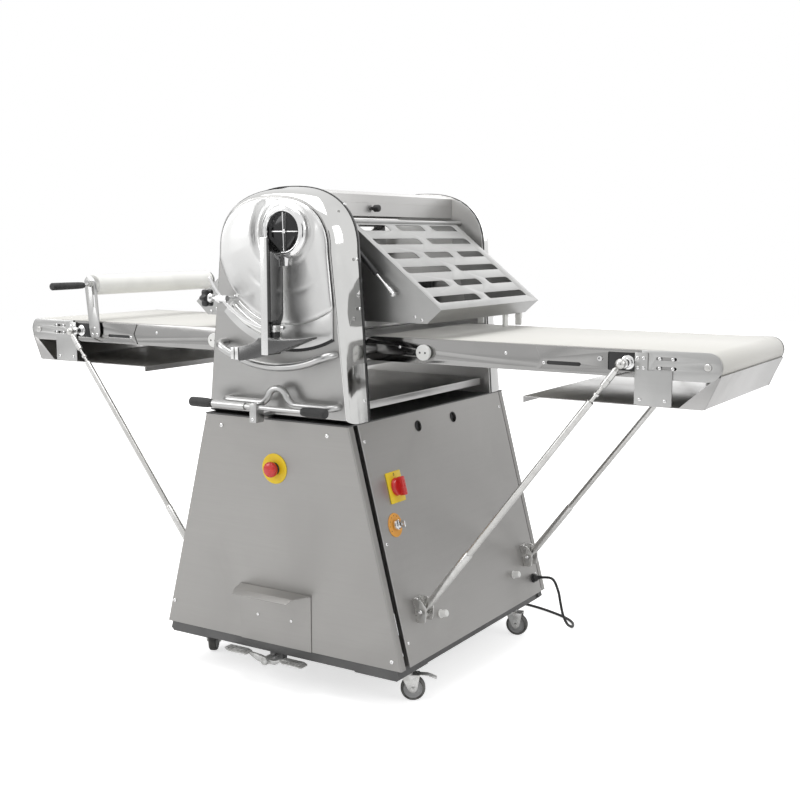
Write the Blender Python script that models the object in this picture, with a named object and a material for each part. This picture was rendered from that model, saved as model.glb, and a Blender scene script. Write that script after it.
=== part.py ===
# Floor-standing dough sheeter: a tapered steel base on castors, a roller head between two
# housings, and two belt tables that fold down on struts.  Metres, +Z up, +X along the tables,
# the operator stands on the -Y side.  The origin is on the floor under the middle of the machine.
import bpy
import bmesh
from math import asin, ceil, copysign, cos, hypot, pi, radians, sin
from mathutils import Matrix, Vector

# ---- driving dimensions -------------------------------------------------------------------
GAP = 0.0003                  # air between touching pieces
RUN = 0.0006                  # radial clearance of a running shaft
SHEET = 0.002                 # cabinet sheet

BASE_DEPTH = 0.815
BASE_TOP_HALF = 0.2254        # half width at the top of the cabinet
BASE_TAPER = 0.26             # growth of that half width per metre going down
BASE_TOP = 0.702
PANEL_WRAP = 0.022            # how far front and rear panels turn round the corner
SIDE_RECESS = 0.0205          # dark gap between the front panel's wrap and the side panel
DECK_THICK = 0.0028
FRAME_TUBE = 0.024
FRAME_INSET = 0.0145          # frame tube inside the cabinet sheet

WHEEL_RADIUS = 0.0315
WHEEL_WIDTH = 0.022
SWIVEL_HEIGHT = 0.025         # swivel and its air above the wheel
CASTER_HEIGHT = 2 * WHEEL_RADIUS + SWIVEL_HEIGHT
BASE_BOTTOM = CASTER_HEIGHT + 0.027
SHELF_TOP = CASTER_HEIGHT + 0.078   # motor shelf
CASTER_TRAIL = 0.020
WHEEL_AIR = 0.0038            # between the tread and the fork's crown
CROWN_THICK = 0.0027
AXLE_RADIUS = 0.004
CASTER_INSET = 0.1175         # rear swivel axes in front of the rear of the cabinet
CASTER_SWIVELS = {            # swivel axis and the direction in which the wheel trails, degrees
    "front_right": (0.322, CASTER_INSET - 0.0100 - BASE_DEPTH / 2, 31),
    "front_left": (-0.318, CASTER_INSET - 0.0060 - BASE_DEPTH / 2, 118),
    "rear_right": (0.322, BASE_DEPTH / 2 - CASTER_INSET, 12),
    "rear_left": (-0.322, BASE_DEPTH / 2 - CASTER_INSET, 150),
}

HEAD_BOTTOM = BASE_TOP + DECK_THICK + 2 * GAP
HEAD_HALF = 0.2265            # half width of a housing at its bottom
HEAD_TAPER = 0.071
HEAD_SHOULDER = 1.120         # where the tapered side turns into the arch
HEAD_TOP = 1.285
ARCH_POWER = 2.4              # superellipse exponent of the arch
NEAR_INNER = -0.308           # inner faces of the two side plates
FAR_INNER = 0.326
PLATE_THICK = 0.010
NEAR_FRONT = -0.400
FAR_BACK = 0.405
COVER_SHEET = 0.002
COVER_ROUND = (0.014, 0.040)  # rounding of a cover's front edge, inward and backward
COVER_DRAFT = 0.014           # how much narrower and lower its arch is at the face

BELT_AXIS = 0.879             # height of the table rollers
BELT_RADIUS = 0.032           # over the belt
BELT_THICK = 0.002
HINGE_X = 0.185               # inner roller shaft, which is also the table's hinge
END_X = 1.047                 # outer roller shaft
TABLE_NEAR = -0.230           # outer faces of the two rails
TABLE_FAR = 0.282
RAIL_THICK = 0.003
RAIL_LOW = BELT_AXIS - BELT_RADIUS + 0.001
RAIL_HIGH = BELT_AXIS + BELT_RADIUS - 0.0015
NOSE_START = END_X - 0.149
PAN_BRACKET = (END_X - 0.164, END_X - 0.077)  # plate that carries the flour pan
PAN_BOTTOM = BELT_AXIS - BELT_RADIUS - 0.060
PAN_INNER_X = 0.607
PAN_KNEE_X = END_X - 0.002
PAN_SHEET = 0.002

MILL_RADIUS = 0.045           # pressing rollers
MILL_JOURNAL = 0.015
ROLLER_GAP = 0.015            # opening between the pressing rollers at rest
GAP_OPENS = 0.0222            # carriage travel up and down from rest
GAP_CLOSES = 0.0110

STRUT_FOOT = (0.364, 0.234)   # pivot in its bracket, x and z
STRUT_HEAD = (END_X - 0.182, BELT_AXIS + 0.002)   # ball at the table
STRUT_OFFSET = 0.046          # strut plane outside the rail
STRUT_TUBE = 0.0085
BALL_RADIUS = 0.012

GUARD_TOP = (0.122, 1.198)    # hinge line of a guard, x and z
GUARD_TIP = (0.392, 0.983)
GUARD_LIP = (0.352, 0.948)
GUARD_NEAR = -0.247
GUARD_FAR = 0.297
GUARD_SHEET = 0.0015
GUARD_SIDE_X = 0.165          # inner bottom corner of a guard's side wall
SLOT_HEIGHT = 0.024
SLOT_ROWS = 6
SLOT_FIRST = 0.0245
SLOT_PITCH = 0.0567
SLOT_MARGIN = 0.020
SLOT_SPACE = 0.008            # between neighbours, on top of their slant
SLOT_SLANT = 0.016

SPRING_TOP = (0.140, 1.145)   # gas spring pin on the side plate
SPRING_FOOT = (0.266, 1.019)  # gas spring pin on the guard
SPRING_Y = -0.2655

DIAL_X = 0.050                # axis of the gap lever
DIAL_Z = 1.172
SHELL_LOW = -0.0045           # shell flange in front of the cover
SHELL_DEPTH = 0.012           # how far the pressed shell stands off the cover
SHELL_RADIUS = 0.228          # lower edge of the shell about the dial
SHELL_INSET = 0.016           # shell edge inside the housing outline
SHELL_POINTS = 36
LEVER_FRONT = -0.490
LEVER_WIDTH = 0.021
ARM_X = DIAL_X - 0.011        # the arm hangs beside the axis
ARM_BOTTOM = 0.875
ARM_REAR = -0.4395            # back of its lower end, in front of the hand rail
RING_FRONT = 0.018            # how far the hub ring stands off its base
SCALE_RADIUS = 0.235          # curved bar that the stop clamps
SCALE_Y = -0.460
STOP_ANGLE = 45.5             # clamp block on the curved bar, degrees left of straight down

ARC_CENTRE = (0.030, 1.207)   # curved hand rail under the lever
ARC_RADIUS = 0.366
ARC_LEFT = 30.7               # its ends, degrees left of straight down
ARC_RIGHT = -25.0
ARC_TUBE = 0.010
ARC_Y = -0.440
OMEGA_TUBE = 0.009
OMEGA_Y = -0.430
OMEGA_Z = 0.748
OMEGA_X = 0.030               # middle of its loop
OMEGA_LEFT = -0.143
OMEGA_RIGHT = 0.195

BAR_Y = -0.460                # cross bar that shifts the drive forward and back
BAR_Z = 0.740
BAR_PIVOT = (-0.016, 0.715)

PIN_X = 0.232 - END_X                # reeling pin over the left table
PIN_Z = 1.018
PIN_RADIUS = 0.030
PIN_ARM_FOOT_X = 0.247 - END_X

CORD_RADIUS = 0.004
COIL_CENTRE = (0.105, 0.505)
COIL_MEAN = 0.044
COIL_HALF = 0.0085

FRONT_REACH = -LEVER_FRONT
BACK_REACH = BASE_DEPTH / 2
SHIFT_Y = (FRONT_REACH - BACK_REACH) / 2   # puts the origin under the middle of the machine

ROUND = 12                    # sides of a round piece

# ---- scene --------------------------------------------------------------------------------
for old in list(bpy.data.objects):
    bpy.data.objects.remove(old, do_unlink=True)

machine = bpy.data.objects.new("machine", None)
machine.location = (0.0, SHIFT_Y, 0.0)
bpy.context.scene.collection.objects.link(machine)


def finish_material(name, color, roughness, metallic):
    material = bpy.data.materials.new(name)
    material.use_nodes = True
    shader = material.node_tree.nodes["Principled BSDF"]
    shader.inputs["Base Color"].default_value = (*color, 1.0)
    shader.inputs["Roughness"].default_value = roughness
    shader.inputs["Metallic"].default_value = metallic
    return material


SATIN = finish_material("satin_steel", (0.56, 0.56, 0.55), 0.42, 1.0)
POLISHED = finish_material("polished_steel", (0.78, 0.78, 0.77), 0.12, 1.0)
DARK = finish_material("frame_steel", (0.16, 0.16, 0.16), 0.55, 0.8)
BELT = finish_material("woven_belt", (0.85, 0.84, 0.79), 0.8, 0.0)
NYLON = finish_material("white_nylon", (0.88, 0.88, 0.86), 0.45, 0.0)
BLACK = finish_material("black_plastic", (0.02, 0.02, 0.02), 0.4, 0.0)
TYRE = finish_material("grey_tyre", (0.08, 0.08, 0.08), 0.7, 0.0)
RED = finish_material("red_plastic", (0.65, 0.03, 0.03), 0.35, 0.0)
ZINC = finish_material("zinc_steel", (0.5, 0.5, 0.5), 0.35, 1.0)
PAINT = finish_material("motor_paint", (0.12, 0.2, 0.3), 0.5, 0.1)


# ---- modelling helpers --------------------------------------------------------------------
def make_object(name, bm, material, pivot=(0.0, 0.0, 0.0)):
    bmesh.ops.recalc_face_normals(bm, faces=bm.faces[:])
    bmesh.ops.translate(bm, verts=bm.verts[:], vec=-Vector(pivot))
    mesh = bpy.data.meshes.new(name)
    bm.to_mesh(mesh)
    bm.free()
    mesh.materials.append(material)
    mesh.shade_smooth()
    mesh.set_sharp_from_angle(angle=radians(35))
    piece = bpy.data.objects.new(name, mesh)
    piece.location = pivot
    piece.parent = machine
    bpy.context.scene.collection.objects.link(piece)
    return piece


def combine(piece, operation, bm):
    """Join a shape to a piece, or cut it away, with a live Boolean."""
    count = len(piece.modifiers) + 1
    tool = make_object(f"{piece.name}_tool_{count}", bm, piece.data.materials[0])
    tool.hide_render = True
    tool.display_type = "WIRE"
    modifier = piece.modifiers.new(f"{operation.lower()}_{count}", "BOOLEAN")
    modifier.operation = operation
    modifier.solver = "EXACT"
    modifier.object = tool


def join(piece, *shapes):
    for shape in shapes:
        combine(piece, "UNION", shape)


def cut(piece, *shapes):
    for shape in shapes:
        combine(piece, "DIFFERENCE", shape)


def place(axis, a, b, height):
    if axis == "X":
        return (height, a, b)
    if axis == "Y":
        return (a, height, b)
    return (a, b, height)


def prism(outline, axis, low, high, holes=()):
    """Straight extrusion of an outline, with holes, along one axis."""
    bm = bmesh.new()
    for loop in [outline, *holes]:
        verts = [bm.verts.new(place(axis, a, b, low)) for a, b in loop]
        if not holes:
            bm.faces.new(verts)
            continue
        for index, vert in enumerate(verts):
            bm.edges.new((vert, verts[index - 1]))
    if holes:
        bmesh.ops.triangle_fill(bm, edges=bm.edges[:], use_beauty=True)
    grown = bmesh.ops.extrude_face_region(bm, geom=bm.faces[:])
    moved = [item for item in grown["geom"] if isinstance(item, bmesh.types.BMVert)]
    bmesh.ops.translate(bm, verts=moved, vec=Vector(place(axis, 0.0, 0.0, high - low)))
    return bm


def box(low, high):
    (x0, y0, z0), (x1, y1, z1) = low, high
    return prism([(x0, y0), (x1, y0), (x1, y1), (x0, y1)], "Z", z0, z1)


def loft(rings):
    """Closed body through rings with equal counts; the first and last ring are capped."""
    bm = bmesh.new()
    rows = [[bm.verts.new(point) for point in ring] for ring in rings]
    for low, high in zip(rows, rows[1:]):
        for index in range(len(low)):
            bm.faces.new((low[index - 1], low[index], high[index], high[index - 1]))
    bm.faces.new(rows[0])
    bm.faces.new(rows[-1])
    return bm


def frame_of(direction):
    along = Vector(direction).normalized()
    helper = Vector((0, 0, 1)) if abs(along.z) < 0.9 else Vector((1, 0, 0))
    side = along.cross(helper).normalized()
    return along, side, along.cross(side)


def turned(start, direction, profile, sides=ROUND):
    """Turned body: profile lists (distance along the axis, radius); radius 0 closes an end."""
    along, side, up = frame_of(direction)
    bm = bmesh.new()
    rows = []
    for distance, radius in profile:
        centre = Vector(start) + along * distance
        if radius == 0.0:
            rows.append([bm.verts.new(centre)])
            continue
        turns = [2 * pi * k / sides for k in range(sides)]
        rows.append([bm.verts.new(centre + (side * cos(t) + up * sin(t)) * radius) for t in turns])
    for low, high in zip(rows, rows[1:]):
        for k in range(sides):
            corners = [low[k - 1], low[k]] if len(low) > 1 else [low[0]]
            corners += [high[k], high[k - 1]] if len(high) > 1 else [high[0]]
            bm.faces.new(corners)
    for row in (rows[0], rows[-1]):
        if len(row) > 1:
            bm.faces.new(row)
    return bm


def cylinder(start, direction, length, radius, sides=ROUND):
    return turned(start, direction, [(0.0, radius), (length, radius)], sides)


def along_y(x, z, y0, y1, radius, sides=ROUND):
    return cylinder((x, y0, z), (0, 1, 0), y1 - y0, radius, sides)


def turned_ring(start, direction, profile, sides=ROUND):
    """Turned body round an open bore: profile is a closed loop of (distance, radius)."""
    along, side, up = frame_of(direction)
    bm = bmesh.new()
    rows = []
    for distance, radius in profile:
        centre = Vector(start) + along * distance
        turns = [2 * pi * k / sides for k in range(sides)]
        rows.append([bm.verts.new(centre + (side * cos(t) + up * sin(t)) * radius) for t in turns])
    for low, high in zip(rows, rows[1:] + rows[:1]):
        for k in range(sides):
            bm.faces.new((low[k - 1], low[k], high[k], high[k - 1]))
    return bm


def swept(points, radius, sides=8):
    """Round tube along a path, with flat ends."""
    path = [Vector(point) for point in points]
    tangents = []
    for index in range(len(path)):
        before = path[max(index - 1, 0)]
        after = path[min(index + 1, len(path) - 1)]
        tangents.append((after - before).normalized())
    side = frame_of(tangents[0])[1]
    rings = []
    for centre, tangent in zip(path, tangents):
        side = (side - tangent * side.dot(tangent)).normalized()
        up = tangent.cross(side)
        turns = [2 * pi * k / sides for k in range(sides)]
        rings.append([centre + (side * cos(t) + up * sin(t)) * radius for t in turns])
    return loft(rings)


def arc(cx, cy, radius, start, end, steps):
    """Points on an arc; the angles are in degrees."""
    return [(cx + radius * cos(radians(start + (end - start) * k / steps)),
             cy + radius * sin(radians(start + (end - start) * k / steps))) for k in range(steps + 1)]


def circle(cx, cy, radius, steps=ROUND):
    return arc(cx, cy, radius, 0, 360, steps)[:-1]


def arc_band(cx, cy, inner, outer, start, end, steps):
    return arc(cx, cy, inner, start, end, steps) + arc(cx, cy, outer, end, start, steps)


def mirrored(side, points):
    """Outline in x and z, mirrored for the left side."""
    return [(side * x, z) for x, z in points]


SIDES = (("right", 1), ("left", -1))


# ---- cabinet ------------------------------------------------------------------------------
def base_half(z):
    return BASE_TOP_HALF + BASE_TAPER * (BASE_TOP - z)


PANEL_LEAN = Vector((1.0, 0.0, BASE_TAPER)).normalized()   # outward normal of the right panel
SIDE_NEAR = -BASE_DEPTH / 2 + PANEL_WRAP + SIDE_RECESS
SIDE_FAR = BASE_DEPTH / 2 - PANEL_WRAP - 0.0025
SIDE_FLANGE = 0.014
STRUT_NEAR_Y = TABLE_NEAR - STRUT_OFFSET
STRUT_FAR_Y = TABLE_FAR + STRUT_OFFSET
BRACKET_EAR = 0.003
BRACKET_HALF = 0.0195         # half the space between and outside the two ears
BRACKET_REACH = 0.016         # ear beyond the pivot
SWITCH_Z = 0.535
KEY_Z = 0.447
SWITCH_Y = -0.263
KEY_Y = -0.299
VENT_RADIUS = 0.013
GLAND_Z = 0.161
GLAND_Y = 0.347
BUMPER_Z = 0.197


def wrapped_panel(name, facing):
    """Front or rear sheet that turns round both corners."""
    def ring(z):
        half = base_half(z)
        face = facing * BASE_DEPTH / 2
        edge = face - facing * PANEL_WRAP
        inside = face - facing * SHEET
        return [(-half, edge, z), (-half, face, z), (half, face, z), (half, edge, z),
                (half - SHEET, edge, z), (half - SHEET, inside, z),
                (-half + SHEET, inside, z), (-half + SHEET, edge, z)]
    return make_object(name, loft([ring(BASE_BOTTOM), ring(BASE_TOP)]), SATIN)


def on_panel(side, y, z, lift=0.0):
    """Point on a side panel's outer face, lifted off it along its normal."""
    lean = Vector((side * PANEL_LEAN.x, 0.0, PANEL_LEAN.z))
    return Vector((side * base_half(z), y, z)) + lean * lift, lean


def strut_bracket(side, strut_y):
    """Clevis of two ears on a back plate, standing on the side panel."""
    shapes = []
    foot_x, foot_z = STRUT_FOOT
    low, high = foot_z - 0.029, foot_z + 0.031
    for ear in (-1, 1):
        outer = strut_y + ear * BRACKET_HALF
        inner = outer - ear * BRACKET_EAR
        outline = [(base_half(low) - 0.001, low), (base_half(low) + 0.022, low),
                   (foot_x + BRACKET_REACH, foot_z - 0.012), (foot_x + BRACKET_REACH, foot_z + 0.012),
                   (base_half(high) + 0.022, high), (base_half(high) - 0.001, high)]
        hole = circle(foot_x, foot_z, 0.004 + RUN, 8)
        shapes.append(prism(mirrored(side, outline), "Y", min(outer, inner), max(outer, inner),
                            [mirrored(side, hole)]))
    back = [(base_half(low) - 0.001, low), (base_half(low) + 0.003, low),
            (base_half(high) + 0.003, high), (base_half(high) - 0.001, high)]
    shapes.append(prism(mirrored(side, back), "Y",
                        strut_y - BRACKET_HALF + 0.001, strut_y + BRACKET_HALF - 0.001))
    return shapes


def side_panel(label, side):
    def ring(z):
        outer = base_half(z)
        return [(side * x, y, z) for x, y in (
            (outer, SIDE_NEAR), (outer, SIDE_FAR), (outer - SIDE_FLANGE, SIDE_FAR),
            (outer - SIDE_FLANGE, SIDE_FAR - SHEET), (outer - SHEET, SIDE_FAR - SHEET),
            (outer - SHEET, SIDE_NEAR + SHEET), (outer - SIDE_FLANGE, SIDE_NEAR + SHEET),
            (outer - SIDE_FLANGE, SIDE_NEAR))]
    panel = make_object(f"{label}_side_panel", loft([ring(BASE_BOTTOM), ring(BASE_TOP)]), SATIN)
    for strut_y in (STRUT_NEAR_Y, STRUT_FAR_Y):
        join(panel, *strut_bracket(side, strut_y))
    for bumper_y in (-0.182, 0.235):
        foot, lean = on_panel(side, bumper_y, BUMPER_Z, -0.001)
        join(panel, turned(foot, lean, [(0.0, 0.0095), (0.021, 0.0095)], 10))
    for vent_y in (-0.095, 0.092):
        start, lean = on_panel(side, vent_y, 0.665, -0.010)
        cut(panel, cylinder(start, lean, 0.02, VENT_RADIUS))
    return panel


base_frame = make_object("base_frame", box(
    (-BASE_TOP_HALF, -BASE_DEPTH / 2, BASE_TOP + GAP),
    (BASE_TOP_HALF, BASE_DEPTH / 2, BASE_TOP + GAP + DECK_THICK)), DARK)
POST_Y = BASE_DEPTH / 2 - SHEET - 0.001 - FRAME_TUBE
for side_x in (-1, 1):
    for side_y in (-1, 1):
        def post_ring(z):
            outer = base_half(z) - FRAME_INSET
            inner = outer - FRAME_TUBE
            return [(side_x * outer, side_y * POST_Y, z), (side_x * outer, side_y * (POST_Y + FRAME_TUBE), z),
                    (side_x * inner, side_y * (POST_Y + FRAME_TUBE), z), (side_x * inner, side_y * POST_Y, z)]
        join(base_frame, loft([post_ring(CASTER_HEIGHT + 0.006), post_ring(BASE_TOP + GAP + 0.001)]))
for side_y in (-1, 1):
    ends = sorted((side_y * POST_Y, side_y * (POST_Y + FRAME_TUBE)))
    reach = base_half(CASTER_HEIGHT) - FRAME_INSET - 0.006
    join(base_frame, box((-reach, ends[0], CASTER_HEIGHT + 0.003), (reach, ends[1], CASTER_HEIGHT + 0.026)))
for side_x in (-1, 1):
    rail = sorted((side_x * (base_half(CASTER_HEIGHT) - FRAME_INSET - 0.007),
                   side_x * (base_half(CASTER_HEIGHT) - FRAME_INSET - 0.007 - FRAME_TUBE)))
    join(base_frame, box((rail[0], -POST_Y - 0.002, CASTER_HEIGHT + 0.003),
                         (rail[1], POST_Y + 0.002, CASTER_HEIGHT + 0.026)))
    shelf_rail = sorted((side_x * 0.300, side_x * 0.340))
    join(base_frame, box((shelf_rail[0], -POST_Y - 0.002, SHELF_TOP - 0.030),
                         (shelf_rail[1], POST_Y + 0.002, SHELF_TOP - 0.004)))
join(base_frame, box((-0.305, -0.150, SHELF_TOP - 0.006), (0.305, 0.150, SHELF_TOP)))
for swivel_x, swivel_y, trail_angle in CASTER_SWIVELS.values():
    plate_x = copysign(0.3005, swivel_x)
    plate_y = copysign(BASE_DEPTH / 2 - 0.0775, swivel_y)
    join(base_frame, box((plate_x - 0.062, plate_y - 0.074, CASTER_HEIGHT),
                         (plate_x + 0.062, plate_y + 0.074, CASTER_HEIGHT + 0.004)))

front_panel = wrapped_panel("front_panel", -1)
STOP_Z = 0.578
cut(front_panel, along_y(0.0, STOP_Z, -0.42, -0.39, 0.0110))
wrapped_panel("rear_panel", 1)
right_panel = side_panel("right", 1)
side_panel("left", -1)
for hole_y, hole_z in ((SWITCH_Y, SWITCH_Z), (KEY_Y, KEY_Z)):
    start, lean = on_panel(1, hole_y, hole_z, -0.010)
    cut(right_panel, cylinder(start, lean, 0.02, 0.0110))
gland_foot, gland_lean = on_panel(1, GLAND_Y, GLAND_Z, -0.001)
GLAND_LENGTH = 0.0255
join(right_panel, turned(gland_foot, gland_lean, [
    (0.0, 0.0110), (0.012, 0.0110), (0.013, 0.0088), (GLAND_LENGTH, 0.0060)], 10))

# kick cover with a visor over the foot pedal
COVER_LEFT, COVER_RIGHT, COVER_TOP = -0.117, 0.110, 0.263
cover_back = -BASE_DEPTH / 2 - GAP
cover_face = cover_back - SHEET
visor_tip = cover_face - 0.049
cover_profile = [(cover_back, BASE_BOTTOM), (cover_back, COVER_TOP), (visor_tip, COVER_TOP),
                 (visor_tip - 0.0175, COVER_TOP - 0.009), (visor_tip - 0.0165, COVER_TOP - 0.0108),
                 (visor_tip + 0.0004, COVER_TOP - SHEET), (cover_face, COVER_TOP - SHEET),
                 (cover_face, BASE_BOTTOM)]
pedal_cover = make_object("pedal_cover", prism(cover_profile, "X", COVER_LEFT, COVER_RIGHT), SATIN)
for edge_x, inward in ((COVER_RIGHT, -1), (COVER_LEFT, 1)):
    notch = [(edge_x - inward * 0.003, cover_face), (edge_x - inward * 0.003, visor_tip - 0.022),
             (edge_x + inward * 0.030, visor_tip - 0.022)]
    cut(pedal_cover, prism(notch, "Z", COVER_TOP - 0.014, COVER_TOP + 0.004))
for hole_x in (-0.060, 0.048):
    cut(pedal_cover, along_y(hole_x, 0.187, cover_face - 0.01, cover_back + 0.01, 0.004, 8))

# foot pedal: two pads on a rocker that turns on a pin under the cabinet
PEDAL_X, PEDAL_Z, PEDAL_Y = -0.016, CASTER_HEIGHT - 0.010, -BASE_DEPTH / 2 - 0.0205
pedal_pivot = (PEDAL_X, PEDAL_Y, PEDAL_Z)
PAD_FRONT, PAD_BACK = PEDAL_Y - 0.0240, PEDAL_Y + 0.0165
rocker = [(x, PEDAL_Z + rise) for x, rise in (
    (-0.150, 0.0120), (-0.076, 0.0125), (-0.040, 0.0100), (0.008, 0.0020), (0.034, 0.0120), (0.106, 0.0090),
    (0.106, 0.0060), (0.036, 0.0088), (0.012, -0.0080), (-0.044, -0.0080), (-0.078, 0.0095), (-0.150, 0.0090))]
foot_pedal = make_object("foot_pedal", prism(rocker, "Y", PEDAL_Y - 0.008, PEDAL_Y + 0.004), ZINC, pedal_pivot)
for pad_x0, pad_x1, pad_z in ((-0.152, -0.070, PEDAL_Z + 0.0089), (0.030, 0.108, PEDAL_Z + 0.0065)):
    pad = [(pad_x0, PAD_FRONT + 0.012), (pad_x0 + 0.022, PAD_FRONT), (pad_x1, PAD_FRONT),
           (pad_x1, PAD_BACK - 0.010), (pad_x1 - 0.020, PAD_BACK), (pad_x0, PAD_BACK)]
    join(foot_pedal, prism(pad, "Z", pad_z, pad_z + 0.0032))
join(foot_pedal, along_y(PEDAL_X, PEDAL_Z, PEDAL_Y - 0.017, PEDAL_Y + 0.013, 0.011),
     along_y(PEDAL_X, PEDAL_Z, PEDAL_Y + 0.011, PEDAL_Y + 0.062, 0.005, 10))
join(base_frame, prism([(PEDAL_X - 0.020, PEDAL_Z - 0.014), (PEDAL_X + 0.020, PEDAL_Z - 0.014),
                        (PEDAL_X + 0.020, CASTER_HEIGHT + 0.010), (PEDAL_X - 0.020, CASTER_HEIGHT + 0.010)],
                       "Y", PEDAL_Y + 0.036, PEDAL_Y + 0.056, [circle(PEDAL_X, PEDAL_Z, 0.005 + RUN, 12)]))


# ---- castors ------------------------------------------------------------------------------
def caster(label, swivel_x, swivel_y, trail_angle, brake):
    trail = Vector((cos(radians(trail_angle)), sin(radians(trail_angle)), 0.0))
    axle = Vector((-trail.y, trail.x, 0.0))
    swivel = Vector((swivel_x, swivel_y, 0.0))
    hub = swivel + trail * CASTER_TRAIL + Vector((0, 0, WHEEL_RADIUS))
    turn = Matrix.Translation(swivel) @ Matrix.Rotation(radians(trail_angle), 4, "Z")

    def local(bm):
        bm.transform(turn)
        return bm

    top = CASTER_HEIGHT - GAP
    crown = 2 * WHEEL_RADIUS + WHEEL_AIR
    half = WHEEL_WIDTH / 2
    leg_low, leg_high = half + 0.0030, half + 0.0055
    fork = make_object(f"caster_fork_{label}", local(cylinder(
        (0, 0, crown + 0.0012), (0, 0, 1), top - crown - 0.0012, 0.020)), ZINC, swivel + Vector((0, 0, top)))
    join(fork, local(box((-0.012, -leg_high, crown), (CASTER_TRAIL + 0.018, leg_high, crown + CROWN_THICK))))
    for ear in (-1, 1):
        leg = [(-0.0115, crown + 0.0017), (CASTER_TRAIL - 0.010, WHEEL_RADIUS - 0.006),
               (CASTER_TRAIL, WHEEL_RADIUS - 0.0095), (CASTER_TRAIL + 0.010, WHEEL_RADIUS - 0.002),
               (CASTER_TRAIL + 0.0175, crown + 0.0017)]
        join(fork, local(prism(leg, "Y", *sorted((ear * leg_low, ear * leg_high)))))
    join(fork, local(along_y(CASTER_TRAIL, WHEEL_RADIUS, -leg_high - 0.003, leg_high + 0.003, AXLE_RADIUS, 8)))
    if brake:
        reach = hypot(0.0785 - 0.020, 0.0560 - 0.0315) - 0.0315 + WHEEL_RADIUS    # tip about the wheel's axle
        tip_x, tip_z = CASTER_TRAIL + reach * 0.9224, WHEEL_RADIUS + reach * 0.3863
        tread = [(CASTER_TRAIL + 0.010, crown + 0.0006), (tip_x - 0.0165, tip_z + 0.0080), (tip_x, tip_z),
                 (tip_x + 0.0015, tip_z + 0.0025), (tip_x - 0.0155, tip_z + 0.0108),
                 (CASTER_TRAIL + 0.010, crown + 0.0022)]
        join(fork, local(prism(tread, "Y", -half, half)))
    bore = AXLE_RADIUS + RUN
    wheel = [(-half, bore), (-half, WHEEL_RADIUS - 0.003), (-half + 0.003, WHEEL_RADIUS),
             (half - 0.003, WHEEL_RADIUS), (half, WHEEL_RADIUS - 0.003), (half, bore)]
    make_object(f"caster_wheel_{label}", turned_ring(hub, axle, wheel, 20), TYRE, hub)


for label, (swivel_x, swivel_y, trail_angle) in CASTER_SWIVELS.items():
    caster(label, swivel_x, swivel_y, trail_angle, label.startswith("front"))


# ---- roller head --------------------------------------------------------------------------
def head_outline(inset=0.0, arch_steps=16, draft=0.0):
    """Housing outline in x and z, counter-clockwise from the lower right corner."""
    shoulder = HEAD_HALF - HEAD_TAPER * (HEAD_SHOULDER - HEAD_BOTTOM) - inset - draft
    rise = HEAD_TOP - HEAD_SHOULDER - inset - draft
    points = [(HEAD_HALF - inset, HEAD_BOTTOM + inset)]
    for k in range(arch_steps + 1):
        turn = pi * k / arch_steps
        x = copysign(abs(cos(turn)) ** (2 / ARCH_POWER), cos(turn)) if abs(cos(turn)) > 1e-9 else 0.0
        z = abs(sin(turn)) ** (2 / ARCH_POWER) if abs(sin(turn)) > 1e-9 else 0.0
        points.append((shoulder * x, HEAD_SHOULDER + rise * z))
    points.append((-HEAD_HALF + inset, HEAD_BOTTOM + inset))
    return points


LOWER_Z = BELT_AXIS + BELT_RADIUS - MILL_RADIUS
UPPER_Z = LOWER_Z + 2 * MILL_RADIUS + ROLLER_GAP
SHAFT_RADIUS = 0.010
GUARD_ROD = 0.006


def side_plate(name, inner, outer):
    low, high = sorted((inner, outer))
    upper_slot = (arc(0.0, UPPER_Z + GAP_OPENS, MILL_JOURNAL + RUN, 0, 180, 7)
                  + arc(0.0, UPPER_Z - GAP_CLOSES, MILL_JOURNAL + RUN, 180, 360, 7))
    holes = [circle(0.0, LOWER_Z, MILL_JOURNAL + RUN, 16), upper_slot]
    for side in (-1, 1):
        holes.append(circle(side * HINGE_X, BELT_AXIS, SHAFT_RADIUS + RUN))
        holes.append(circle(side * GUARD_TOP[0], GUARD_TOP[1], GUARD_ROD + RUN))
    if outer < inner:
        holes.append(circle(DIAL_X, DIAL_Z, 0.012 + RUN))
    return make_object(name, prism(head_outline(), "Y", low, high, holes), DARK)


near_plate = side_plate("near_side_plate", NEAR_INNER, NEAR_INNER - PLATE_THICK)
far_plate = side_plate("far_side_plate", FAR_INNER, FAR_INNER + PLATE_THICK)
TRAY_TOP = 0.750
LEDGE_WIDTH = 0.014
TRAY_SHEET = 0.002
for plate, inner, facing in ((near_plate, NEAR_INNER, 1), (far_plate, FAR_INNER, -1)):
    ledge = sorted((inner - facing * 0.001, inner + facing * LEDGE_WIDTH))
    join(plate, box((-0.150, ledge[0], TRAY_TOP - 0.006), (0.150, ledge[1], TRAY_TOP - TRAY_SHEET - GAP)))
for side in (-1, 1):
    join(near_plate, along_y(side * SPRING_TOP[0], SPRING_TOP[1], NEAR_INNER - 0.001, SPRING_Y + 0.006,
                             0.004, 10))


def housing_cover(name, open_y, face_y):
    """Pressed cover: a deep pan whose walls draw in towards a rounded front edge."""
    inward, backward = COVER_ROUND
    facing = 1 if face_y > open_y else -1
    outer = [(backward * (1 - sin(turn)), inward * (1 - cos(turn))) for turn in (0.0, pi / 6, pi / 3, pi / 2)]
    inner = [(COVER_SHEET + (backward - COVER_SHEET) * (1 - sin(turn)),
              COVER_SHEET + (inward - COVER_SHEET) * (1 - cos(turn))) for turn in (pi / 2, pi / 3, pi / 6, 0.0)]
    depth = abs(face_y - open_y)
    rings = [*inner, (depth, COVER_SHEET), (depth, 0.0), *outer]     # depth behind the face, inset
    return make_object(name, loft([
        [(x, face_y - facing * behind, z) for x, z in head_outline(inset, draft=COVER_DRAFT * (1 - behind / depth))]
        for behind, inset in rings]), POLISHED)


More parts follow.
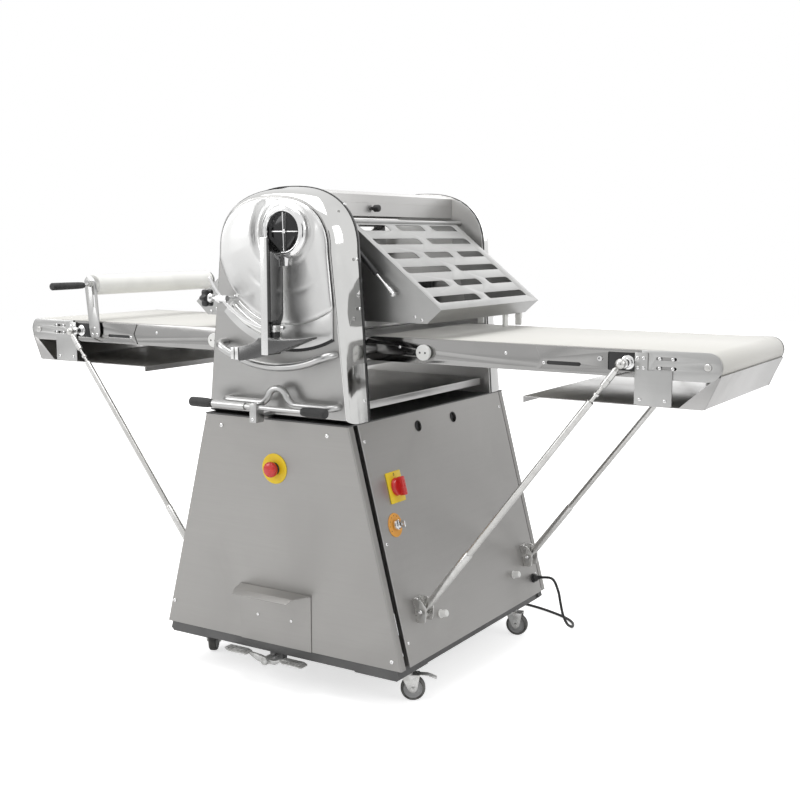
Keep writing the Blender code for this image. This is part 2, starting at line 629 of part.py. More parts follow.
near_cover = housing_cover("near_cover", NEAR_INNER - PLATE_THICK - GAP, NEAR_FRONT)
housing_cover("far_cover", FAR_INNER + PLATE_THICK + GAP, FAR_BACK)
cut(near_cover, along_y(DIAL_X, DIAL_Z, NEAR_FRONT - 0.01, NEAR_FRONT + 0.01, 0.014),
    along_y(*BAR_PIVOT, NEAR_FRONT - 0.01, NEAR_FRONT + 0.01, 0.0075 + RUN))
SECTOR_FACE = NEAR_FRONT - 0.0036
SECTOR_INNER, SECTOR_OUTER = 0.218, 0.290
SECTOR_LEFT = 46              # left end, degrees left of straight down
SECTOR_RIGHT_X = 0.180        # straight cut on the right
SECTOR_STEPS = 14


def sector_arc(radius):
    """Points about the dial from the sector's left end to its straight cut, angles counted rightward."""
    start, end = -radians(SECTOR_LEFT), asin((SECTOR_RIGHT_X - DIAL_X) / radius)
    turns = [start + (end - start) * k / SECTOR_STEPS for k in range(SECTOR_STEPS + 1)]
    return [(DIAL_X + radius * sin(turn), DIAL_Z - radius * cos(turn)) for turn in turns]


sector = sector_arc(SECTOR_OUTER) + sector_arc(SECTOR_INNER)[::-1]
join(near_cover, prism(sector, "Y", SECTOR_FACE, NEAR_FRONT + 0.001))


def reach_to(outline, turn):
    """Distance from the dial axis to an outline, in the direction of an angle."""
    direction = (cos(turn), sin(turn))
    best = 1.0
    for (ax, az), (bx, bz) in zip(outline, outline[1:] + outline[:1]):
        ex, ez = bx - ax, bz - az
        cross = direction[0] * ez - direction[1] * ex
        if abs(cross) < 1e-9:
            continue
        ray = ((ax - DIAL_X) * ez - (az - DIAL_Z) * ex) / cross
        share = ((ax - DIAL_X) * direction[1] - (az - DIAL_Z) * direction[0]) / cross
        if ray > 0 and -1e-9 <= share <= 1 + 1e-9:
            best = min(best, ray)
    return best


def shell_outline(inset):
    """Shell edge: the housing outline above, an arc about the dial below."""
    edge = head_outline(SHELL_INSET + inset, 36, COVER_DRAFT)
    points = []
    for k in range(SHELL_POINTS):
        turn = 2 * pi * k / SHELL_POINTS
        radius = min(reach_to(edge, turn), SHELL_RADIUS - inset)
        points.append((DIAL_X + radius * cos(turn), DIAL_Z + radius * sin(turn)))
    return points


shell_back = NEAR_FRONT + SHELL_LOW
shell_face = NEAR_FRONT - SHELL_DEPTH
front_shell = make_object("front_shell", loft([[(x, y, z) for x, z in shell_outline(inset)] for y, inset in (
    (shell_face + 0.0020, 0.0300), (shell_face + 0.0042, 0.0130), (shell_back, 0.0030), (shell_back, 0.0),
    (shell_face + 0.0026, 0.0105), (shell_face, 0.0290))]), POLISHED)
cut(front_shell, along_y(DIAL_X, DIAL_Z, shell_face - 0.01, shell_back + 0.01, 0.014))


def around_dial(radius, angle):
    """Point at a radius from the dial axis; the angle counts left from straight down, degrees."""
    return DIAL_X - radius * sin(radians(angle)), DIAL_Z - radius * cos(radians(angle))


# gap lever: hub ring, shaft, arm, curved bar and foot
lever_pivot = (DIAL_X, LEVER_FRONT, DIAL_Z)
ring_base = shell_face - 0.0022
gap_lever = make_object("gap_lever", turned((DIAL_X, ring_base, DIAL_Z), (0, -1, 0), [
    (0.0, 0.060), (0.006, 0.067), (0.014, 0.064), (RING_FRONT, 0.056), (RING_FRONT - 0.002, 0.0485),
    (0.003, 0.0475), (0.003, 0.0)], 24), POLISHED, lever_pivot)
join(gap_lever, along_y(DIAL_X, DIAL_Z, shell_face - 0.004, NEAR_INNER - 0.0008, 0.012))
arm_half = LEVER_WIDTH / 2
arm_top = DIAL_Z - 0.014
join(gap_lever, prism([(LEVER_FRONT, ARM_BOTTOM), (ARM_REAR, ARM_BOTTOM), (ARM_REAR, ARM_BOTTOM + 0.070),
                       (ring_base - 0.012, ARM_BOTTOM + 0.090), (ring_base - 0.012, DIAL_Z - 0.058),
                       (ring_base - RING_FRONT, DIAL_Z - 0.048), (LEVER_FRONT + 0.010, arm_top),
                       (LEVER_FRONT, arm_top)], "X", ARM_X - arm_half, ARM_X + arm_half))
foot = [(0.170, 0.9190), (0.170, 0.9230), (0.120, 0.9170), (0.078, 0.9130), (0.058, 0.9180),
        (0.020, 0.9180), (0.012, 0.9080), (-0.012, 0.8980), (-0.043, 0.8915), (-0.068, 0.8900),
        (-0.069, 0.8590), (-0.043, 0.8568), (-0.010, 0.8620), (0.024, 0.8714), (0.060, 0.8800),
        (0.095, 0.8900), (0.130, 0.9040)]
foot = [(ARM_X - 0.039 + x, ARM_BOTTOM - 0.875 + z) for x, z in foot]
join(gap_lever, prism(foot, "Y", LEVER_FRONT + 0.001, -0.4520))
bar_band = arc_band(DIAL_X, DIAL_Z, SCALE_RADIUS - 0.004, SCALE_RADIUS + 0.004, 270 - 61.6, 270, 12)
join(gap_lever, prism(bar_band, "Y", SCALE_Y - 0.0025, SCALE_Y + 0.0025))

# fixed clamp block on the curved bar, and its star knob
block_x, block_z = around_dial(SCALE_RADIUS + 0.0005, STOP_ANGLE)
stop_block = cylinder((block_x - 0.0175, SCALE_Y, block_z), (1, 0, 0), 0.035, 0.0085)
stop_post = along_y(block_x - 0.002, block_z, SCALE_Y + 0.0045, NEAR_FRONT + 0.001, 0.0045, 10)
join(near_cover, stop_block, stop_post)
bar_slot = arc_band(DIAL_X, DIAL_Z, SCALE_RADIUS - 0.0048, SCALE_RADIUS + 0.0048,
                    270 - STOP_ANGLE - 8, 270 - STOP_ANGLE + 8, 4)
cut(near_cover, prism(bar_slot, "Y", SCALE_Y - 0.0031, SCALE_Y + 0.0031))
cut(near_cover, cylinder((block_x - 0.019, SCALE_Y, block_z), (1, 0, 0), 0.010, 0.004 + RUN, 10))
KNOB_RADIUS = 0.024
knob_x = block_x - 0.0175 - 0.014
star = []
for k in range(36):
    turn = 2 * pi * k / 36
    radius = KNOB_RADIUS * (0.88 + 0.12 * cos(6 * turn))
    star.append((SCALE_Y + radius * cos(turn), block_z + radius * sin(turn)))
stop_knob = make_object("stop_knob", prism(star, "X", knob_x - 0.024, knob_x - 0.006), BLACK,
                        (knob_x, SCALE_Y, block_z))
join(stop_knob, turned((knob_x - 0.008, SCALE_Y, block_z), (1, 0, 0),
                       [(0.0, 0.013), (0.010, 0.011), (0.012, 0.004), (0.0305, 0.004)], 10))

# curved hand rail and the lower rail with its round loop; both ends turn back to the cover
RAIL_ROOT = NEAR_FRONT - GAP
arc_path = []
for end, inward in ((ARC_LEFT, -1), (ARC_RIGHT, 1)):
    turn_in = [(0.0, RAIL_ROOT), (0.0, RAIL_ROOT - 0.016), (0.5, ARC_Y + 0.0105), (1.3, ARC_Y + 0.0035)]
    leg = [(end + inward * angle, y) for angle, y in turn_in]
    if inward < 0:
        leg += [(end - 3.0 + (ARC_RIGHT - ARC_LEFT + 6.0) * step / 12, ARC_Y) for step in range(13)]
    else:
        leg.reverse()
    for angle, y in leg:
        arc_path.append((ARC_CENTRE[0] - ARC_RADIUS * sin(radians(angle)), y,
                         ARC_CENTRE[1] - ARC_RADIUS * cos(radians(angle))))
make_object("arc_rail", swept(arc_path, ARC_TUBE), POLISHED)

omega_path = [(OMEGA_LEFT, RAIL_ROOT, OMEGA_Z), (OMEGA_LEFT, RAIL_ROOT - 0.012, OMEGA_Z),
              (OMEGA_LEFT + 0.0035, OMEGA_Y + 0.0055, OMEGA_Z), (OMEGA_LEFT + 0.0125, OMEGA_Y, OMEGA_Z),
              (OMEGA_X - 0.052, OMEGA_Y, OMEGA_Z), (OMEGA_X - 0.041, OMEGA_Y, OMEGA_Z + 0.004)]
for x, z in arc(OMEGA_X, OMEGA_Z + 0.008, 0.031, 168, 12, 8):
    omega_path.append((x, OMEGA_Y, z))
omega_path += [(OMEGA_X + 0.041, OMEGA_Y, OMEGA_Z + 0.004), (OMEGA_X + 0.052, OMEGA_Y, OMEGA_Z),
               (OMEGA_RIGHT - 0.0125, OMEGA_Y, OMEGA_Z), (OMEGA_RIGHT - 0.0035, OMEGA_Y + 0.0055, OMEGA_Z),
               (OMEGA_RIGHT, RAIL_ROOT - 0.012, OMEGA_Z), (OMEGA_RIGHT, RAIL_ROOT, OMEGA_Z)]
make_object("hand_guard_rail", swept(omega_path, OMEGA_TUBE), POLISHED)

# shift bar
pivot_x, pivot_z = BAR_PIVOT
hand_bar = make_object("hand_bar", turned((-0.228, BAR_Y, BAR_Z), (1, 0, 0), [
    (0.0, 0.0105), (0.003, 0.0122), (0.055, 0.0125), (0.071, 0.0100), (0.073, 0.0065),
    (0.350, 0.0065), (0.352, 0.0100), (0.368, 0.0125), (0.425, 0.0122), (0.428, 0.0105)]),
    POLISHED, (pivot_x, BAR_Y, pivot_z))
join(hand_bar, box((pivot_x - 0.011, BAR_Y - 0.012, pivot_z - 0.013), (pivot_x + 0.011, BAR_Y + 0.020, BAR_Z + 0.010)),
     along_y(pivot_x, pivot_z, BAR_Y + 0.018, NEAR_FRONT + 0.009, 0.0075))

# cross beam and flour tray
BEAM_HALF = 0.095
BEAM_SHEET = 0.003
beam_low = 1.213


def beam_arch(half, drop):
    """Top of the beam, following the housing arch a little below it."""
    points = []
    shoulder = HEAD_HALF - HEAD_TAPER * (HEAD_SHOULDER - HEAD_BOTTOM)
    for k in range(9):
        x = half * cos(pi * k / 8)
        rise = (1 - abs(x / shoulder) ** ARCH_POWER) ** (1 / ARCH_POWER)
        points.append((x, HEAD_SHOULDER + (HEAD_TOP - HEAD_SHOULDER) * rise - drop))
    return points


beam_section = ([(BEAM_HALF, beam_low)] + beam_arch(BEAM_HALF, 0.004) + [(-BEAM_HALF, beam_low)]
                + [(-BEAM_HALF + BEAM_SHEET, beam_low)]
                + beam_arch(BEAM_HALF - BEAM_SHEET, 0.004 + BEAM_SHEET)[::-1]
                + [(BEAM_HALF - BEAM_SHEET, beam_low)])
top_beam = make_object("top_beam", prism(beam_section, "Y", NEAR_INNER + GAP, FAR_INNER - GAP), POLISHED)
for side in (-1, 1):
    join(top_beam, turned((side * (BEAM_HALF - 0.001), -0.100, 1.241), (side, 0, 0),
                          [(0.0, 0.005), (0.006, 0.005), (0.008, 0.0095), (0.025, 0.0085)], 10))

TRAY_HALF = 0.203
TRAY_DROP = 0.020
tray_near, tray_far = NEAR_INNER + 0.003, FAR_INNER - 0.003
flour_tray = make_object("flour_tray", box((-TRAY_HALF, tray_near, TRAY_TOP - TRAY_SHEET),
                                           (TRAY_HALF, tray_far, TRAY_TOP)), SATIN)
for side in (-1, 1):
    low, high = sorted((side * (TRAY_HALF - GAP), side * (TRAY_HALF - TRAY_SHEET)))
    join(flour_tray, box((low, NEAR_INNER + LEDGE_WIDTH + 0.001, TRAY_TOP - TRAY_DROP),
                         (high, FAR_INNER - LEDGE_WIDTH - 0.001, TRAY_TOP - 0.001)))

# pressing rollers, the carriage of the upper one, and the scraper bed round the lower one
INNER_MID = (NEAR_INNER + FAR_INNER) / 2


def across(offset_out):
    """Offset from both side plates, measured inwards: near and far positions in y."""
    return NEAR_INNER + offset_out, FAR_INNER - offset_out


def mill_roller(name, z):
    barrel0, barrel1 = across(0.023)
    end0, end1 = across(-0.0085)
    make_object(name, turned((0.0, end0, z), (0, 1, 0), [
        (0.0, MILL_JOURNAL), (barrel0 - end0, MILL_JOURNAL), (barrel0 - end0, MILL_RADIUS),
        (barrel1 - end0, MILL_RADIUS), (barrel1 - end0, MILL_JOURNAL), (end1 - end0, MILL_JOURNAL)], 24),
        POLISHED, (0.0, INNER_MID, z))


mill_roller("upper_roller", UPPER_Z)
mill_roller("lower_roller", LOWER_Z)
BLOCK_HALF = 0.034
carriage_top = UPPER_Z + MILL_RADIUS + 0.020
bar_near, bar_far = across(0.006)
carriage = make_object("roller_carriage", box((-0.016, bar_near, carriage_top - 0.012),
                                              (0.016, bar_far, carriage_top)), DARK, (0, INNER_MID, UPPER_Z))
for y0, y1 in ((across(0.005)[0], across(0.015)[0]), (across(0.015)[1], across(0.005)[1])):
    join(carriage, prism([(-BLOCK_HALF, UPPER_Z - BLOCK_HALF), (BLOCK_HALF, UPPER_Z - BLOCK_HALF),
                          (BLOCK_HALF, carriage_top - 0.001), (-BLOCK_HALF, carriage_top - 0.001)],
                         "Y", y0, y1, [circle(0.0, UPPER_Z, MILL_JOURNAL + RUN)]))
BED_TOP = BELT_AXIS + BELT_RADIUS - 0.0035
cheek = [(-0.162, BED_TOP - 0.030), (-0.120, BED_TOP - 0.105), (0.120, BED_TOP - 0.105),
         (0.162, BED_TOP - 0.030), (0.162, BED_TOP), (-0.162, BED_TOP)]
bed_near, bed_far = across(0.0005)
scraper_bed = make_object("scraper_bed", prism(cheek, "Y", bed_near, bed_near + 0.004,
                                               [circle(0.0, LOWER_Z, 0.020)]), DARK)
join(scraper_bed, prism(cheek, "Y", bed_far - 0.004, bed_far, [circle(0.0, LOWER_Z, 0.020)]))
for side in (-1, 1):
    low, high = sorted((side * 0.030, side * 0.162))
    join(scraper_bed, box((low, bed_near + 0.003, BED_TOP - 0.002), (high, bed_far - 0.003, BED_TOP)))
join(scraper_bed, box((-0.020, bed_near + 0.003, BED_TOP - 0.103), (0.020, bed_far - 0.003, BED_TOP - 0.093)))
for side in (-1, 1):
    cut(scraper_bed, along_y(side * HINGE_X, BELT_AXIS, bed_near - 0.01, bed_far + 0.01, 0.0340, 20))

# drive motor on its shelf
motor = make_object("drive_motor", turned((0.0, -0.115, SHELF_TOP + 0.085), (0, 1, 0), [
    (0.0, 0.009), (0.030, 0.009), (0.031, 0.030), (0.045, 0.062), (0.200, 0.066), (0.230, 0.060),
    (0.238, 0.045)]), PAINT)
join(motor, box((-0.060, -0.060, SHELF_TOP + GAP), (0.060, 0.080, SHELF_TOP + 0.030)))


# ---- belt tables --------------------------------------------------------------------------
BELT_NEAR = TABLE_NEAR + 0.006
BELT_FAR = TABLE_FAR - 0.006
STUD_END = BALL_RADIUS + 0.0005
NOSE_LAP = 0.0034             # nose plate stands this far outside the rail
PLATE_LAP = 0.0068            # pan bracket stands this far outside the rail


def stadium(radius, steps=12):
    """Outline round the two table shafts."""
    return arc(END_X, BELT_AXIS, radius, -90, 90, steps) + arc(HINGE_X, BELT_AXIS, radius, 90, 270, steps)


def table_frame(label, side):
    hinge = (side * HINGE_X, INNER_MID, BELT_AXIS)
    rail_shape = (arc(HINGE_X, BELT_AXIS, RAIL_HIGH - BELT_AXIS, 90, 270, 8)[:-1]
                  + [(HINGE_X, RAIL_LOW), (PAN_BRACKET[1], RAIL_LOW), (PAN_BRACKET[1], RAIL_HIGH)])
    shaft_hole = circle(HINGE_X, BELT_AXIS, SHAFT_RADIUS + RUN)
    rail = prism(mirrored(side, rail_shape), "Y", TABLE_NEAR, TABLE_NEAR + RAIL_THICK,
                 [mirrored(side, shaft_hole)])
    frame = make_object(f"{label}_table_frame", rail, POLISHED, hinge)
    join(frame, prism(mirrored(side, rail_shape), "Y", TABLE_FAR - RAIL_THICK, TABLE_FAR,
                      [mirrored(side, shaft_hole)]))
    bed_high = BELT_AXIS + BELT_RADIUS - BELT_THICK - 0.0005
    bed_ends = sorted((side * (HINGE_X + 0.034), side * (END_X - 0.036)))
    join(frame, box((bed_ends[0], TABLE_NEAR + 0.002, bed_high - 0.003), (bed_ends[1], TABLE_FAR - 0.002, bed_high)))
    for bar_x in (HINGE_X + 0.145, (HINGE_X + END_X) / 2 - 0.016, END_X - 0.187):
        bar = sorted((side * bar_x, side * (bar_x + 0.022)))
        join(frame, box((bar[0], TABLE_NEAR + 0.002, BELT_AXIS - 0.022), (bar[1], TABLE_FAR - 0.002, BELT_AXIS - 0.004)))
    nose = ([(NOSE_START, BELT_AXIS - BELT_RADIUS)] + arc(END_X, BELT_AXIS, BELT_RADIUS + 0.0005, -90, 90, 10)
            + [(NOSE_START, BELT_AXIS + BELT_RADIUS)])
    end_hole = circle(END_X, BELT_AXIS, 0.008 + RUN)
    plate = [(PAN_BRACKET[0], PAN_BOTTOM + 0.001), (PAN_BRACKET[1], PAN_BOTTOM + 0.001),
             (PAN_BRACKET[1], BELT_AXIS - 0.0125), (PAN_BRACKET[0] + 0.030, BELT_AXIS - 0.0125),
             (PAN_BRACKET[0] + 0.030, RAIL_HIGH - 0.0045), (PAN_BRACKET[0], RAIL_HIGH - 0.0045)]
    for outer, outward in ((TABLE_NEAR, -1), (TABLE_FAR, 1)):
        lap = sorted((outer - outward * 0.0006, outer + outward * NOSE_LAP))
        join(frame, prism(mirrored(side, nose), "Y", *lap, [mirrored(side, end_hole)]))
        lap = sorted((outer + outward * (NOSE_LAP - 0.0006), outer + outward * PLATE_LAP))
        join(frame, prism(mirrored(side, plate), "Y", *lap))
        foot_lap = sorted((outer - outward * 0.0006, outer + outward * (NOSE_LAP + 0.0006)))
        join(frame, prism(mirrored(side, [(PAN_BRACKET[0], BELT_AXIS - 0.017), (NOSE_START + 0.004, BELT_AXIS - 0.017),
                                          (NOSE_START + 0.004, BELT_AXIS + 0.021), (PAN_BRACKET[0], BELT_AXIS + 0.021)]), "Y", *foot_lap))
        stud_reach = STRUT_OFFSET - STUD_END
        stud = sorted((outer - outward * 0.001, outer + outward * stud_reach))
        join(frame, along_y(side * STRUT_HEAD[0], STRUT_HEAD[1], stud[0], stud[1], 0.009))
    return frame


def table_roller(name, side, x, shaft, shaft_near, shaft_far):
    barrel_near, barrel_far = BELT_NEAR - 0.0005, BELT_FAR + 0.0005
    radius = BELT_RADIUS - BELT_THICK - GAP
    make_object(name, turned((side * x, shaft_near, BELT_AXIS), (0, 1, 0), [
        (0.0, shaft), (barrel_near - shaft_near, shaft), (barrel_near - shaft_near, radius),
        (barrel_far - shaft_near, radius), (barrel_far - shaft_near, shaft),
        (shaft_far - shaft_near, shaft)], 16), POLISHED, (side * x, INNER_MID, BELT_AXIS))


def flour_pan(label, side):
    """Bent pan under a table: bottom sheet, inner lip and the sloping end under the belt."""
    tip_x, tip_z = END_X + BELT_RADIUS - 0.0005, BELT_AXIS - 0.017
    section = [(PAN_INNER_X, PAN_BOTTOM - 0.015), (PAN_INNER_X, PAN_BOTTOM), (PAN_KNEE_X, PAN_BOTTOM),
               (tip_x - PAN_SHEET, tip_z), (tip_x, tip_z - 0.0006), (PAN_KNEE_X + 0.0015, PAN_BOTTOM - PAN_SHEET),
               (PAN_INNER_X + PAN_SHEET, PAN_BOTTOM - PAN_SHEET), (PAN_INNER_X + PAN_SHEET, PAN_BOTTOM - 0.015)]
    near = TABLE_NEAR - NOSE_LAP + 0.0006 + GAP
    far = TABLE_FAR + NOSE_LAP - 0.0006 - GAP
    pan = make_object(f"{label}_flour_pan", prism(mirrored(side, section), "Y", near, far), SATIN,
                      (side * HINGE_X, INNER_MID, BELT_AXIS))
    wall = [(PAN_BRACKET[0] + 0.004, PAN_BOTTOM - 0.001), (PAN_BRACKET[1] - 0.004, PAN_BOTTOM - 0.001),
            (PAN_BRACKET[1] - 0.004, PAN_BOTTOM + 0.050), (PAN_BRACKET[0] + 0.004, PAN_BOTTOM + 0.050)]
    for edge, inward in ((near, 1), (far, -1)):
        join(pan, prism(mirrored(side, wall), "Y", *sorted((edge, edge + inward * PAN_SHEET))))
    return pan


def strut(label, side, end_label, strut_y):
    foot = Vector((side * STRUT_FOOT[0], strut_y, STRUT_FOOT[1]))
    head = Vector((side * STRUT_HEAD[0], strut_y, STRUT_HEAD[1]))
    length = (head - foot).length
    ball = [(length + BALL_RADIUS * sin(radians(turn)), BALL_RADIUS * cos(radians(turn)))
            for turn in (-65, -25, 15, 55)] + [(length + BALL_RADIUS, 0.0)]
    profile = [(-0.009, 0.0), (-0.006, 0.0070), (0.016, 0.0070), (0.030, 0.0105), (0.205, 0.0105),
               (0.207, STRUT_TUBE), (length - 0.112, STRUT_TUBE), (length - 0.111, 0.0038),
               (length - 0.066, 0.0038), (length - 0.065, 0.0078), (length - 0.018, 0.0075)] + ball
    piece = make_object(f"{label}_{end_label}_strut", turned(foot, head - foot, profile, 10), ZINC, foot)
    pin_half = BRACKET_HALF + 0.002
    join(piece, along_y(foot.x, foot.z, strut_y - pin_half, strut_y + pin_half, 0.004, 8))


for label, side in SIDES:
    table_frame(label, side)
    belt_ring = prism(mirrored(side, stadium(BELT_RADIUS)), "Y", BELT_NEAR, BELT_FAR,
                      [mirrored(side, stadium(BELT_RADIUS - BELT_THICK))])
    make_object(f"{label}_belt", belt_ring, BELT, (side * HINGE_X, INNER_MID, BELT_AXIS))
    shaft_near, shaft_far = across(-0.0085)
    table_roller(f"{label}_drive_roller", side, HINGE_X, SHAFT_RADIUS, shaft_near, shaft_far)
    table_roller(f"{label}_end_roller", side, END_X, 0.008, TABLE_NEAR - NOSE_LAP, TABLE_FAR + NOSE_LAP)
    flour_pan(label, side)
    strut(label, side, "near", STRUT_NEAR_Y)
    strut(label, side, "far", STRUT_FAR_Y)


# ---- guards -------------------------------------------------------------------------------
def guard(label, side):
    top, tip = Vector((GUARD_TOP[0], 0.0, GUARD_TOP[1])), Vector((GUARD_TIP[0], 0.0, GUARD_TIP[1]))
    slope = tip - top
    length = slope.length
    slope.normalize()
    slots = []
    low, high = GUARD_NEAR + SLOT_MARGIN, GUARD_FAR - SLOT_MARGIN
    for row in range(SLOT_ROWS):
        count = 3 if row % 2 == 0 else 2
        width = (high - low - (count - 1) * SLOT_SPACE) / count
        centre = SLOT_FIRST + row * SLOT_PITCH
        for k in range(count):
            y0 = low + k * (width + SLOT_SPACE)
            above, below = centre - SLOT_HEIGHT / 2, centre + SLOT_HEIGHT / 2
            slots.append([(above, y0 + SLOT_SLANT), (above, y0 + width), (below, y0 + width - SLOT_SLANT), (below, y0)])
    sheet = [(0.0, GUARD_NEAR), (length, GUARD_NEAR), (length, GUARD_FAR), (0.0, GUARD_FAR)]
    plate = prism(sheet, "Z", -GUARD_SHEET, 0.0, slots)
    normal = Vector((-slope.z, 0.0, slope.x))
    to_slope = Matrix(((side * slope.x, 0, side * normal.x, side * top.x), (0, 1, 0, 0),
                       (slope.z, 0, normal.z, top.z), (0, 0, 0, 1)))
    plate.transform(to_slope)
    piece = make_object(f"{label}_guard", plate, SATIN, (side * top.x, INNER_MID, top.z))
    wall = [GUARD_TOP, GUARD_TIP, GUARD_LIP, (GUARD_SIDE_X, GUARD_LIP[1]), (GUARD_TOP[0] - 0.008, GUARD_TOP[1] - 0.055)]
    inset = [(GUARD_TOP[0] - 0.002, GUARD_TOP[1] - 0.0006), (GUARD_TIP[0] - 0.001, GUARD_TIP[1] - 0.0005),
             *wall[2:]]
    for y0, y1 in ((GUARD_NEAR + GAP, GUARD_NEAR + GUARD_SHEET), (GUARD_FAR - GUARD_SHEET, GUARD_FAR - GAP)):
        join(piece, prism(mirrored(side, inset), "Y", y0, y1))
    back_x, back_z = GUARD_TIP[0] - GUARD_LIP[0], GUARD_TIP[1] - GUARD_LIP[1]
    lip_length = hypot(back_x, back_z)
    nx, nz = -back_z / lip_length * GUARD_SHEET, back_x / lip_length * GUARD_SHEET
    lip = [(GUARD_TIP[0] - 0.0004, GUARD_TIP[1]), GUARD_LIP, (GUARD_LIP[0] + nx, GUARD_LIP[1] + nz),
           (GUARD_TIP[0] - 0.0004 + nx, GUARD_TIP[1] + nz)]
    join(piece, prism(mirrored(side, lip), "Y", GUARD_NEAR + 0.0005, GUARD_FAR - 0.0005))
    rod_near, rod_far = across(-0.006)
    join(piece, along_y(side * GUARD_TOP[0], GUARD_TOP[1], rod_near, rod_far, GUARD_ROD, 10))
    join(piece, along_y(side * SPRING_FOOT[0], SPRING_FOOT[1], SPRING_Y + 0.0085, GUARD_NEAR + 0.001, 0.004, 8))
    return piece


def gas_spring(label, side):
    start = Vector((side * SPRING_TOP[0], SPRING_Y, SPRING_TOP[1]))
    end = Vector((side * SPRING_FOOT[0], SPRING_Y, SPRING_FOOT[1]))
    span = end - start
    reach = span.length
    body = make_object(f"{label}_spring_cylinder", turned(start, span, [
        (-0.010, 0.0050), (-0.008, 0.0075), (0.108, 0.0072), (0.110, 0.0055)]), BLACK, start)
    cut(body, along_y(start.x, start.z, SPRING_Y - 0.02, SPRING_Y + 0.02, 0.004 + RUN, 10),
        cylinder(start + span.normalized() * 0.020, span, 0.100, 0.003 + RUN, 10))
    make_object(f"{label}_spring_rod", turned(start + span.normalized() * 0.030, span, [
        (0.0, 0.003), (reach - 0.030 - 0.022, 0.003), (reach - 0.030 - 0.020, 0.0060),
        (reach - 0.030 + 0.006, 0.0065), (reach - 0.030 + 0.008, 0.0045)], 8), ZINC, start)


for label, side in SIDES:
    guard(label, side)
    gas_spring(label, side)

# ---- reeling pin over the left table --------------------------------------------------------
ARM_HALF = 0.021
ARM_THICK = 0.003
SLOT_HALF = 0.0055
left_frame = bpy.data.objects["left_table_frame"]
arm_top = PIN_Z + 0.026
for outer, outward in ((TABLE_NEAR, -1), (TABLE_FAR, 1)):
    lean = PIN_X - PIN_ARM_FOOT_X
    arm = [(PIN_ARM_FOOT_X - ARM_HALF * 0.8, BELT_AXIS - 0.016), (PIN_ARM_FOOT_X + ARM_HALF * 0.8, BELT_AXIS - 0.016),
           (PIN_ARM_FOOT_X + ARM_HALF, BELT_AXIS), (PIN_X + ARM_HALF + 0.004, arm_top - 0.016),
           (PIN_X + 0.010, arm_top), (PIN_X - 0.012, arm_top), (PIN_X - ARM_HALF - 0.002, arm_top - 0.014),
           (PIN_ARM_FOOT_X - ARM_HALF, BELT_AXIS)]
    slot_x = PIN_X + 0.011
    hook = [(PIN_X - SLOT_HALF, PIN_Z - SLOT_HALF), (PIN_X + SLOT_HALF - 0.001, PIN_Z - SLOT_HALF),
            (slot_x - SLOT_HALF + 0.003, PIN_Z - SLOT_HALF + 0.002), (slot_x - SLOT_HALF + 0.008, PIN_Z - 0.065),
            (slot_x + SLOT_HALF + 0.004, PIN_Z - 0.065), (slot_x + SLOT_HALF - 0.002, PIN_Z + SLOT_HALF + 0.002),
            (slot_x - 0.004, PIN_Z + SLOT_HALF + 0.006), (PIN_X - SLOT_HALF, PIN_Z + SLOT_HALF + 0.001)]
    lap = sorted((outer + outward * 0.0065, outer + outward * (0.0065 + ARM_THICK)))
    join(left_frame, prism(arm, "Y", *lap, [hook]))
    boss = sorted((outer - outward * 0.001, outer + outward * 0.007))
    join(left_frame, along_y(PIN_ARM_FOOT_X, BELT_AXIS, boss[0], boss[1], 0.010))
pin_end = TABLE_FAR + 0.0130
grip_end = -0.385
make_object("reeling_pin", turned((PIN_X, grip_end, PIN_Z), (0, 1, 0), [
    (0.0, 0.0085), (0.003, 0.0108), (0.100, 0.0100), (0.122, 0.0085), (0.124, 0.0049),
    (-grip_end - 0.226, 0.0049), (-grip_end - 0.226, PIN_RADIUS), (-grip_end + 0.278, PIN_RADIUS),
    (-grip_end + 0.278, 0.0049), (pin_end - grip_end, 0.0049)], 16), NYLON, (PIN_X, INNER_MID, PIN_Z))

# ---- controls -----------------------------------------------------------------------------
face_y = -BASE_DEPTH / 2
make_object("stop_button", turned((0.0, face_y + 0.012, STOP_Z), (0, -1, 0), [
    (0.0, 0.0100), (0.021, 0.0100), (0.022, 0.0160), (0.024, 0.0195), (0.030, 0.0200), (0.035, 0.0185),
    (0.039, 0.0110)]), RED, (0.0, face_y, STOP_Z))
switch_foot, lean = on_panel(1, SWITCH_Y, SWITCH_Z, -0.012)
isolator = make_object("isolator_knob", turned(switch_foot, lean, [
    (0.0, 0.0100), (0.0155, 0.0100), (0.016, 0.0230), (0.028, 0.0210)], 16), RED, switch_foot)
turn_panel = Matrix.Translation(switch_foot) @ Matrix(((lean.x, 0, -lean.z, 0), (0, 1, 0, 0),
                                                       (lean.z, 0, lean.x, 0), (0, 0, 0, 1)))
grip = box((0.0255, -0.0070, -0.0235), (0.0420, 0.0070, 0.0235))
grip.transform(turn_panel)
join(isolator, grip)
key_foot, lean = on_panel(1, KEY_Y, KEY_Z, -0.012)
key = make_object("key_switch", turned(key_foot, lean, [
    (0.0, 0.0100), (0.0155, 0.0100), (0.016, 0.0130), (0.024, 0.0115)]), ZINC, key_foot)
turn_key = Matrix.Translation(key_foot - switch_foot) @ turn_panel
bow = box((0.0235, -0.0012, -0.0100), (0.0430, 0.0012, 0.0100))
bow.transform(turn_key)
join(key, bow)

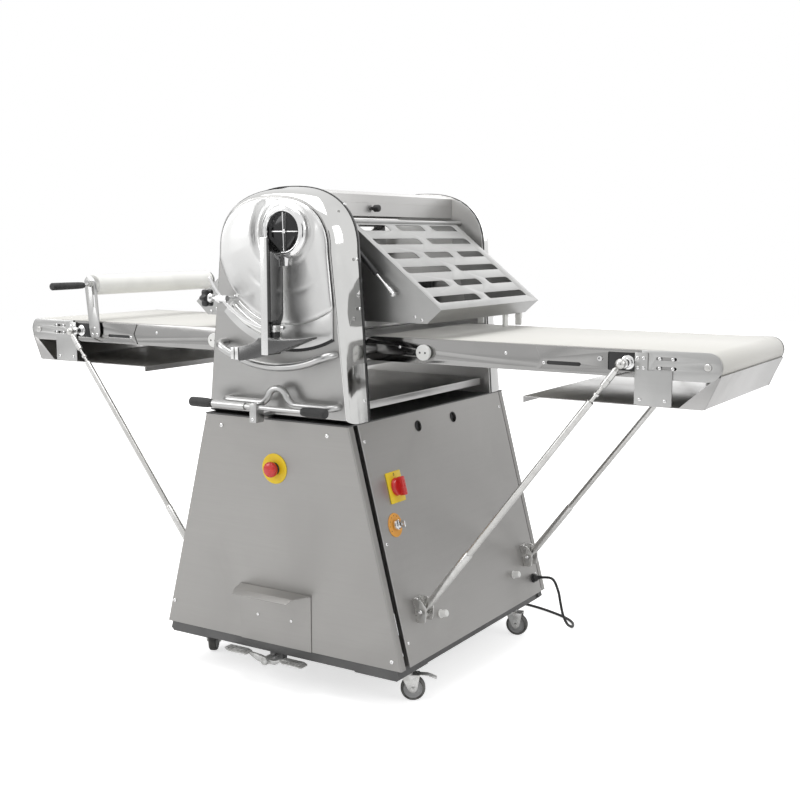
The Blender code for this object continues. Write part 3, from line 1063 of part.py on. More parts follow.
# ---- power cord -----------------------------------------------------------------------------
# Route of the cord from the gland down to the floor and round behind the cabinet.
cord_start = Vector(on_panel(1, GLAND_Y, GLAND_Z, GLAND_LENGTH - 0.001 + GAP)[0])
coil_x, coil_y = COIL_CENTRE
touch = COIL_MEAN + COIL_HALF + CORD_RADIUS + GAP
CORD_ROUTE = [
    cord_start, cord_start + PANEL_LEAN * 0.016, Vector((0.4260, 0.3480, 0.1690)),
    Vector((0.4410, 0.3520, 0.1450)), Vector((0.4475, 0.3590, 0.1080)), Vector((0.4510, 0.3680, 0.0700)),
    Vector((0.4560, 0.3830, 0.0350)), Vector((0.4600, 0.4090, 0.0110)), Vector((0.4560, 0.4400, 0.0046)),
    Vector((0.4380, 0.4720, 0.0043)), Vector((0.4020, 0.5000, 0.0043)), Vector((0.3500, 0.5250, 0.0043)),
    Vector((0.2900, 0.5460, 0.0043)), Vector((0.2250, 0.5590, 0.0043)),
    Vector((coil_x + 0.060, coil_y + touch, 0.0060)), Vector((coil_x - 0.004, coil_y + touch, 0.0085)),
]


def smooth_route(points, spacing):
    """Points at even spacing on a Catmull-Rom curve through the route."""
    padded = [2 * points[0] - points[1], *points, 2 * points[-1] - points[-2]]
    fine = []
    for a, b, c, d in zip(padded, padded[1:], padded[2:], padded[3:]):
        for k in range(12):
            t = k / 12
            fine.append(0.5 * (2 * b + (c - a) * t + (2 * a - 5 * b + 4 * c - d) * t * t
                               + (3 * b - a - 3 * c + d) * t ** 3))
    fine.append(points[-1].copy())
    total = sum((b - a).length for a, b in zip(fine, fine[1:]))
    count = ceil(total / spacing)
    even = [fine[0]]
    walked, target = 0.0, total / count
    for a, b in zip(fine, fine[1:]):
        step = (b - a).length
        while walked + step >= target - 1e-9 and len(even) < count:
            even.append(a.lerp(b, (target - walked) / step))
            target += total / count
        walked += step
    even.append(fine[-1])
    return even


def cord_object(name, points):
    curve = bpy.data.curves.new(name, "CURVE")
    curve.dimensions = "3D"
    curve.bevel_depth = CORD_RADIUS
    curve.bevel_resolution = 2
    curve.use_fill_caps = True
    spline = curve.splines.new("POLY")
    spline.points.add(len(points) - 1)
    for target, point in zip(spline.points, points):
        target.co = (*point, 1.0)
    curve.materials.append(BLACK)
    cord = bpy.data.objects.new(name, curve)
    cord.parent = machine
    bpy.context.scene.collection.objects.link(cord)


cord_object("power_cord", smooth_route(CORD_ROUTE, 0.0115))
coil_floor = 0.0006
make_object("cord_coil", turned_ring((coil_x, coil_y, coil_floor), (0, 0, 1), [
    (0.0, COIL_MEAN - COIL_HALF + 0.002), (0.0, COIL_MEAN + COIL_HALF - 0.002),
    (0.003, COIL_MEAN + COIL_HALF), (2 * COIL_HALF - 0.003, COIL_MEAN + COIL_HALF),
    (2 * COIL_HALF, COIL_MEAN + COIL_HALF - 0.002), (2 * COIL_HALF, COIL_MEAN - COIL_HALF + 0.002),
    (2 * COIL_HALF - 0.003, COIL_MEAN - COIL_HALF), (0.003, COIL_MEAN - COIL_HALF)], 24), BLACK)
# plug lying beside the coil, its cord entry facing the coil
plug_entry = Vector((coil_x - COIL_MEAN - COIL_HALF - 0.0004 - GAP, coil_y - 0.006, 0.0125))
plug = make_object("power_plug", turned(plug_entry, (-1, 0, 0), [
    (0.0, 0.0055), (0.020, 0.0075), (0.022, 0.0100), (0.040, 0.0120), (0.056, 0.0120),
    (0.058, 0.0110)]), BLACK)
for pin_y in (-0.0055, 0.0055):
    join(plug, cylinder(plug_entry + Vector((-0.055, pin_y, 0.0)), (-1, 0, 0), 0.022, 0.0022, 8))
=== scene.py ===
# Finish, fine pieces and studio of the dough sheeter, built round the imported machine.
from math import asin, atan2, ceil, copysign, cos, hypot, pi, radians, sin
import bpy
from mathutils import Matrix, Vector


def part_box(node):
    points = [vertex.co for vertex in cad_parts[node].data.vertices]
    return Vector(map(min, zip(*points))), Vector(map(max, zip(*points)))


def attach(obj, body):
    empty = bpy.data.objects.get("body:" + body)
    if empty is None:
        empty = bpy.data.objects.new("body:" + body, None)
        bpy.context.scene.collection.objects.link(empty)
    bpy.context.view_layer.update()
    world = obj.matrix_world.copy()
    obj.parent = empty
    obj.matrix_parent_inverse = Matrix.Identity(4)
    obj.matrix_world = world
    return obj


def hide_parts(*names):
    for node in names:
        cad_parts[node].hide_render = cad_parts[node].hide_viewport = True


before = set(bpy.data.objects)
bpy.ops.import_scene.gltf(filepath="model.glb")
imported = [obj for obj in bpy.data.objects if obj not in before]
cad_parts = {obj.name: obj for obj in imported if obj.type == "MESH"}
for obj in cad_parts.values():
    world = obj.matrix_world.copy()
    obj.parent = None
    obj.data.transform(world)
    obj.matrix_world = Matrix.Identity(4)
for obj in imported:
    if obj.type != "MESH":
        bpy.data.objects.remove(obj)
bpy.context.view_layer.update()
deckLow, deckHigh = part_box("base_frame")
middleY = (deckLow[1] + deckHigh[1]) / 2  # pieces are modelled about the cabinet's middle, then moved here
bpy.ops.object.select_all(action="DESELECT")
print("frame loaded:", len(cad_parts), "nodes")

# node groups


def newGroup(name, inputs, outputs):
    group = bpy.data.node_groups.new(name, "ShaderNodeTree")
    for label, kind, value in inputs:
        group.interface.new_socket(label, in_out="INPUT", socket_type=kind).default_value = value
    for label in outputs:
        group.interface.new_socket(label, in_out="OUTPUT", socket_type="NodeSocketFloat")
    return group, group.nodes.new("NodeGroupInput"), group.nodes.new("NodeGroupOutput")


def mathNode(tree, operation, first, second):
    node = tree.nodes.new("ShaderNodeMath")
    node.operation = operation
    for socket, value in zip(node.inputs, (first, second)):
        if isinstance(value, (int, float)):
            socket.default_value = value
        else:
            tree.links.new(value, socket)
    return node.outputs[0]


def noiseNode(tree, vector, scale, detail, distortion=0.0):
    node = tree.nodes.new("ShaderNodeTexNoise")
    tree.links.new(vector, node.inputs["Vector"])
    if isinstance(scale, (int, float)):
        node.inputs["Scale"].default_value = scale
    else:
        tree.links.new(scale, node.inputs["Scale"])
    node.inputs["Detail"].default_value = detail
    node.inputs["Distortion"].default_value = distortion
    return node.outputs["Fac"]


def rampNode(tree, value, low, high):  # 0 below low, 1 above high
    node = tree.nodes.new("ShaderNodeMapRange")
    node.interpolation_type = "SMOOTHSTEP"
    tree.links.new(value, node.inputs["Value"])
    node.inputs["From Min"].default_value = low
    node.inputs["From Max"].default_value = high
    return node.outputs["Result"]


def makeGrain():  # fine lines along the direction in which Stretch is small
    tree, source, sink = newGroup("brushedGrain", [
        ("Stretch", "NodeSocketVector", (60.0, 60.0, 1.0)), ("Scale", "NodeSocketFloat", 20.0)],
                                  ["Tone", "Height"])
    place = tree.nodes.new("ShaderNodeTexCoord")
    stretch = tree.nodes.new("ShaderNodeVectorMath")
    stretch.operation = "MULTIPLY"
    tree.links.new(place.outputs["Object"], stretch.inputs[0])
    tree.links.new(source.outputs["Stretch"], stretch.inputs[1])
    lines = noiseNode(tree, stretch.outputs[0], source.outputs["Scale"], 2.0)
    bands = noiseNode(tree, stretch.outputs[0], mathNode(tree, "MULTIPLY",
                                                         source.outputs["Scale"], 0.11), 3.0)
    tree.links.new(mathNode(tree, "MULTIPLY", mathNode(tree, "ADD", lines, bands), 0.5),
                   sink.inputs["Tone"])
    tree.links.new(lines, sink.inputs["Height"])
    return tree


def makeSmudge():  # wiped and handled patches
    tree, source, sink = newGroup("wipeMarks", [("Scale", "NodeSocketFloat", 5.0)], ["Mask"])
    place = tree.nodes.new("ShaderNodeTexCoord")
    cloud = noiseNode(tree, place.outputs["Object"], source.outputs["Scale"], 5.0, 0.8)
    tree.links.new(rampNode(tree, cloud, 0.42, 0.7), sink.inputs["Mask"])
    return tree


def makeWear():  # rubbed edges, broken up
    tree, source, sink = newGroup("edgeWear", [("Scale", "NodeSocketFloat", 60.0)], ["Mask"])
    shape = tree.nodes.new("ShaderNodeNewGeometry")
    place = tree.nodes.new("ShaderNodeTexCoord")
    edge = rampNode(tree, shape.outputs["Pointiness"], 0.505, 0.56)
    broken = rampNode(tree, noiseNode(tree, place.outputs["Object"], source.outputs["Scale"],
                                      3.0), 0.35, 0.6)
    tree.links.new(mathNode(tree, "MULTIPLY", edge, broken), sink.inputs["Mask"])
    return tree


def makeWave():  # slow waviness of rolled sheet
    tree, source, sink = newGroup("sheetWave", [("Scale", "NodeSocketFloat", 6.0)], ["Height"])
    place = tree.nodes.new("ShaderNodeTexCoord")
    tree.links.new(noiseNode(tree, place.outputs["Object"], source.outputs["Scale"], 0.0),
                   sink.inputs["Height"])
    return tree


groups = {"grain": makeGrain(), "smudge": makeSmudge(), "wear": makeWear(), "wave": makeWave()}


# materials
def groupNode(tree, kind, **values):
    node = tree.nodes.new("ShaderNodeGroup")
    node.node_tree = groups[kind]
    for label, value in values.items():
        node.inputs[label].default_value = value
    return node


def blendColor(tree, mask, first, second):
    node = tree.nodes.new("ShaderNodeMix")
    node.data_type = "RGBA"
    tree.links.new(mask, node.inputs["Factor"])
    for socket, value in ((node.inputs["A"], first), (node.inputs["B"], second)):
        if isinstance(value, tuple):
            socket.default_value = (*value, 1.0)
        else:
            tree.links.new(value, socket)
    return node.outputs["Result"]


def shade(color, factor):
    return tuple(min(1.0, part * factor) for part in color)


def bumpNode(tree, height, distance, before=None):
    node = tree.nodes.new("ShaderNodeBump")
    node.inputs["Distance"].default_value = distance
    tree.links.new(height, node.inputs["Height"])
    if before is not None:
        tree.links.new(before, node.inputs["Normal"])
    return node.outputs["Normal"]


def newMaterial(name, color, rough, metal=0.0, coat=0.0, sheen=0.0, specular=0.5, stretch=(9.0, 9.0, 9.0),
                scale=20.0, tone=0.05, roughSpread=0.05, bump=0.0, smudge=0.0, smudgeScale=5.0,
                wave=0.0, waveScale=6.0, wear=0.0, wearColor=(0.8, 0.8, 0.8)):
    material = bpy.data.materials.new(name)
    material.use_nodes = True
    tree = material.node_tree
    shader = tree.nodes["Principled BSDF"]
    shader.inputs["Metallic"].default_value = metal
    shader.inputs["Coat Weight"].default_value = coat
    shader.inputs["Sheen Weight"].default_value = sheen
    shader.inputs["Specular IOR Level"].default_value = specular
    grain = groupNode(tree, "grain", Stretch=stretch, Scale=scale)
    marks = groupNode(tree, "smudge", Scale=smudgeScale)
    surface = blendColor(tree, grain.outputs["Tone"], shade(color, 1 - 2 * tone),
                         shade(color, 1 + 2 * tone))
    if smudge:
        dulled = mathNode(tree, "MULTIPLY", marks.outputs["Mask"], smudge)
        surface = blendColor(tree, dulled, surface, shade(color, 0.86))
    if wear:
        rubbed = mathNode(tree, "MULTIPLY", groupNode(tree, "wear").outputs["Mask"], wear)
        surface = blendColor(tree, rubbed, surface, wearColor)
    tree.links.new(surface, shader.inputs["Base Color"])
    spread = mathNode(tree, "MULTIPLY_ADD", grain.outputs["Tone"], 2 * roughSpread)
    spread.node.inputs[2].default_value = rough - roughSpread
    if smudge:
        spread = mathNode(tree, "ADD", spread, mathNode(tree, "MULTIPLY", marks.outputs["Mask"],
                                                        0.12 * smudge))
    tree.links.new(spread, shader.inputs["Roughness"])
    normal = None
    if wave:
        normal = bumpNode(tree, groupNode(tree, "wave", Scale=waveScale).outputs["Height"], wave)
    if bump:
        normal = bumpNode(tree, grain.outputs["Height"], bump, normal)
    if normal is not None:
        tree.links.new(normal, shader.inputs["Normal"])
    return material


lengthwise = (1.2, 60.0, 60.0)  # grain along the tables
crosswise = (60.0, 1.2, 60.0)
looks = {
    # front and side sheets are the same stainless in two copies; their different base colours are painted
    # light and shade for how each face is lit
    "panelFront": dict(color=(0.345, 0.338, 0.328), rough=0.4, metal=1.0, stretch=lengthwise, scale=22.0,
                       tone=0.035, bump=0.00002, smudge=0.5, smudgeScale=2.2, wave=0.001, waveScale=2.0),
    "panelSide": dict(color=(0.41, 0.402, 0.392), rough=0.4, metal=1.0, stretch=crosswise, scale=22.0,
                      tone=0.035, bump=0.00002, smudge=0.5, smudgeScale=2.2, wave=0.001, waveScale=2.0),
    "coverSatin": dict(color=(0.385, 0.382, 0.376), rough=0.34, metal=1.0, stretch=lengthwise, scale=24.0,
                       tone=0.03, bump=0.00002, smudge=0.4, smudgeScale=5.0),
    "shell": dict(color=(0.64, 0.64, 0.635), rough=0.3, metal=1.0, tone=0.012, roughSpread=0.03,
                  smudge=0.5, smudgeScale=7.0, wave=0.0012, waveScale=7.0),
    "mirror": dict(color=(0.66, 0.66, 0.65), rough=0.07, metal=1.0, tone=0.01, roughSpread=0.02,
                   smudge=0.35, smudgeScale=9.0, wave=0.0022, waveScale=14.0),
    "railMirror": dict(color=(0.34, 0.337, 0.332), rough=0.12, metal=1.0, stretch=lengthwise, scale=20.0,
                       tone=0.03, roughSpread=0.04, smudge=0.5, smudgeScale=6.0, wave=0.0008,
                       waveScale=9.0),
    "chrome": dict(color=(0.8, 0.8, 0.8), rough=0.06, metal=1.0, tone=0.01, roughSpread=0.02,
                   smudge=0.3, smudgeScale=22.0),
    "darkMirror": dict(color=(0.2, 0.2, 0.2), rough=0.12, metal=1.0, tone=0.03, roughSpread=0.04,
                       smudge=0.6, smudgeScale=18.0, bump=0.00003),
    "sectorSteel": dict(color=(0.58, 0.58, 0.575), rough=0.34, metal=1.0, stretch=lengthwise, scale=24.0,
                        tone=0.03, bump=0.00002, smudge=0.5, smudgeScale=9.0),
    # lever steel in two copies: this lighter one is painted light, for the faces that catch the lamps
    "leverLitSteel": dict(color=(0.7, 0.7, 0.695), rough=0.24, metal=1.0, stretch=crosswise, scale=24.0,
                       tone=0.03, bump=0.00002, smudge=0.4, smudgeScale=14.0),
    # darker copy of the same lever steel: painted shade for the arm's sides and underside and the foot's
    # sides
    "leverShadedSteel": dict(color=(0.115, 0.115, 0.115), rough=0.22, metal=1.0, tone=0.03, roughSpread=0.05,
                      smudge=0.6, smudgeScale=14.0, bump=0.00003),
    "discGloss": dict(color=(0.03, 0.03, 0.031), rough=0.1, metal=0.6, tone=0.02, roughSpread=0.03,
                      smudge=0.5, smudgeScale=22.0),
    "satinSteel": dict(color=(0.46, 0.46, 0.455), rough=0.3, metal=1.0, stretch=lengthwise, scale=22.0,
                       tone=0.03, bump=0.00002, smudge=0.4, smudgeScale=8.0),
    "guardSteel": dict(color=(0.4, 0.4, 0.395), rough=0.46, metal=1.0, stretch=crosswise, scale=22.0,
                       tone=0.03, bump=0.00003, smudge=0.4, smudgeScale=5.0),
    "guardWall": dict(color=(0.4, 0.4, 0.395), rough=0.42, metal=1.0, stretch=lengthwise, scale=22.0,
                      tone=0.03, bump=0.00003, smudge=0.4, smudgeScale=5.0),
    "beamSteel": dict(color=(0.62, 0.615, 0.605), rough=0.38, metal=1.0, stretch=crosswise, scale=18.0,
                      tone=0.02, smudge=0.5, smudgeScale=5.0, wave=0.001, waveScale=6.0),
    "panSteel": dict(color=(0.46, 0.455, 0.45), rough=0.3, metal=1.0, stretch=lengthwise, scale=20.0,
                     tone=0.04, bump=0.00002, smudge=0.6, smudgeScale=5.0),
    "zinc": dict(color=(0.56, 0.555, 0.54), rough=0.26, metal=1.0, scale=60.0, tone=0.06, bump=0.00004,
                 smudge=0.6, smudgeScale=20.0, wear=0.4),
    "castGrey": dict(color=(0.42, 0.42, 0.41), rough=0.48, metal=0.9, scale=90.0, tone=0.09, bump=0.00025,
                     smudge=0.8, smudgeScale=16.0, wear=0.6),
    "frameSteel": dict(color=(0.13, 0.13, 0.13), rough=0.45, metal=0.9, scale=30.0, tone=0.08, bump=0.0001,
                       smudge=0.8, smudgeScale=6.0),
    "nylon": dict(color=(0.86, 0.86, 0.84), rough=0.38, scale=40.0, tone=0.015, bump=0.00004,
                  smudge=0.3, smudgeScale=20.0),
    "pinTube": dict(color=(0.84, 0.84, 0.81), rough=0.33, stretch=crosswise, scale=14.0,
                    tone=0.02, coat=0.2,
                    smudge=0.4, smudgeScale=9.0, bump=0.00003),
    # black plastic, also used as painted shade on the sector rack, the slot backs, the disc holes and the
    # lever foot's gap pads
    "blackPlasticAndShade": dict(color=(0.018, 0.018, 0.019), rough=0.34, scale=140.0, tone=0.08, bump=0.00006,
                         smudge=0.8, smudgeScale=30.0),
    "blackRubber": dict(color=(0.022, 0.022, 0.022), rough=0.62, scale=160.0, tone=0.1, bump=0.00012,
                        smudge=0.8, smudgeScale=24.0, sheen=0.1),
    "tread": dict(color=(0.085, 0.083, 0.08), rough=0.72, scale=120.0, tone=0.1, bump=0.00015,
                  smudge=0.9, smudgeScale=30.0, wear=0.5, wearColor=(0.25, 0.25, 0.24)),
    "wheelCore": dict(color=(0.4, 0.4, 0.4), rough=0.5, scale=100.0, tone=0.04, bump=0.0001),
    "redPlastic": dict(color=(0.62, 0.022, 0.02), rough=0.26, scale=60.0, tone=0.03, coat=0.35,
                       smudge=0.4, smudgeScale=30.0, bump=0.00003),
    "yellowPlate": dict(color=(0.88, 0.63, 0.02), rough=0.36, scale=50.0, tone=0.02, smudge=0.3,
                        smudgeScale=25.0, bump=0.00002),
    "orangePlate": dict(color=(0.8, 0.36, 0.05), rough=0.38, scale=50.0, tone=0.03, smudge=0.4,
                        smudgeScale=25.0, bump=0.00002),
    "motorPaint": dict(color=(0.1, 0.17, 0.26), rough=0.42, scale=80.0, tone=0.05, bump=0.00015,
                       smudge=0.8, smudgeScale=12.0, wear=0.4, wearColor=(0.4, 0.4, 0.4)),
    "cordRubber": dict(color=(0.016, 0.016, 0.017), rough=0.5, scale=90.0, tone=0.08, bump=0.00008,
                       smudge=0.6, smudgeScale=18.0),
}
materials = {name: newMaterial(name, **values) for name, values in looks.items()}


def makeBeltCloth():  # coated canvas: fine weave that follows the belt, flour rubbed into it
    material = bpy.data.materials.new("beltCloth")
    material.use_nodes = True
    tree = material.node_tree
    shader = tree.nodes["Principled BSDF"]
    shader.inputs["Sheen Weight"].default_value = 0.25
    shader.inputs["Specular IOR Level"].default_value = 0.3
    spot = tree.nodes.new("ShaderNodeUVMap")
    threads = []
    for direction in ("X", "Y"):
        wave = tree.nodes.new("ShaderNodeTexWave")
        wave.bands_direction = direction
        wave.inputs["Scale"].default_value = 210.0
        wave.inputs["Distortion"].default_value = 0.6
        tree.links.new(spot.outputs["UV"], wave.inputs["Vector"])
        threads.append(wave.outputs["Fac"])
    weave = mathNode(tree, "MULTIPLY", *threads)
    flour = rampNode(tree, noiseNode(tree, spot.outputs["UV"], 9.0, 6.0, 0.5), 0.35, 0.75)
    streak = noiseNode(tree, spot.outputs["UV"], 45.0, 4.0)
    ground = blendColor(tree, weave, (0.62, 0.61, 0.575), (0.76, 0.755, 0.72))
    dusted = blendColor(tree, mathNode(tree, "MULTIPLY", flour, 0.5), ground, (0.8, 0.8, 0.785))
    marked = blendColor(tree, mathNode(tree, "MULTIPLY", streak, 0.25), dusted, (0.6, 0.585, 0.54))
    tree.links.new(marked, shader.inputs["Base Color"])
    tree.links.new(mathNode(tree, "MULTIPLY_ADD", flour, 0.15), shader.inputs["Roughness"])
    shader.inputs["Roughness"].links[0].from_node.inputs[2].default_value = 0.66
    tree.links.new(bumpNode(tree, weave, 0.0002, bumpNode(tree, streak, 0.0004)), shader.inputs["Normal"])
    return material


materials["beltCloth"] = makeBeltCloth()
print("materials:", len(materials))


# modelling helpers
def only(obj):
    bpy.ops.object.select_all(action="DESELECT")
    obj.select_set(True)
    bpy.context.view_layer.objects.active = obj


def applyPlace(obj, origin=(0.0, 0.0, 0.0), across=(1.0, 0.0, 0.0), up=(0.0, 1.0, 0.0)):
    turned = Matrix((Vector(across), Vector(up), Vector(across).cross(up))).transposed().to_4x4()
    obj.matrix_world = Matrix.Translation(origin) @ turned
    only(obj)
    bpy.ops.object.transform_apply(location=True, rotation=True, scale=True)
    return obj


def cleanMesh(obj, distance=0.00001):
    only(obj)
    bpy.ops.object.mode_set(mode="EDIT")
    bpy.ops.mesh.select_all(action="SELECT")
    bpy.ops.mesh.remove_doubles(threshold=distance)
    bpy.ops.mesh.normals_make_consistent(inside=False)
    bpy.ops.object.mode_set(mode="OBJECT")
    return obj


def applyModifier(obj, kind, **values):
    modifier = obj.modifiers.new(kind.lower(), kind)
    for key, value in values.items():
        setattr(modifier, key, value)
    only(obj)
    bpy.ops.object.modifier_apply(modifier=modifier.name)
    return obj


def roundEdges(obj, width, segments=2, angle=30):
    return applyModifier(obj, "BEVEL", width=width, segments=segments, limit_method="ANGLE",
                         angle_limit=radians(angle), harden_normals=False)


def thicken(obj, thick):  # wall inside the skin
    return cleanMesh(applyModifier(obj, "SOLIDIFY", thickness=thick, offset=-1.0, use_even_offset=True))


def drawn(name, loops, closed, flat):
    curve = bpy.data.curves.new(name, "CURVE")
    curve.dimensions = "2D" if flat else "3D"
    for loop in loops:
        spline = curve.splines.new("POLY")
        spline.points.add(len(loop) - 1)
        for target, point in zip(spline.points, loop):
            target.co = (*point, 0.0, 1.0) if flat else (*point, 1.0)
        spline.use_cyclic_u = closed
    obj = bpy.data.objects.new(name, curve)
    bpy.context.scene.collection.objects.link(obj)
    return obj


def toMesh(obj):
    only(obj)
    bpy.ops.object.convert(target="MESH")
    return bpy.context.view_layer.objects.active


def turnsLeft(loop):
    return sum(a[0] * b[1] - b[0] * a[1] for a, b in zip(loop, loop[1:] + loop[:1])) > 0


def plate(name, loops, thick, edge, origin=(0, 0, 0), across=(1, 0, 0), up=(0, 0, 1), steps=1):
    # first loop is the outline, the others are holes; it rises from the origin along across x up
    loops = [loop if turnsLeft(loop) == (k == 0) else loop[::-1] for k, loop in enumerate(loops)]
    obj = drawn(name, loops, True, True)
    obj.data.fill_mode = "BOTH"
    obj.data.extrude = thick / 2 - edge
    obj.data.bevel_depth = edge
    obj.data.bevel_resolution = steps
    obj.data.offset = -edge
    obj = cleanMesh(toMesh(obj), 0.000001)
    out = Vector(across).cross(up)
    return applyPlace(obj, Vector(origin) + out * thick / 2, across, up)


def plateY(name, loops, yFront, yBack, edge=0.0004):  # outlines in x and z
    return plate(name, loops, yBack - yFront, edge, (0, yBack, 0))


def plateX(name, loops, xLow, xHigh, edge=0.0004):  # outlines in y and z
    return plate(name, loops, xHigh - xLow, edge, (xLow, 0, 0), (0, 1, 0), (0, 0, 1))


def plateZ(name, loops, zLow, zHigh, edge=0.0004):  # outlines in x and y
    return plate(name, loops, zHigh - zLow, edge, (0, 0, zLow), (1, 0, 0), (0, 1, 0))


def sideways(direction):  # two directions square to this one
    out = Vector(direction).normalized()
    helper = Vector((0, 0, 1)) if abs(out.z) < 0.9 else Vector((0, 1, 0))
    across = helper.cross(out).normalized()
    return across, out.cross(across)


def turned(name, profile, start, direction, steps=32, ring=False):
    # profile lists (distance, radius) along the direction
    line = [(radius, 0.0, distance) for distance, radius in profile]
    if not ring and line[0][0] > 0:
        line.insert(0, (0.0, 0.0, line[0][2]))
    if not ring and line[-1][0] > 0:
        line.append((0.0, 0.0, line[-1][2]))
    obj = toMesh(drawn(name, [line], ring, False))
    only(obj)
    bpy.ops.object.mode_set(mode="EDIT")
    bpy.ops.mesh.select_all(action="SELECT")
    bpy.ops.mesh.spin(steps=steps, angle=2 * pi, center=(0, 0, 0), axis=(0, 0, 1))
    bpy.ops.object.mode_set(mode="OBJECT")
    return applyPlace(cleanMesh(obj), start, *sideways(direction))


def selectRings(obj, chosen):
    bpy.ops.object.mode_set(mode="EDIT")
    bpy.ops.mesh.select_mode(type="VERT")
    bpy.ops.mesh.select_all(action="DESELECT")
    bpy.ops.object.mode_set(mode="OBJECT")
    for vert in obj.data.vertices:
        vert.select = vert.index in chosen
    for line in obj.data.edges:
        line.select = all(index in chosen for index in line.vertices)
    bpy.ops.object.mode_set(mode="EDIT")


def ringStack(name, rings, ends="capped"):  # skin over rings with equal counts
    count = len(rings[0])
    bpy.ops.object.select_all(action="DESELECT")
    bpy.ops.mesh.primitive_circle_add(vertices=count, radius=1.0, location=(0, 0, 0))
    obj = bpy.context.active_object
    obj.name = name
    bpy.ops.object.mode_set(mode="EDIT")
    for _ in rings[1:]:
        bpy.ops.mesh.extrude_region_move(TRANSFORM_OT_translate={"value": (0, 0, 1)})
    bpy.ops.object.mode_set(mode="OBJECT")
    step, last = 2 * pi / count, len(rings) - 1
    firstRing, lastRing = set(), set()
    for vert in obj.data.vertices:
        level = round(vert.co.z)
        if level == 0:
            firstRing.add(vert.index)
        if level == last:
            lastRing.add(vert.index)
        vert.co = rings[level][round((atan2(vert.co.y, vert.co.x) - pi / 2) / step) % count]
    if ends == "capped":
        for chosen in (firstRing, lastRing):
            selectRings(obj, chosen)
            bpy.ops.mesh.edge_face_add()
            bpy.ops.object.mode_set(mode="OBJECT")
    elif ends == "joined":
        selectRings(obj, firstRing | lastRing)
        bpy.ops.mesh.bridge_edge_loops()
        bpy.ops.object.mode_set(mode="OBJECT")
    elif ends == "lastCapped":
        selectRings(obj, lastRing)
        bpy.ops.mesh.edge_face_add()
        bpy.ops.object.mode_set(mode="OBJECT")
    return cleanMesh(obj)


def block(name, low, high, edge=0.0006, segments=2):
    middle = [(a + b) / 2 for a, b in zip(low, high)]
    size = [abs(b - a) for a, b in zip(low, high)]
    bpy.ops.object.select_all(action="DESELECT")
    bpy.ops.mesh.primitive_cube_add(size=1.0, location=middle, scale=size)
    obj = bpy.context.active_object
    obj.name = name
    bpy.ops.object.transform_apply(location=True, rotation=True, scale=True)
    bpy.ops.object.mode_set(mode="EDIT")
    bpy.ops.mesh.select_all(action="SELECT")
    bpy.ops.mesh.bevel(offset=edge, segments=segments, affect="EDGES")
    bpy.ops.object.mode_set(mode="OBJECT")
    return obj


def tube(name, points, radius, resolution=5, closed=False):
    obj = drawn(name, [points], closed, False)
    obj.data.bevel_depth = radius
    obj.data.bevel_resolution = resolution
    obj.data.use_fill_caps = True
    return cleanMesh(toMesh(obj))


def joined(name, parts):
    bpy.ops.object.select_all(action="DESELECT")
    for part in parts:
        part.select_set(True)
    bpy.context.view_layer.objects.active = parts[0]
    bpy.ops.object.join()
    obj = bpy.context.view_layer.objects.active
    obj.name = name
    return obj


def paint(obj, look, test=None):  # test(centre, normal) picks the faces
    if test is None:
        obj.data.materials.clear()
        obj.data.materials.append(materials[look])
        return obj
    obj.data.materials.append(materials[look])
    index = len(obj.data.materials) - 1
    for face in obj.data.polygons:
        if test(face.center, face.normal):
            face.material_index = index
    return obj


def copied(obj, origin, direction):
    twin = obj.copy()
    twin.data = obj.data.copy()
    bpy.context.scene.collection.objects.link(twin)
    return applyPlace(twin, origin, *sideways(direction))


def finishPiece(obj, name, body, stands=(), smooth=35):
    obj.name = name
    obj.data.name = name
    only(obj)
    bpy.ops.object.shade_smooth_by_angle(angle=radians(smooth))
    obj.location.y = middleY
    bpy.ops.object.transform_apply(location=True, rotation=True, scale=True)
    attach(obj, body)
    if stands:
        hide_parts(*stands)
    return obj


def arc(centreX, centreY, radius, start, end, steps):
    turns = [radians(start + (end - start) * k / steps) for k in range(steps + 1)]
    return [(centreX + radius * cos(turn), centreY + radius * sin(turn)) for turn in turns]


def circle(centreX, centreY, radius, steps=32):
    return arc(centreX, centreY, radius, 0, 360, steps)[:-1]


def band(centreX, centreY, inner, outer, start, end, steps):
    return arc(centreX, centreY, inner, start, end, steps) + arc(centreX, centreY, outer, end, start, steps)


def rounded(corners, radius, steps=4):  # outline with its corners rounded; radius may be a list
    points = []
    radii = radius if isinstance(radius, (list, tuple)) else [radius] * len(corners)
    for k, corner in enumerate(corners):
        here = Vector(corner)
        before = (Vector(corners[k - 1]) - here)
        after = (Vector(corners[(k + 1) % len(corners)]) - here)
        reach = min(radii[k], before.length * 0.49, after.length * 0.49)
        if reach < 1e-6:
            points.append(tuple(here))
            continue
        a, b = here + before.normalized() * reach, here + after.normalized() * reach
        for step in range(steps + 1):
            t = step / steps
            points.append(tuple(a * (1 - t) ** 2 + here * 2 * t * (1 - t) + b * t * t))
    return points


def slotLoop(centreX, centreY, length, width, lean=0.0, steps=8):  # long hole with round ends
    half = (length - width) / 2
    loop = arc(half, 0, width / 2, -90, 90, steps) + arc(-half, 0, width / 2, 90, 270, steps)
    turn = radians(lean)
    return [(centreX + x * cos(turn) - y * sin(turn), centreY + x * sin(turn) + y * cos(turn))
            for x, y in loop]


def mirrored(side, points):
    return [(side * x, z) for x, z in points]


def hexReach(turn):  # distance to the flat of a hexagon of unit half width
    return 1 / cos((turn + pi / 6) % (pi / 3) - pi / 6)


def makeScrew(name, head, height, socket, flat=False):  # button head with a hexagon socket
    turns = [2 * pi * k / 24 for k in range(24)]
    profile = [(head, 0.0), (head, height * 0.25), (head * 0.86, height * 0.75), (head * 0.6, height)]
    if flat:
        profile = [(head, 0.0), (head, height * 0.8), (head * 0.93, height)]
    rings = [[(radius * cos(t), radius * sin(t), z) for t in turns] for radius, z in profile]
    rings += [[(socket * hexReach(t) * cos(t), socket * hexReach(t) * sin(t), z) for t in turns]
              for z in (height, height * 0.35)]
    return ringStack(name, rings)


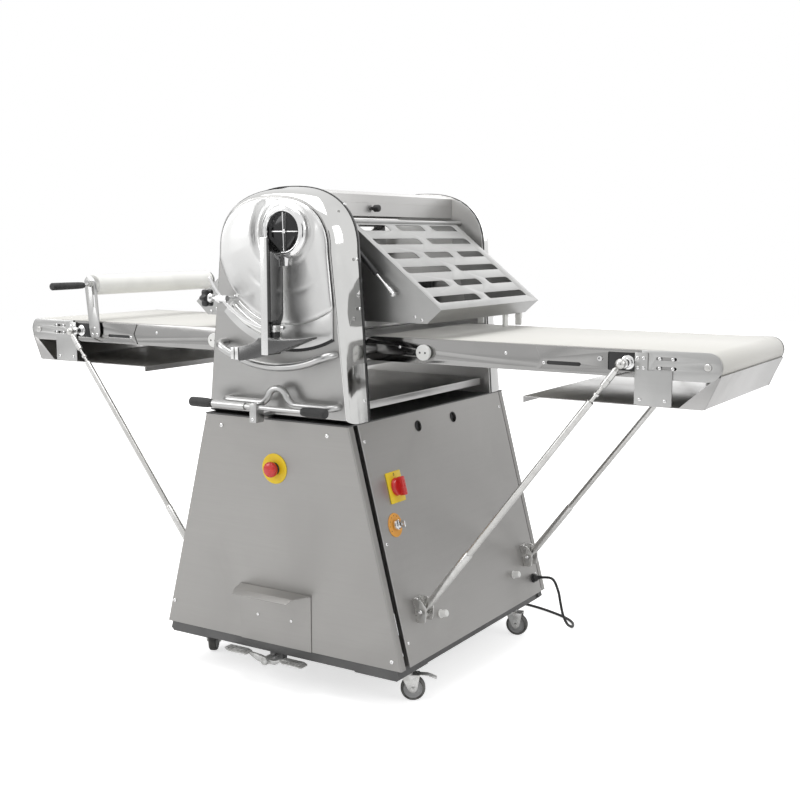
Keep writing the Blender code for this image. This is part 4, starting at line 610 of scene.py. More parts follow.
screwSizes = {
    "small": dict(head=0.0042, height=0.0022, socket=0.0016),
    "button": dict(head=0.0056, height=0.003, socket=0.0022),
    "cap": dict(head=0.0062, height=0.0058, socket=0.003, flat=True),
    "big": dict(head=0.0082, height=0.005, socket=0.0036),
}
masterScrews = {size: makeScrew(f"{size}Screw", **values) for size, values in screwSizes.items()}


def screws(name, places, body, look="chrome"):
    # places lists (point, direction, size)
    heads = [copied(masterScrews[size], point, direction) for point, direction, size in places]
    obj = joined(name, heads)
    return finishPiece(paint(obj, look), name, body)


front, back = (0, -1, 0), (0, 1, 0)
sides = (("right", 1), ("left", -1))


# studio and camera
def emitter(name, color, strength):
    material = bpy.data.materials.new(name)
    material.use_nodes = True
    tree = material.node_tree
    tree.nodes.clear()
    glow = tree.nodes.new("ShaderNodeEmission")
    glow.inputs["Color"].default_value = (*color, 1.0)
    glow.inputs["Strength"].default_value = strength
    sink = tree.nodes.new("ShaderNodeOutputMaterial")
    tree.links.new(glow.outputs[0], sink.inputs["Surface"])
    return material


def seenDirectly(tree):  # camera, mirror and glass rays
    rays = tree.nodes.new("ShaderNodeLightPath")
    first = mathNode(tree, "MAXIMUM", rays.outputs["Is Camera Ray"], rays.outputs["Is Glossy Ray"])
    return mathNode(tree, "MAXIMUM", first, rays.outputs["Is Transmission Ray"])


studio = {
    "ambient": 0.62,  # sky light on the object; 1 is the white that is seen
    "floorColor": (0.8, 0.8, 0.8),
    "floorGlow": 0.66,  # light that the floor keeps in the shadow
    "floorMirrored": 0.32,  # share of it that the metal sees
    "fadeFrom": 0.9, "fadeTo": 1.9,  # the floor turns into the white backdrop
    "lamps": {  # place, aim, size, power
        "overheadLamp": ((-0.3, -0.4, 4.0), (0.0, 0.0, 0.6), 3.2, 88.0),
        "leftLamp": ((-3.6, -3.4, 2.8), (0.0, 0.0, 0.8), 2.4, 62.0),
        "rightLamp": ((3.9, 0.6, 2.6), (0.1, 0.0, 0.7), 2.0, 26.0),
        "backLamp": ((-0.5, 4.2, 2.6), (0.0, 0.0, 0.8), 2.6, 26.0),
    },
    "flags": {  # dark cards that only the metal sees: place, width, height
        "rightFlag": ((2.45, -4.1, 1.35), 1.5, 3.0),
        "leftFlag": ((-4.6, -0.2, 1.5), 1.6, 3.0),
        "backFlag": ((3.2, 3.6, 0.62), 1.4, 1.25),
        "rearLeftFlag": ((-3.4, 3.4, 1.3), 1.5, 2.6),
    },
}
world = bpy.data.worlds.new("studioWorld")
world.use_nodes = True
bpy.context.scene.world = world
background = world.node_tree.nodes["Background"]
background.inputs["Color"].default_value = (1.0, 1.0, 1.0, 1.0)
visible = mathNode(world.node_tree, "MULTIPLY_ADD", seenDirectly(world.node_tree), 1.0 - studio["ambient"])
visible.node.inputs[2].default_value = studio["ambient"]
world.node_tree.links.new(visible, background.inputs["Strength"])

bpy.ops.mesh.primitive_circle_add(vertices=96, radius=14.0, fill_type="NGON", location=(0, 0, 0))
floor = bpy.context.active_object
floor.name = "studioFloor"
floorLook = bpy.data.materials.new("floorPaper")
floorLook.use_nodes = True
tree = floorLook.node_tree
paper = tree.nodes["Principled BSDF"]
paper.inputs["Base Color"].default_value = (*studio["floorColor"], 1.0)
paper.inputs["Roughness"].default_value = 0.9
paper.inputs["Specular IOR Level"].default_value = 0.0
glow = tree.nodes.new("ShaderNodeEmission")
spot = tree.nodes.new("ShaderNodeTexCoord")
away = tree.nodes.new("ShaderNodeVectorMath")
away.operation = "LENGTH"
tree.links.new(spot.outputs["Object"], away.inputs[0])
fade = rampNode(tree, away.outputs["Value"], studio["fadeFrom"], studio["fadeTo"])
share = mathNode(tree, "MULTIPLY_ADD", fade, 1.0 - studio["floorGlow"])
share.node.inputs[2].default_value = studio["floorGlow"]
rays = tree.nodes.new("ShaderNodeLightPath")
reflected = mathNode(tree, "MULTIPLY", rays.outputs["Is Glossy Ray"], studio["floorMirrored"])
lit = mathNode(tree, "MAXIMUM", rays.outputs["Is Camera Ray"], reflected)
tree.links.new(mathNode(tree, "MULTIPLY", share, lit), glow.inputs["Strength"])
both = tree.nodes.new("ShaderNodeAddShader")
tree.links.new(paper.outputs[0], both.inputs[0])
tree.links.new(glow.outputs[0], both.inputs[1])
tree.links.new(both.outputs[0], tree.nodes["Material Output"].inputs["Surface"])
floor.data.materials.append(floorLook)

for name, (place, aim, size, power) in studio["lamps"].items():
    bpy.ops.object.light_add(type="AREA", location=place)
    lamp = bpy.context.active_object
    lamp.name = name
    lamp.rotation_euler = (Vector(aim) - Vector(place)).to_track_quat("-Z", "Y").to_euler()
    lamp.data.shape = "SQUARE"
    lamp.data.size = size
    lamp.data.energy = power
flagLook = emitter("flagCloth", (0.012, 0.012, 0.012), 1.0)
for name, (place, width, height) in studio["flags"].items():
    bpy.ops.mesh.primitive_plane_add(size=1.0, location=place)
    flag = bpy.context.active_object
    flag.name = name
    flag.scale = (width, height, 1.0)
    flag.rotation_euler = (Vector((0, 0, place[2])) - Vector(place)).to_track_quat("Z", "Y").to_euler()
    flag.data.materials.append(flagLook)
    flag.visible_camera = False
    flag.visible_diffuse = False
    flag.visible_shadow = False

view = {"place": (1.824, -2.729, 1.158), "yaw": 31.99, "down": 7.85, "lens": 53.1}
bpy.ops.object.camera_add(location=(view["place"][0], view["place"][1] + middleY, view["place"][2]),
                          rotation=(radians(90 - view["down"]), 0, radians(view["yaw"])))
camera = bpy.context.active_object
camera.data.lens = view["lens"]
camera.data.sensor_width = 36.0
bpy.context.scene.camera = camera
bpy.context.scene.view_settings.view_transform = "Standard"
print("studio and camera made")

# power cord
cord = {"radius": 0.004, "gland": (0.347, 0.161), "glandLength": 0.0255, "coilPlace": (0.105, 0.505),
        "coilRadius": 0.044, "coilHalf": 0.0085, "turns": 4}
base = {"topHalf": 0.2254, "taper": 0.26, "top": 0.702, "bottom": 0.115, "halfDepth": 0.4075}
lean = Vector((1.0, 0.0, base["taper"])).normalized()


def baseHalf(z):
    return base["topHalf"] + base["taper"] * (base["top"] - z)


def onPanel(side, y, z, lift=0.0):
    return Vector((side * baseHalf(z), y, z)) + Vector((side * lean.x, 0.0, lean.z)) * lift


cordStart = onPanel(1, *cord["gland"], cord["glandLength"] - 0.0007)
coilX, coilY = cord["coilPlace"]
touch = cord["coilRadius"] + cord["coilHalf"] + cord["radius"] + 0.0003
cordRoute = [cordStart, cordStart + lean * 0.016] + [Vector(point) for point in (
    (0.426, 0.348, 0.169), (0.441, 0.352, 0.145), (0.4475, 0.359, 0.108), (0.451, 0.368, 0.07),
    (0.456, 0.383, 0.035), (0.46, 0.409, 0.011), (0.456, 0.44, 0.0046), (0.438, 0.472, 0.0043),
    (0.402, 0.5, 0.0043), (0.35, 0.525, 0.0043), (0.29, 0.546, 0.0043), (0.225, 0.559, 0.0043),
    (coilX + 0.06, coilY + touch, 0.006), (coilX - 0.004, coilY + touch, 0.0085))]


# roller head
head = {"bottom": 0.7054, "half": 0.2265, "taper": 0.071, "shoulder": 1.12, "top": 1.285, "arch": 2.4,
        "nearFront": -0.4, "nearBack": -0.3183, "farFront": 0.3363, "farBack": 0.405,
        "inward": 0.014, "backward": 0.04, "draft": 0.014, "sheet": 0.002, "trim": 0.0045}
dial = {"x": 0.05, "z": 1.172, "shellRadius": 0.228, "shellInset": 0.016, "shellFace": -0.412,
        "shellBack": -0.4045}


def headOutline(inset=0.0, steps=40, draft=0.0):
    shoulder = head["half"] - head["taper"] * (head["shoulder"] - head["bottom"]) - inset - draft
    rise = head["top"] - head["shoulder"] - inset - draft
    points = [(head["half"] - inset, head["bottom"] + inset)]
    for k in range(steps + 1):
        turn = pi * k / steps
        x = copysign(max(abs(cos(turn)), 1e-9) ** (2 / head["arch"]), cos(turn))
        z = max(abs(sin(turn)), 1e-9) ** (2 / head["arch"])
        points.append((shoulder * x, head["shoulder"] + rise * z))
    points.append((-head["half"] + inset, head["bottom"] + inset))
    return points


def atDepth(outline, y):
    return [(x, y, z) for x, z in outline]


def housingCover(name, node, openY, faceY, look):
    facing = 1 if faceY > openY else -1
    depth = abs(faceY - openY)
    steps = [(depth, 0.0), ((depth + head["backward"]) / 2, 0.0)]
    steps += [(head["backward"] * (1 - sin(radians(a))), head["inward"] * (1 - cos(radians(a))))
              for a in range(0, 91, 9)]
    rings = [atDepth(headOutline(inset, draft=head["draft"] * (1 - behind / depth)),
                     faceY - facing * behind)
             for behind, inset in steps]
    cover = thicken(ringStack(name, rings, "lastCapped"), head["sheet"])
    paint(cover, "mirror")
    paint(cover, look, lambda centre, normal: abs(normal.y) > 0.92)
    return finishPiece(cover, name, "root", [node])


def coverTrim(name, y, facing):  # rubber edging behind the housing
    outer, inner = headOutline(-0.0012), headOutline(0.0022)
    rings = [atDepth(outer, y), atDepth(outer, y + facing * head["trim"]),
             atDepth(inner, y + facing * head["trim"]),
             atDepth(inner, y)]
    trim = ringStack(name, rings, "joined")
    return finishPiece(paint(trim, "blackRubber"), name, "root")


housingCover("near_cover_skin", "near_cover", head["nearBack"], head["nearFront"], "coverSatin")
housingCover("far_cover_skin", "far_cover", head["farFront"], head["farBack"], "coverSatin")
coverTrim("near_cover_trim", head["nearBack"] + 0.0035, -1)
coverTrim("far_cover_trim", head["farFront"] - 0.0035, 1)
for node, look in (("near_side_plate", "darkMirror"), ("far_side_plate", "beamSteel")):
    paint(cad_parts[node], look)


def aroundDial(radius, angle):  # the angle counts left from straight down
    return dial["x"] - radius * sin(radians(angle)), dial["z"] - radius * cos(radians(angle))


def reachTo(outline, turn):
    direction = (cos(turn), sin(turn))
    best = 1.0
    for (ax, az), (bx, bz) in zip(outline, outline[1:] + outline[:1]):
        ex, ez = bx - ax, bz - az
        cross = direction[0] * ez - direction[1] * ex
        if abs(cross) < 1e-9:
            continue
        ray = ((ax - dial["x"]) * ez - (az - dial["z"]) * ex) / cross
        share = ((ax - dial["x"]) * direction[1] - (az - dial["z"]) * direction[0]) / cross
        if ray > 0 and -1e-9 <= share <= 1 + 1e-9:
            best = min(best, ray)
    return best


def smooth(value, low, high):
    t = min(1.0, max(0.0, (value - low) / (high - low)))
    return t * t * (3 - 2 * t)


def bellCurve(value, middle, width):
    gap = (value - middle + 180) % 360 - 180
    return smooth(width - abs(gap), 0.0, width)


shell = {
    "edge": 0.01,  # rounding from the flange to the face
    "lip": 0.0006,  # raised rim beside the edge
    "dome": 0.005,
    "moatOuter": 0.112, "moatInner": 0.07, "moatDepth": 0.013,  # pressed crescent left of the dial
    "boss": 0.003, "bossRadius": 0.079,
    "creases": [(0.15, 284, 34, 0.0022), (0.152, 232, 16, 0.0022)],  # radius, angle, half width, depth
    "rings": 44, "spokes": 160,
}


def shellDepth(radius, reach, turn):  # distance of the pressed face in front of the flange
    fromEdge = max(0.0, reach - radius)
    full = dial["shellBack"] - dial["shellFace"]
    depth = (full - 0.002) * (1 - (1 - min(1.0, fromEdge / shell["edge"])) ** 2) ** 0.5
    depth += shell["lip"] * (smooth(fromEdge, 0.004, 0.014) - smooth(fromEdge, 0.016, 0.04))
    depth += shell["dome"] * smooth(fromEdge, 0.0, 0.11)
    angle = turn * 180 / pi
    crescent = bellCurve(angle, 178, 74) + 0.5 * bellCurve(angle, 30, 28)
    outerWall = 1 - smooth(radius, shell["moatOuter"] - 0.013, shell["moatOuter"])
    innerWall = smooth(radius, shell["moatInner"], shell["moatInner"] + 0.03)
    depth -= shell["moatDepth"] * crescent * outerWall * innerWall
    depth += shell["boss"] * (1 - smooth(radius, shell["bossRadius"] - 0.003,
                                         shell["bossRadius"] + 0.006)) * 0.6
    for creaseRadius, middle, width, sink in shell["creases"]:
        depth -= sink * bellCurve(angle, middle, width) * max(0.0,
                                                              1 - abs(radius - creaseRadius) / 0.011) ** 1.5
    return max(depth, 0.0)


def shellRings():
    edge = headOutline(dial["shellInset"], 60, head["draft"])
    turns = [2 * pi * k / shell["spokes"] for k in range(shell["spokes"])]
    reaches = [min(reachTo(edge, turn), dial["shellRadius"]) for turn in turns]
    rings = []
    for step in range(shell["rings"]):
        share = step / (shell["rings"] - 1)
        ring = []
        for turn, reach in zip(turns, reaches):
            near = 0.06 + (reach - 0.016 - 0.06) * min(1.0, share / 0.72)  # even rings over the face
            radius = near if share <= 0.72 else reach - 0.016 + 0.016 * (share - 0.72) / 0.28
            y = dial["shellBack"] - shellDepth(radius, reach, turn)
            ring.append((dial["x"] + radius * cos(turn), y, dial["z"] + radius * sin(turn)))
        rings.append(ring)
    return rings[::-1]


frontShell = ringStack("front_shell_skin", shellRings(), "lastCapped")
frontShell = applyModifier(frontShell, "SOLIDIFY", thickness=0.0016, offset=-1.0)
finishPiece(paint(frontShell, "shell"), "front_shell_skin", "root", ["front_shell"], 50)
print("housings and shell made")

# sector under the shell, its toothed rack and its pressed beads
sector = {"inner": 0.218, "outer": 0.29, "left": 46, "cut": 0.18, "face": -0.4036, "tooth": 0.003,
          "pitch": 0.0044}


def sectorTurns(radius, steps):  # angles counted rightward from straight down
    start, end = -radians(sector["left"]), asin((sector["cut"] - dial["x"]) / radius)
    return [start + (end - start) * k / steps for k in range(steps + 1)]


def fromDial(radius, turn):
    return dial["x"] + radius * sin(turn), dial["z"] - radius * cos(turn)


outline = [fromDial(sector["inner"], turn) for turn in sectorTurns(sector["inner"], 40)]
outline[-1] = (sector["cut"] - 0.01, outline[-1][1] - 0.001)
outline.append((sector["cut"], outline[-1][1] - 0.008))
outline += [fromDial(sector["outer"], turn) for turn in sectorTurns(sector["outer"], 60)[::-1]]
sectorPlate = plateY("sector_plate", [outline], sector["face"] - 0.0006, head["nearFront"] - 0.0004, 0.0004)
finishPiece(paint(sectorPlate, "sectorSteel"), "sector_plate", "root")
rackTurns = sectorTurns(sector["outer"], 300)
rackTurns = [turn for turn in rackTurns if turn > radians(-6)]
rackOuter = []
for turn in rackTurns:
    phase = (turn * sector["outer"] / sector["pitch"]) % 1.0
    rackOuter.append(fromDial(sector["outer"] + 0.0022 + sector["tooth"] * (1 - abs(2 * phase - 1)), turn))
rack = [fromDial(sector["outer"] - 0.003, turn) for turn in rackTurns] + rackOuter[::-1]
# the toothed rack is coloured black: painted shade for the shadow gap under the shell's lower edge
rackPlate = plateY("sector_rack", [rack], sector["face"] - 0.001, head["nearFront"] - 0.0003, 0.0)
finishPiece(paint(rackPlate, "blackPlasticAndShade"), "sector_rack", "root")
beadPath = [(*aroundDial(0.26, a), -0.403) for a in range(6, 46, 2)]
bead = tube("sector_bead", [(x, y, z) for x, z, y in beadPath], 0.0125, 6)
for vert in bead.data.vertices:  # pressed flat
    vert.co.y = -0.403 + (vert.co.y + 0.403) * 0.5
finishPiece(paint(cleanMesh(bead), "mirror"), "sector_bead", "root", smooth=60)
innerPath = [aroundDial(0.2365, a) for a in range(4, 44, 2)]
innerBead = tube("sector_inner_bead", [(x, -0.404, z) for x, z in innerPath], 0.005, 4)
finishPiece(paint(innerBead, "mirror"), "sector_inner_bead", "root", smooth=60)

# clamp block and the post that carries it
clamp = {"angle": 45.5, "radius": 0.2355, "y": -0.46, "half": 0.0175}
blockX, blockZ = aroundDial(clamp["radius"], clamp["angle"])
profile = [(0.0, 0.0072), (0.0012, 0.0085), (0.013, 0.0085), (0.0136, 0.0078), (0.015, 0.0078),
           (0.0156, 0.0085), (0.0338, 0.0085), (0.035, 0.0072)]
clampBlock = turned("clamp_block", profile, (blockX - clamp["half"], clamp["y"], blockZ), (1, 0, 0), 40)
clampPost = turned("clamp_post", [(0.0, 0.0045), (0.053, 0.0045), (0.0535, 0.0075), (0.0565, 0.0075)],
                   (blockX - 0.002, clamp["y"] + 0.004, blockZ), back, 24)
finishPiece(paint(joined("clamp_block", [clampBlock, clampPost]), "chrome"), "clamp_block", "root")

# star knob on its stem
star = {"radius": 0.024, "lobes": 6, "x": blockX - 0.0315}


def starRing(scale, x):
    points = []
    for k in range(72):
        turn = 2 * pi * k / 72
        radius = star["radius"] * scale * (0.86 + 0.14 * cos(star["lobes"] * turn))
        points.append((x, clamp["y"] + radius * cos(turn), blockZ + radius * sin(turn)))
    return points


knobRings = [starRing(s, star["x"] + x) for s, x in (
    (0.55, -0.024), (0.84, -0.0237), (0.95, -0.0225), (1.0, -0.02), (1.0, -0.0105), (0.95, -0.0078),
    (0.82, -0.0062), (0.55, -0.006))]
stopKnob = ringStack("stop_knob_star", knobRings)
finishPiece(paint(stopKnob, "blackPlasticAndShade"), "stop_knob_star", "stop_knob",
            ["stop_knob"], 60)
knobStem = turned("stop_knob_stem", [(0.0, 0.0125), (0.004, 0.0125), (0.009, 0.0095), (0.0115, 0.007),
                                     (0.012, 0.004), (0.03, 0.004), (0.0305, 0.0034)],
                  (star["x"] - 0.0085, clamp["y"], blockZ), (1, 0, 0), 24)
finishPiece(paint(knobStem, "chrome"), "stop_knob_stem", "stop_knob")

# gap lever: ring, dark disc with its cross, deep arm, curved bar, foot with its pawl
lever = {"front": -0.49, "rear": -0.4395, "half": 0.0105, "ringBase": -0.4142, "bottom": 0.875,
         "x": dial["x"] - 0.011, "top": dial["z"] - 0.014}
ringProfile = [(0.0, 0.0585), (0.0, 0.06), (0.003, 0.0652), (0.006, 0.067), (0.0095, 0.0672),
               (0.013, 0.0655), (0.0158, 0.062), (0.0174, 0.058), (0.018, 0.0545), (0.0176, 0.0515),
               (0.0162, 0.0494), (0.0135, 0.0484), (0.003, 0.0478), (0.0, 0.0478)]
leverRing = turned("lever_ring", ringProfile, (dial["x"], lever["ringBase"], dial["z"]), front,
                   80, ring=True)
groove = turned("lever_ring_step", [(0.016, 0.059), (0.0177, 0.0592), (0.0184, 0.0566), (0.0176, 0.0556)],
                (dial["x"], lever["ringBase"], dial["z"]), front, 80, ring=True)
collarRings = []
for share in range(9):
    t = share / 8
    z = dial["z"] - 0.053 - 0.03 * t
    wide = 0.015 * (1 - 0.35 * t)
    collarRings.append([(dial["x"] + 0.002 + wide * cos(a),
                         lever["ringBase"] - 0.0095 + 0.008 * sin(a) * (1 - 0.4 * t), z)
                        for a in [2 * pi * k / 24 for k in range(24)]])
collar = ringStack("lever_collar", collarRings)
side = [(lever["front"], lever["bottom"]), (lever["rear"], lever["bottom"]),
        (lever["rear"], lever["bottom"] + 0.07),
        (lever["ringBase"] - 0.012, lever["bottom"] + 0.09), (lever["ringBase"] - 0.012, dial["z"] - 0.058),
        (lever["ringBase"] - 0.018, dial["z"] - 0.048), (lever["front"] + 0.01, lever["top"]),
        (lever["front"], lever["top"])]
arm = plateX("lever_arm", [rounded(side, [0.0015, 0.0015, 0.01, 0.014, 0.003, 0.006, 0.012, 0.002], 4)],
             lever["x"] - lever["half"], lever["x"] + lever["half"], 0.0012)
ribSide = [(lever["front"] + 0.013, lever["bottom"] + 0.06), (lever["rear"] + 0.004, lever["bottom"] + 0.1),
           (lever["ringBase"] - 0.016, dial["z"] - 0.07), (lever["front"] + 0.013, lever["top"] - 0.03)]
rib = plateX("lever_rib", [rounded(ribSide, 0.01, 4)], lever["x"] + lever["half"] - 0.001,
             lever["x"] + lever["half"] + 0.0016, 0.0012)
paint(arm, "leverLitSteel")
# the arm's side and under faces get the darker copy: painted shade
paint(arm, "leverShadedSteel", lambda centre, normal: abs(normal.x) > 0.9 or normal.z < -0.9)
paint(rib, "darkMirror")
for part in (leverRing, groove, collar):
    paint(part, "chrome")
finishPiece(joined("gap_lever_body", [leverRing, groove, collar, arm, rib]), "gap_lever_body", "gap_lever",
            ["gap_lever"], 40)
disc = turned("dial_disc", [(0.0, 0.048), (0.0028, 0.048), (0.0032, 0.047), (0.0034, 0.02), (0.0035, 0.0)],
              (dial["x"], lever["ringBase"], dial["z"]), front, 64)
finishPiece(paint(disc, "discGloss"), "dial_disc", "gap_lever")
crossY = lever["ringBase"] - 0.0045
bladeRings = []
for share in range(9):  # upright blade of the disc, widest and proudest at its top
    t = share / 8
    z, wide, proud = dial["z"] + 0.0468 * (1 - 2 * t), 0.004 - 0.002 * t, 0.0085 - 0.0035 * t
    bladeRings.append([(dial["x"] - wide, crossY + 0.0015, z), (dial["x"] + wide, crossY + 0.0015, z),
                       (dial["x"] + wide * 0.35, crossY - proud, z),
                       (dial["x"] - wide * 0.35, crossY - proud, z)])
blade = ringStack("dial_blade", bladeRings)
levelBar = plateY("dial_level", [rounded([(dial["x"] - 0.04, dial["z"] - 0.0012),
                                          (dial["x"] + 0.04, dial["z"] - 0.0012),
                                          (dial["x"] + 0.04, dial["z"] + 0.0012),
                                          (dial["x"] - 0.04, dial["z"] + 0.0012)],
                                         0.0011, 3)], crossY - 0.0012, crossY + 0.0014, 0.0004)
stud = turned("dial_stud", [(0.0, 0.0056), (0.005, 0.0054), (0.0062, 0.004)],
              (dial["x"], crossY, dial["z"]), front, 24)
finishPiece(paint(joined("dial_cross", [blade, levelBar, stud]), "chrome"), "dial_cross", "gap_lever")
scaleBar = band(dial["x"], dial["z"], 0.2312, 0.2388, 270 - 61.4, 270, 48)
curvedBar = plateY("curved_bar", [scaleBar], -0.4624, -0.4576, 0.0008)
finishPiece(paint(curvedBar, "chrome"), "curved_bar", "gap_lever")
footPoints = [(-0.043, 0.8568), (-0.01, 0.862), (0.024, 0.8714), (0.06, 0.88), (0.095, 0.89),
              (0.13, 0.904), (0.17, 0.919), (0.1695, 0.923), (0.12, 0.917), (0.078, 0.913), (0.058, 0.918),
              (0.02, 0.918), (0.012, 0.908), (-0.012, 0.8985), (-0.043, 0.8915)]
leverFoot = plateY("lever_foot", [rounded(footPoints, [0.001, 0.02, 0.02, 0.02, 0.02, 0.02, 0.001,
                                                       0.001, 0.02, 0.01,
                                                       0.003, 0.003, 0.008, 0.02, 0.001], 3)],
                   lever["front"] + 0.0005, -0.4525, 0.0016)
paint(leverFoot, "leverShadedSteel")
# foot in the darker copy with only its upward faces lighter: painted shade on its sides, painted light on
# its top
paint(leverFoot, "leverLitSteel", lambda centre, normal: normal.z > 0.5)
finishPiece(leverFoot, "lever_foot", "gap_lever")
pawl = block("pawl", (-0.055, lever["front"] + 0.0002, 0.859), (-0.044, -0.4535, 0.8905), 0.0016)
prong = block("pawl_prong", (-0.068, lever["front"] + 0.0002, 0.86), (-0.058, -0.456, 0.8895), 0.0016)
bridge = block("pawl_bridge", (-0.06, -0.474, 0.864), (-0.053, -0.455, 0.886), 0.0008)
sideX = lever["x"] + 0.0112
sideBlock = block("foot_block", (sideX, -0.479, 0.93), (sideX + 0.0125, -0.456, 0.948), 0.003)
finishPiece(paint(joined("lever_pawl", [pawl, prong, bridge, sideBlock]), "leverLitSteel"),
            "lever_pawl", "gap_lever")
# black pads filling the gaps in the lever foot: painted shade of those gaps
gapShadePads = [block("foot_gap_low", (sideX, -0.477, 0.884), (sideX + 0.008, -0.454, 0.929), 0.001),
        block("foot_gap_high", (sideX, -0.4785, 0.949), (sideX + 0.0105, -0.456, 0.956), 0.0008)]
finishPiece(paint(joined("foot_gap_shade", gapShadePads), "blackPlasticAndShade"), "foot_gap_shade", "gap_lever")

# hand rails on the cover
rails = {"arcCentre": (0.03, 1.207), "arcRadius": 0.366, "arcLeft": 30.7, "arcRight": -25.0,
         "arcTube": 0.01, "arcY": -0.44,
         "loopTube": 0.009, "loopY": -0.43, "loopZ": 0.748, "loopX": 0.03, "loopRadius": 0.031,
         "left": -0.143, "right": 0.195, "root": -0.4003}
bendSteps = 6
arcPath = []
for end, inward in ((rails["arcLeft"], -1), (rails["arcRight"], 1)):
    leg = [(end, rails["root"]), (end, rails["root"] - 0.014)]
    for k in range(1, bendSteps + 1):  # quarter turn from the cover into the arc
        turn = pi / 2 * k / bendSteps
        leg.append((end + inward * 4.3 * (1 - cos(turn)), rails["root"] - 0.014 - 0.0257 * sin(turn)))
    if inward < 0:
        first = leg[-1][0]
        arcPath += leg
    else:
        span = leg[-1][0] - first
        arcPath += [(first + span * k / 40, rails["arcY"]) for k in range(1, 40)] + leg[::-1]
arcX, arcZ = rails["arcCentre"]
points = [(arcX - rails["arcRadius"] * sin(radians(a)), y, arcZ - rails["arcRadius"] * cos(radians(a)))
          for a, y in arcPath]
arcRail = tube("arc_rail_tube", points, rails["arcTube"], 7)
finishPiece(paint(arcRail, "satinSteel"), "arc_rail_tube", "root", ["arc_rail"], 60)


def loopRail():
    z, y, x = rails["loopZ"], rails["loopY"], rails["loopX"]
    root = rails["root"]
    points = [(rails["left"], root, z), (rails["left"], root - 0.01, z)]
    points += [(rails["left"] + 0.0165 * (1 - cos(t)), root - 0.01 - 0.0197 * sin(t), z)
               for t in [pi / 2 * k / 6 for k in range(1, 7)]]
    points += [(x - 0.058, y, z), (x - 0.05, y, z + 0.0008), (x - 0.044, y, z + 0.003),
               (x - 0.0385, y, z + 0.0072)]
    points += [(px, y, pz) for px, pz in arc(x, z + 0.008, rails["loopRadius"], 164, 16, 18)]
    points += [(x + 0.0385, y, z + 0.0072), (x + 0.044, y, z + 0.003), (x + 0.05, y, z + 0.0008),
               (x + 0.058, y, z)]
    points += [(rails["right"] - 0.0165 * (1 - cos(t)), root - 0.01 - 0.0197 * sin(t), z)
               for t in [pi / 2 * k / 6 for k in range(6, 0, -1)]]
    return points + [(rails["right"], root - 0.01, z), (rails["right"], root, z)]


handGuard = tube("hand_guard_tube", loopRail(), rails["loopTube"], 7)
finishPiece(paint(handGuard, "satinSteel"), "hand_guard_tube", "root",
            ["hand_guard_rail"], 60)

# shift bar with its two grips
bar = {"y": -0.46, "z": 0.74, "left": -0.228, "right": 0.2, "pivot": (-0.016, 0.715), "grip": 0.073,
       "rod": 0.0064}
rod = turned("bar_rod", [(0.0, bar["rod"]), (bar["right"] - bar["left"] - 0.12, bar["rod"])],
             (bar["left"] + 0.06, bar["y"], bar["z"]), (1, 0, 0), 28)
sleeve = turned("bar_sleeve", [(0.0, 0.0075), (0.001, 0.0092), (0.105, 0.0092), (0.106, 0.0075)],
                (bar["left"] + bar["grip"] + 0.0005, bar["y"], bar["z"]), (1, 0, 0), 28)
lug = block("bar_block", (bar["pivot"][0] - 0.0105, bar["y"] - 0.0118, bar["pivot"][1] - 0.0128),
            (bar["pivot"][0] + 0.0105, bar["y"] + 0.0195, bar["z"] + 0.0098), 0.0012)
pin = turned("bar_pin", [(0.0, 0.0074), (0.05, 0.0074)], (*[bar["pivot"][0], bar["y"] + 0.018],
                                                          bar["pivot"][1]), back, 28)
finishPiece(paint(joined("hand_bar_steel", [rod, sleeve, lug, pin]), "satinSteel"),
            "hand_bar_steel", "hand_bar",
            ["hand_bar"])
gripProfile = [(0.0, 0.008), (0.001, 0.0103), (0.0035, 0.012), (0.01, 0.0125), (0.052, 0.0125),
               (0.064, 0.0112),
               (0.07, 0.0102), (0.0725, 0.009), (0.073, 0.007)]
grips = [turned("left_grip", gripProfile, (bar["left"], bar["y"], bar["z"]), (1, 0, 0), 36),
         turned("right_grip", gripProfile, (bar["right"], bar["y"], bar["z"]), (-1, 0, 0), 36)]
finishPiece(paint(joined("hand_bar_grips", grips), "blackRubber"), "hand_bar_grips", "hand_bar")
topOfLug = bar["z"] + 0.0096
screws("hand_bar_screws", [((bar["pivot"][0], bar["y"] - 0.0114, bar["pivot"][1] - 0.004), front, "small"),
                           ((bar["pivot"][0] - 0.0045, bar["y"] - 0.004, topOfLug), (0, 0, 1), "small"),
                           ((bar["pivot"][0] + 0.005, bar["y"] + 0.006, topOfLug), (0, 0, 1),
                            "small")], "hand_bar")
coverSide = [(0.2225, -0.33, 0.758), (0.2105, -0.33, 0.985), (0.202, -0.33, 1.105)]
headScrews = [((0.166, sector["face"] - 0.0006, 0.987), front, "big"),
              ((-0.177, head["nearFront"] - 0.0006, 0.999), front, "big")]
headScrews += [((x - 0.0004, y, z), (1, 0, 0.071), "small") for x, y, z in coverSide]
headScrews += [((-x + 0.0004, y, z), (-1, 0, 0.071), "small") for x, y, z in coverSide]
headScrews += [((side * 0.17, -0.335, 1.2378), (side * 0.62, 0, 0.78), "small") for side in (-1, 1)]
headScrews += [((0.0, -0.4003, 0.73), front, "small")]
screws("head_screws", headScrews, "root")
print("lever, rails and shift bar made")


# beam, guards, rollers
beam = {"half": 0.095, "low": 1.213, "sheet": 0.003, "near": -0.3077, "far": 0.3257, "drop": 0.004}


def beamArch(half, drop, steps=24):
    shoulder = head["half"] - head["taper"] * (head["shoulder"] - head["bottom"])
    points = []
    for k in range(steps + 1):
        x = half * cos(pi * k / steps)
        rise = (1 - abs(x / shoulder) ** head["arch"]) ** (1 / head["arch"])
        points.append((x, head["shoulder"] + (head["top"] - head["shoulder"]) * rise - drop))
    return points


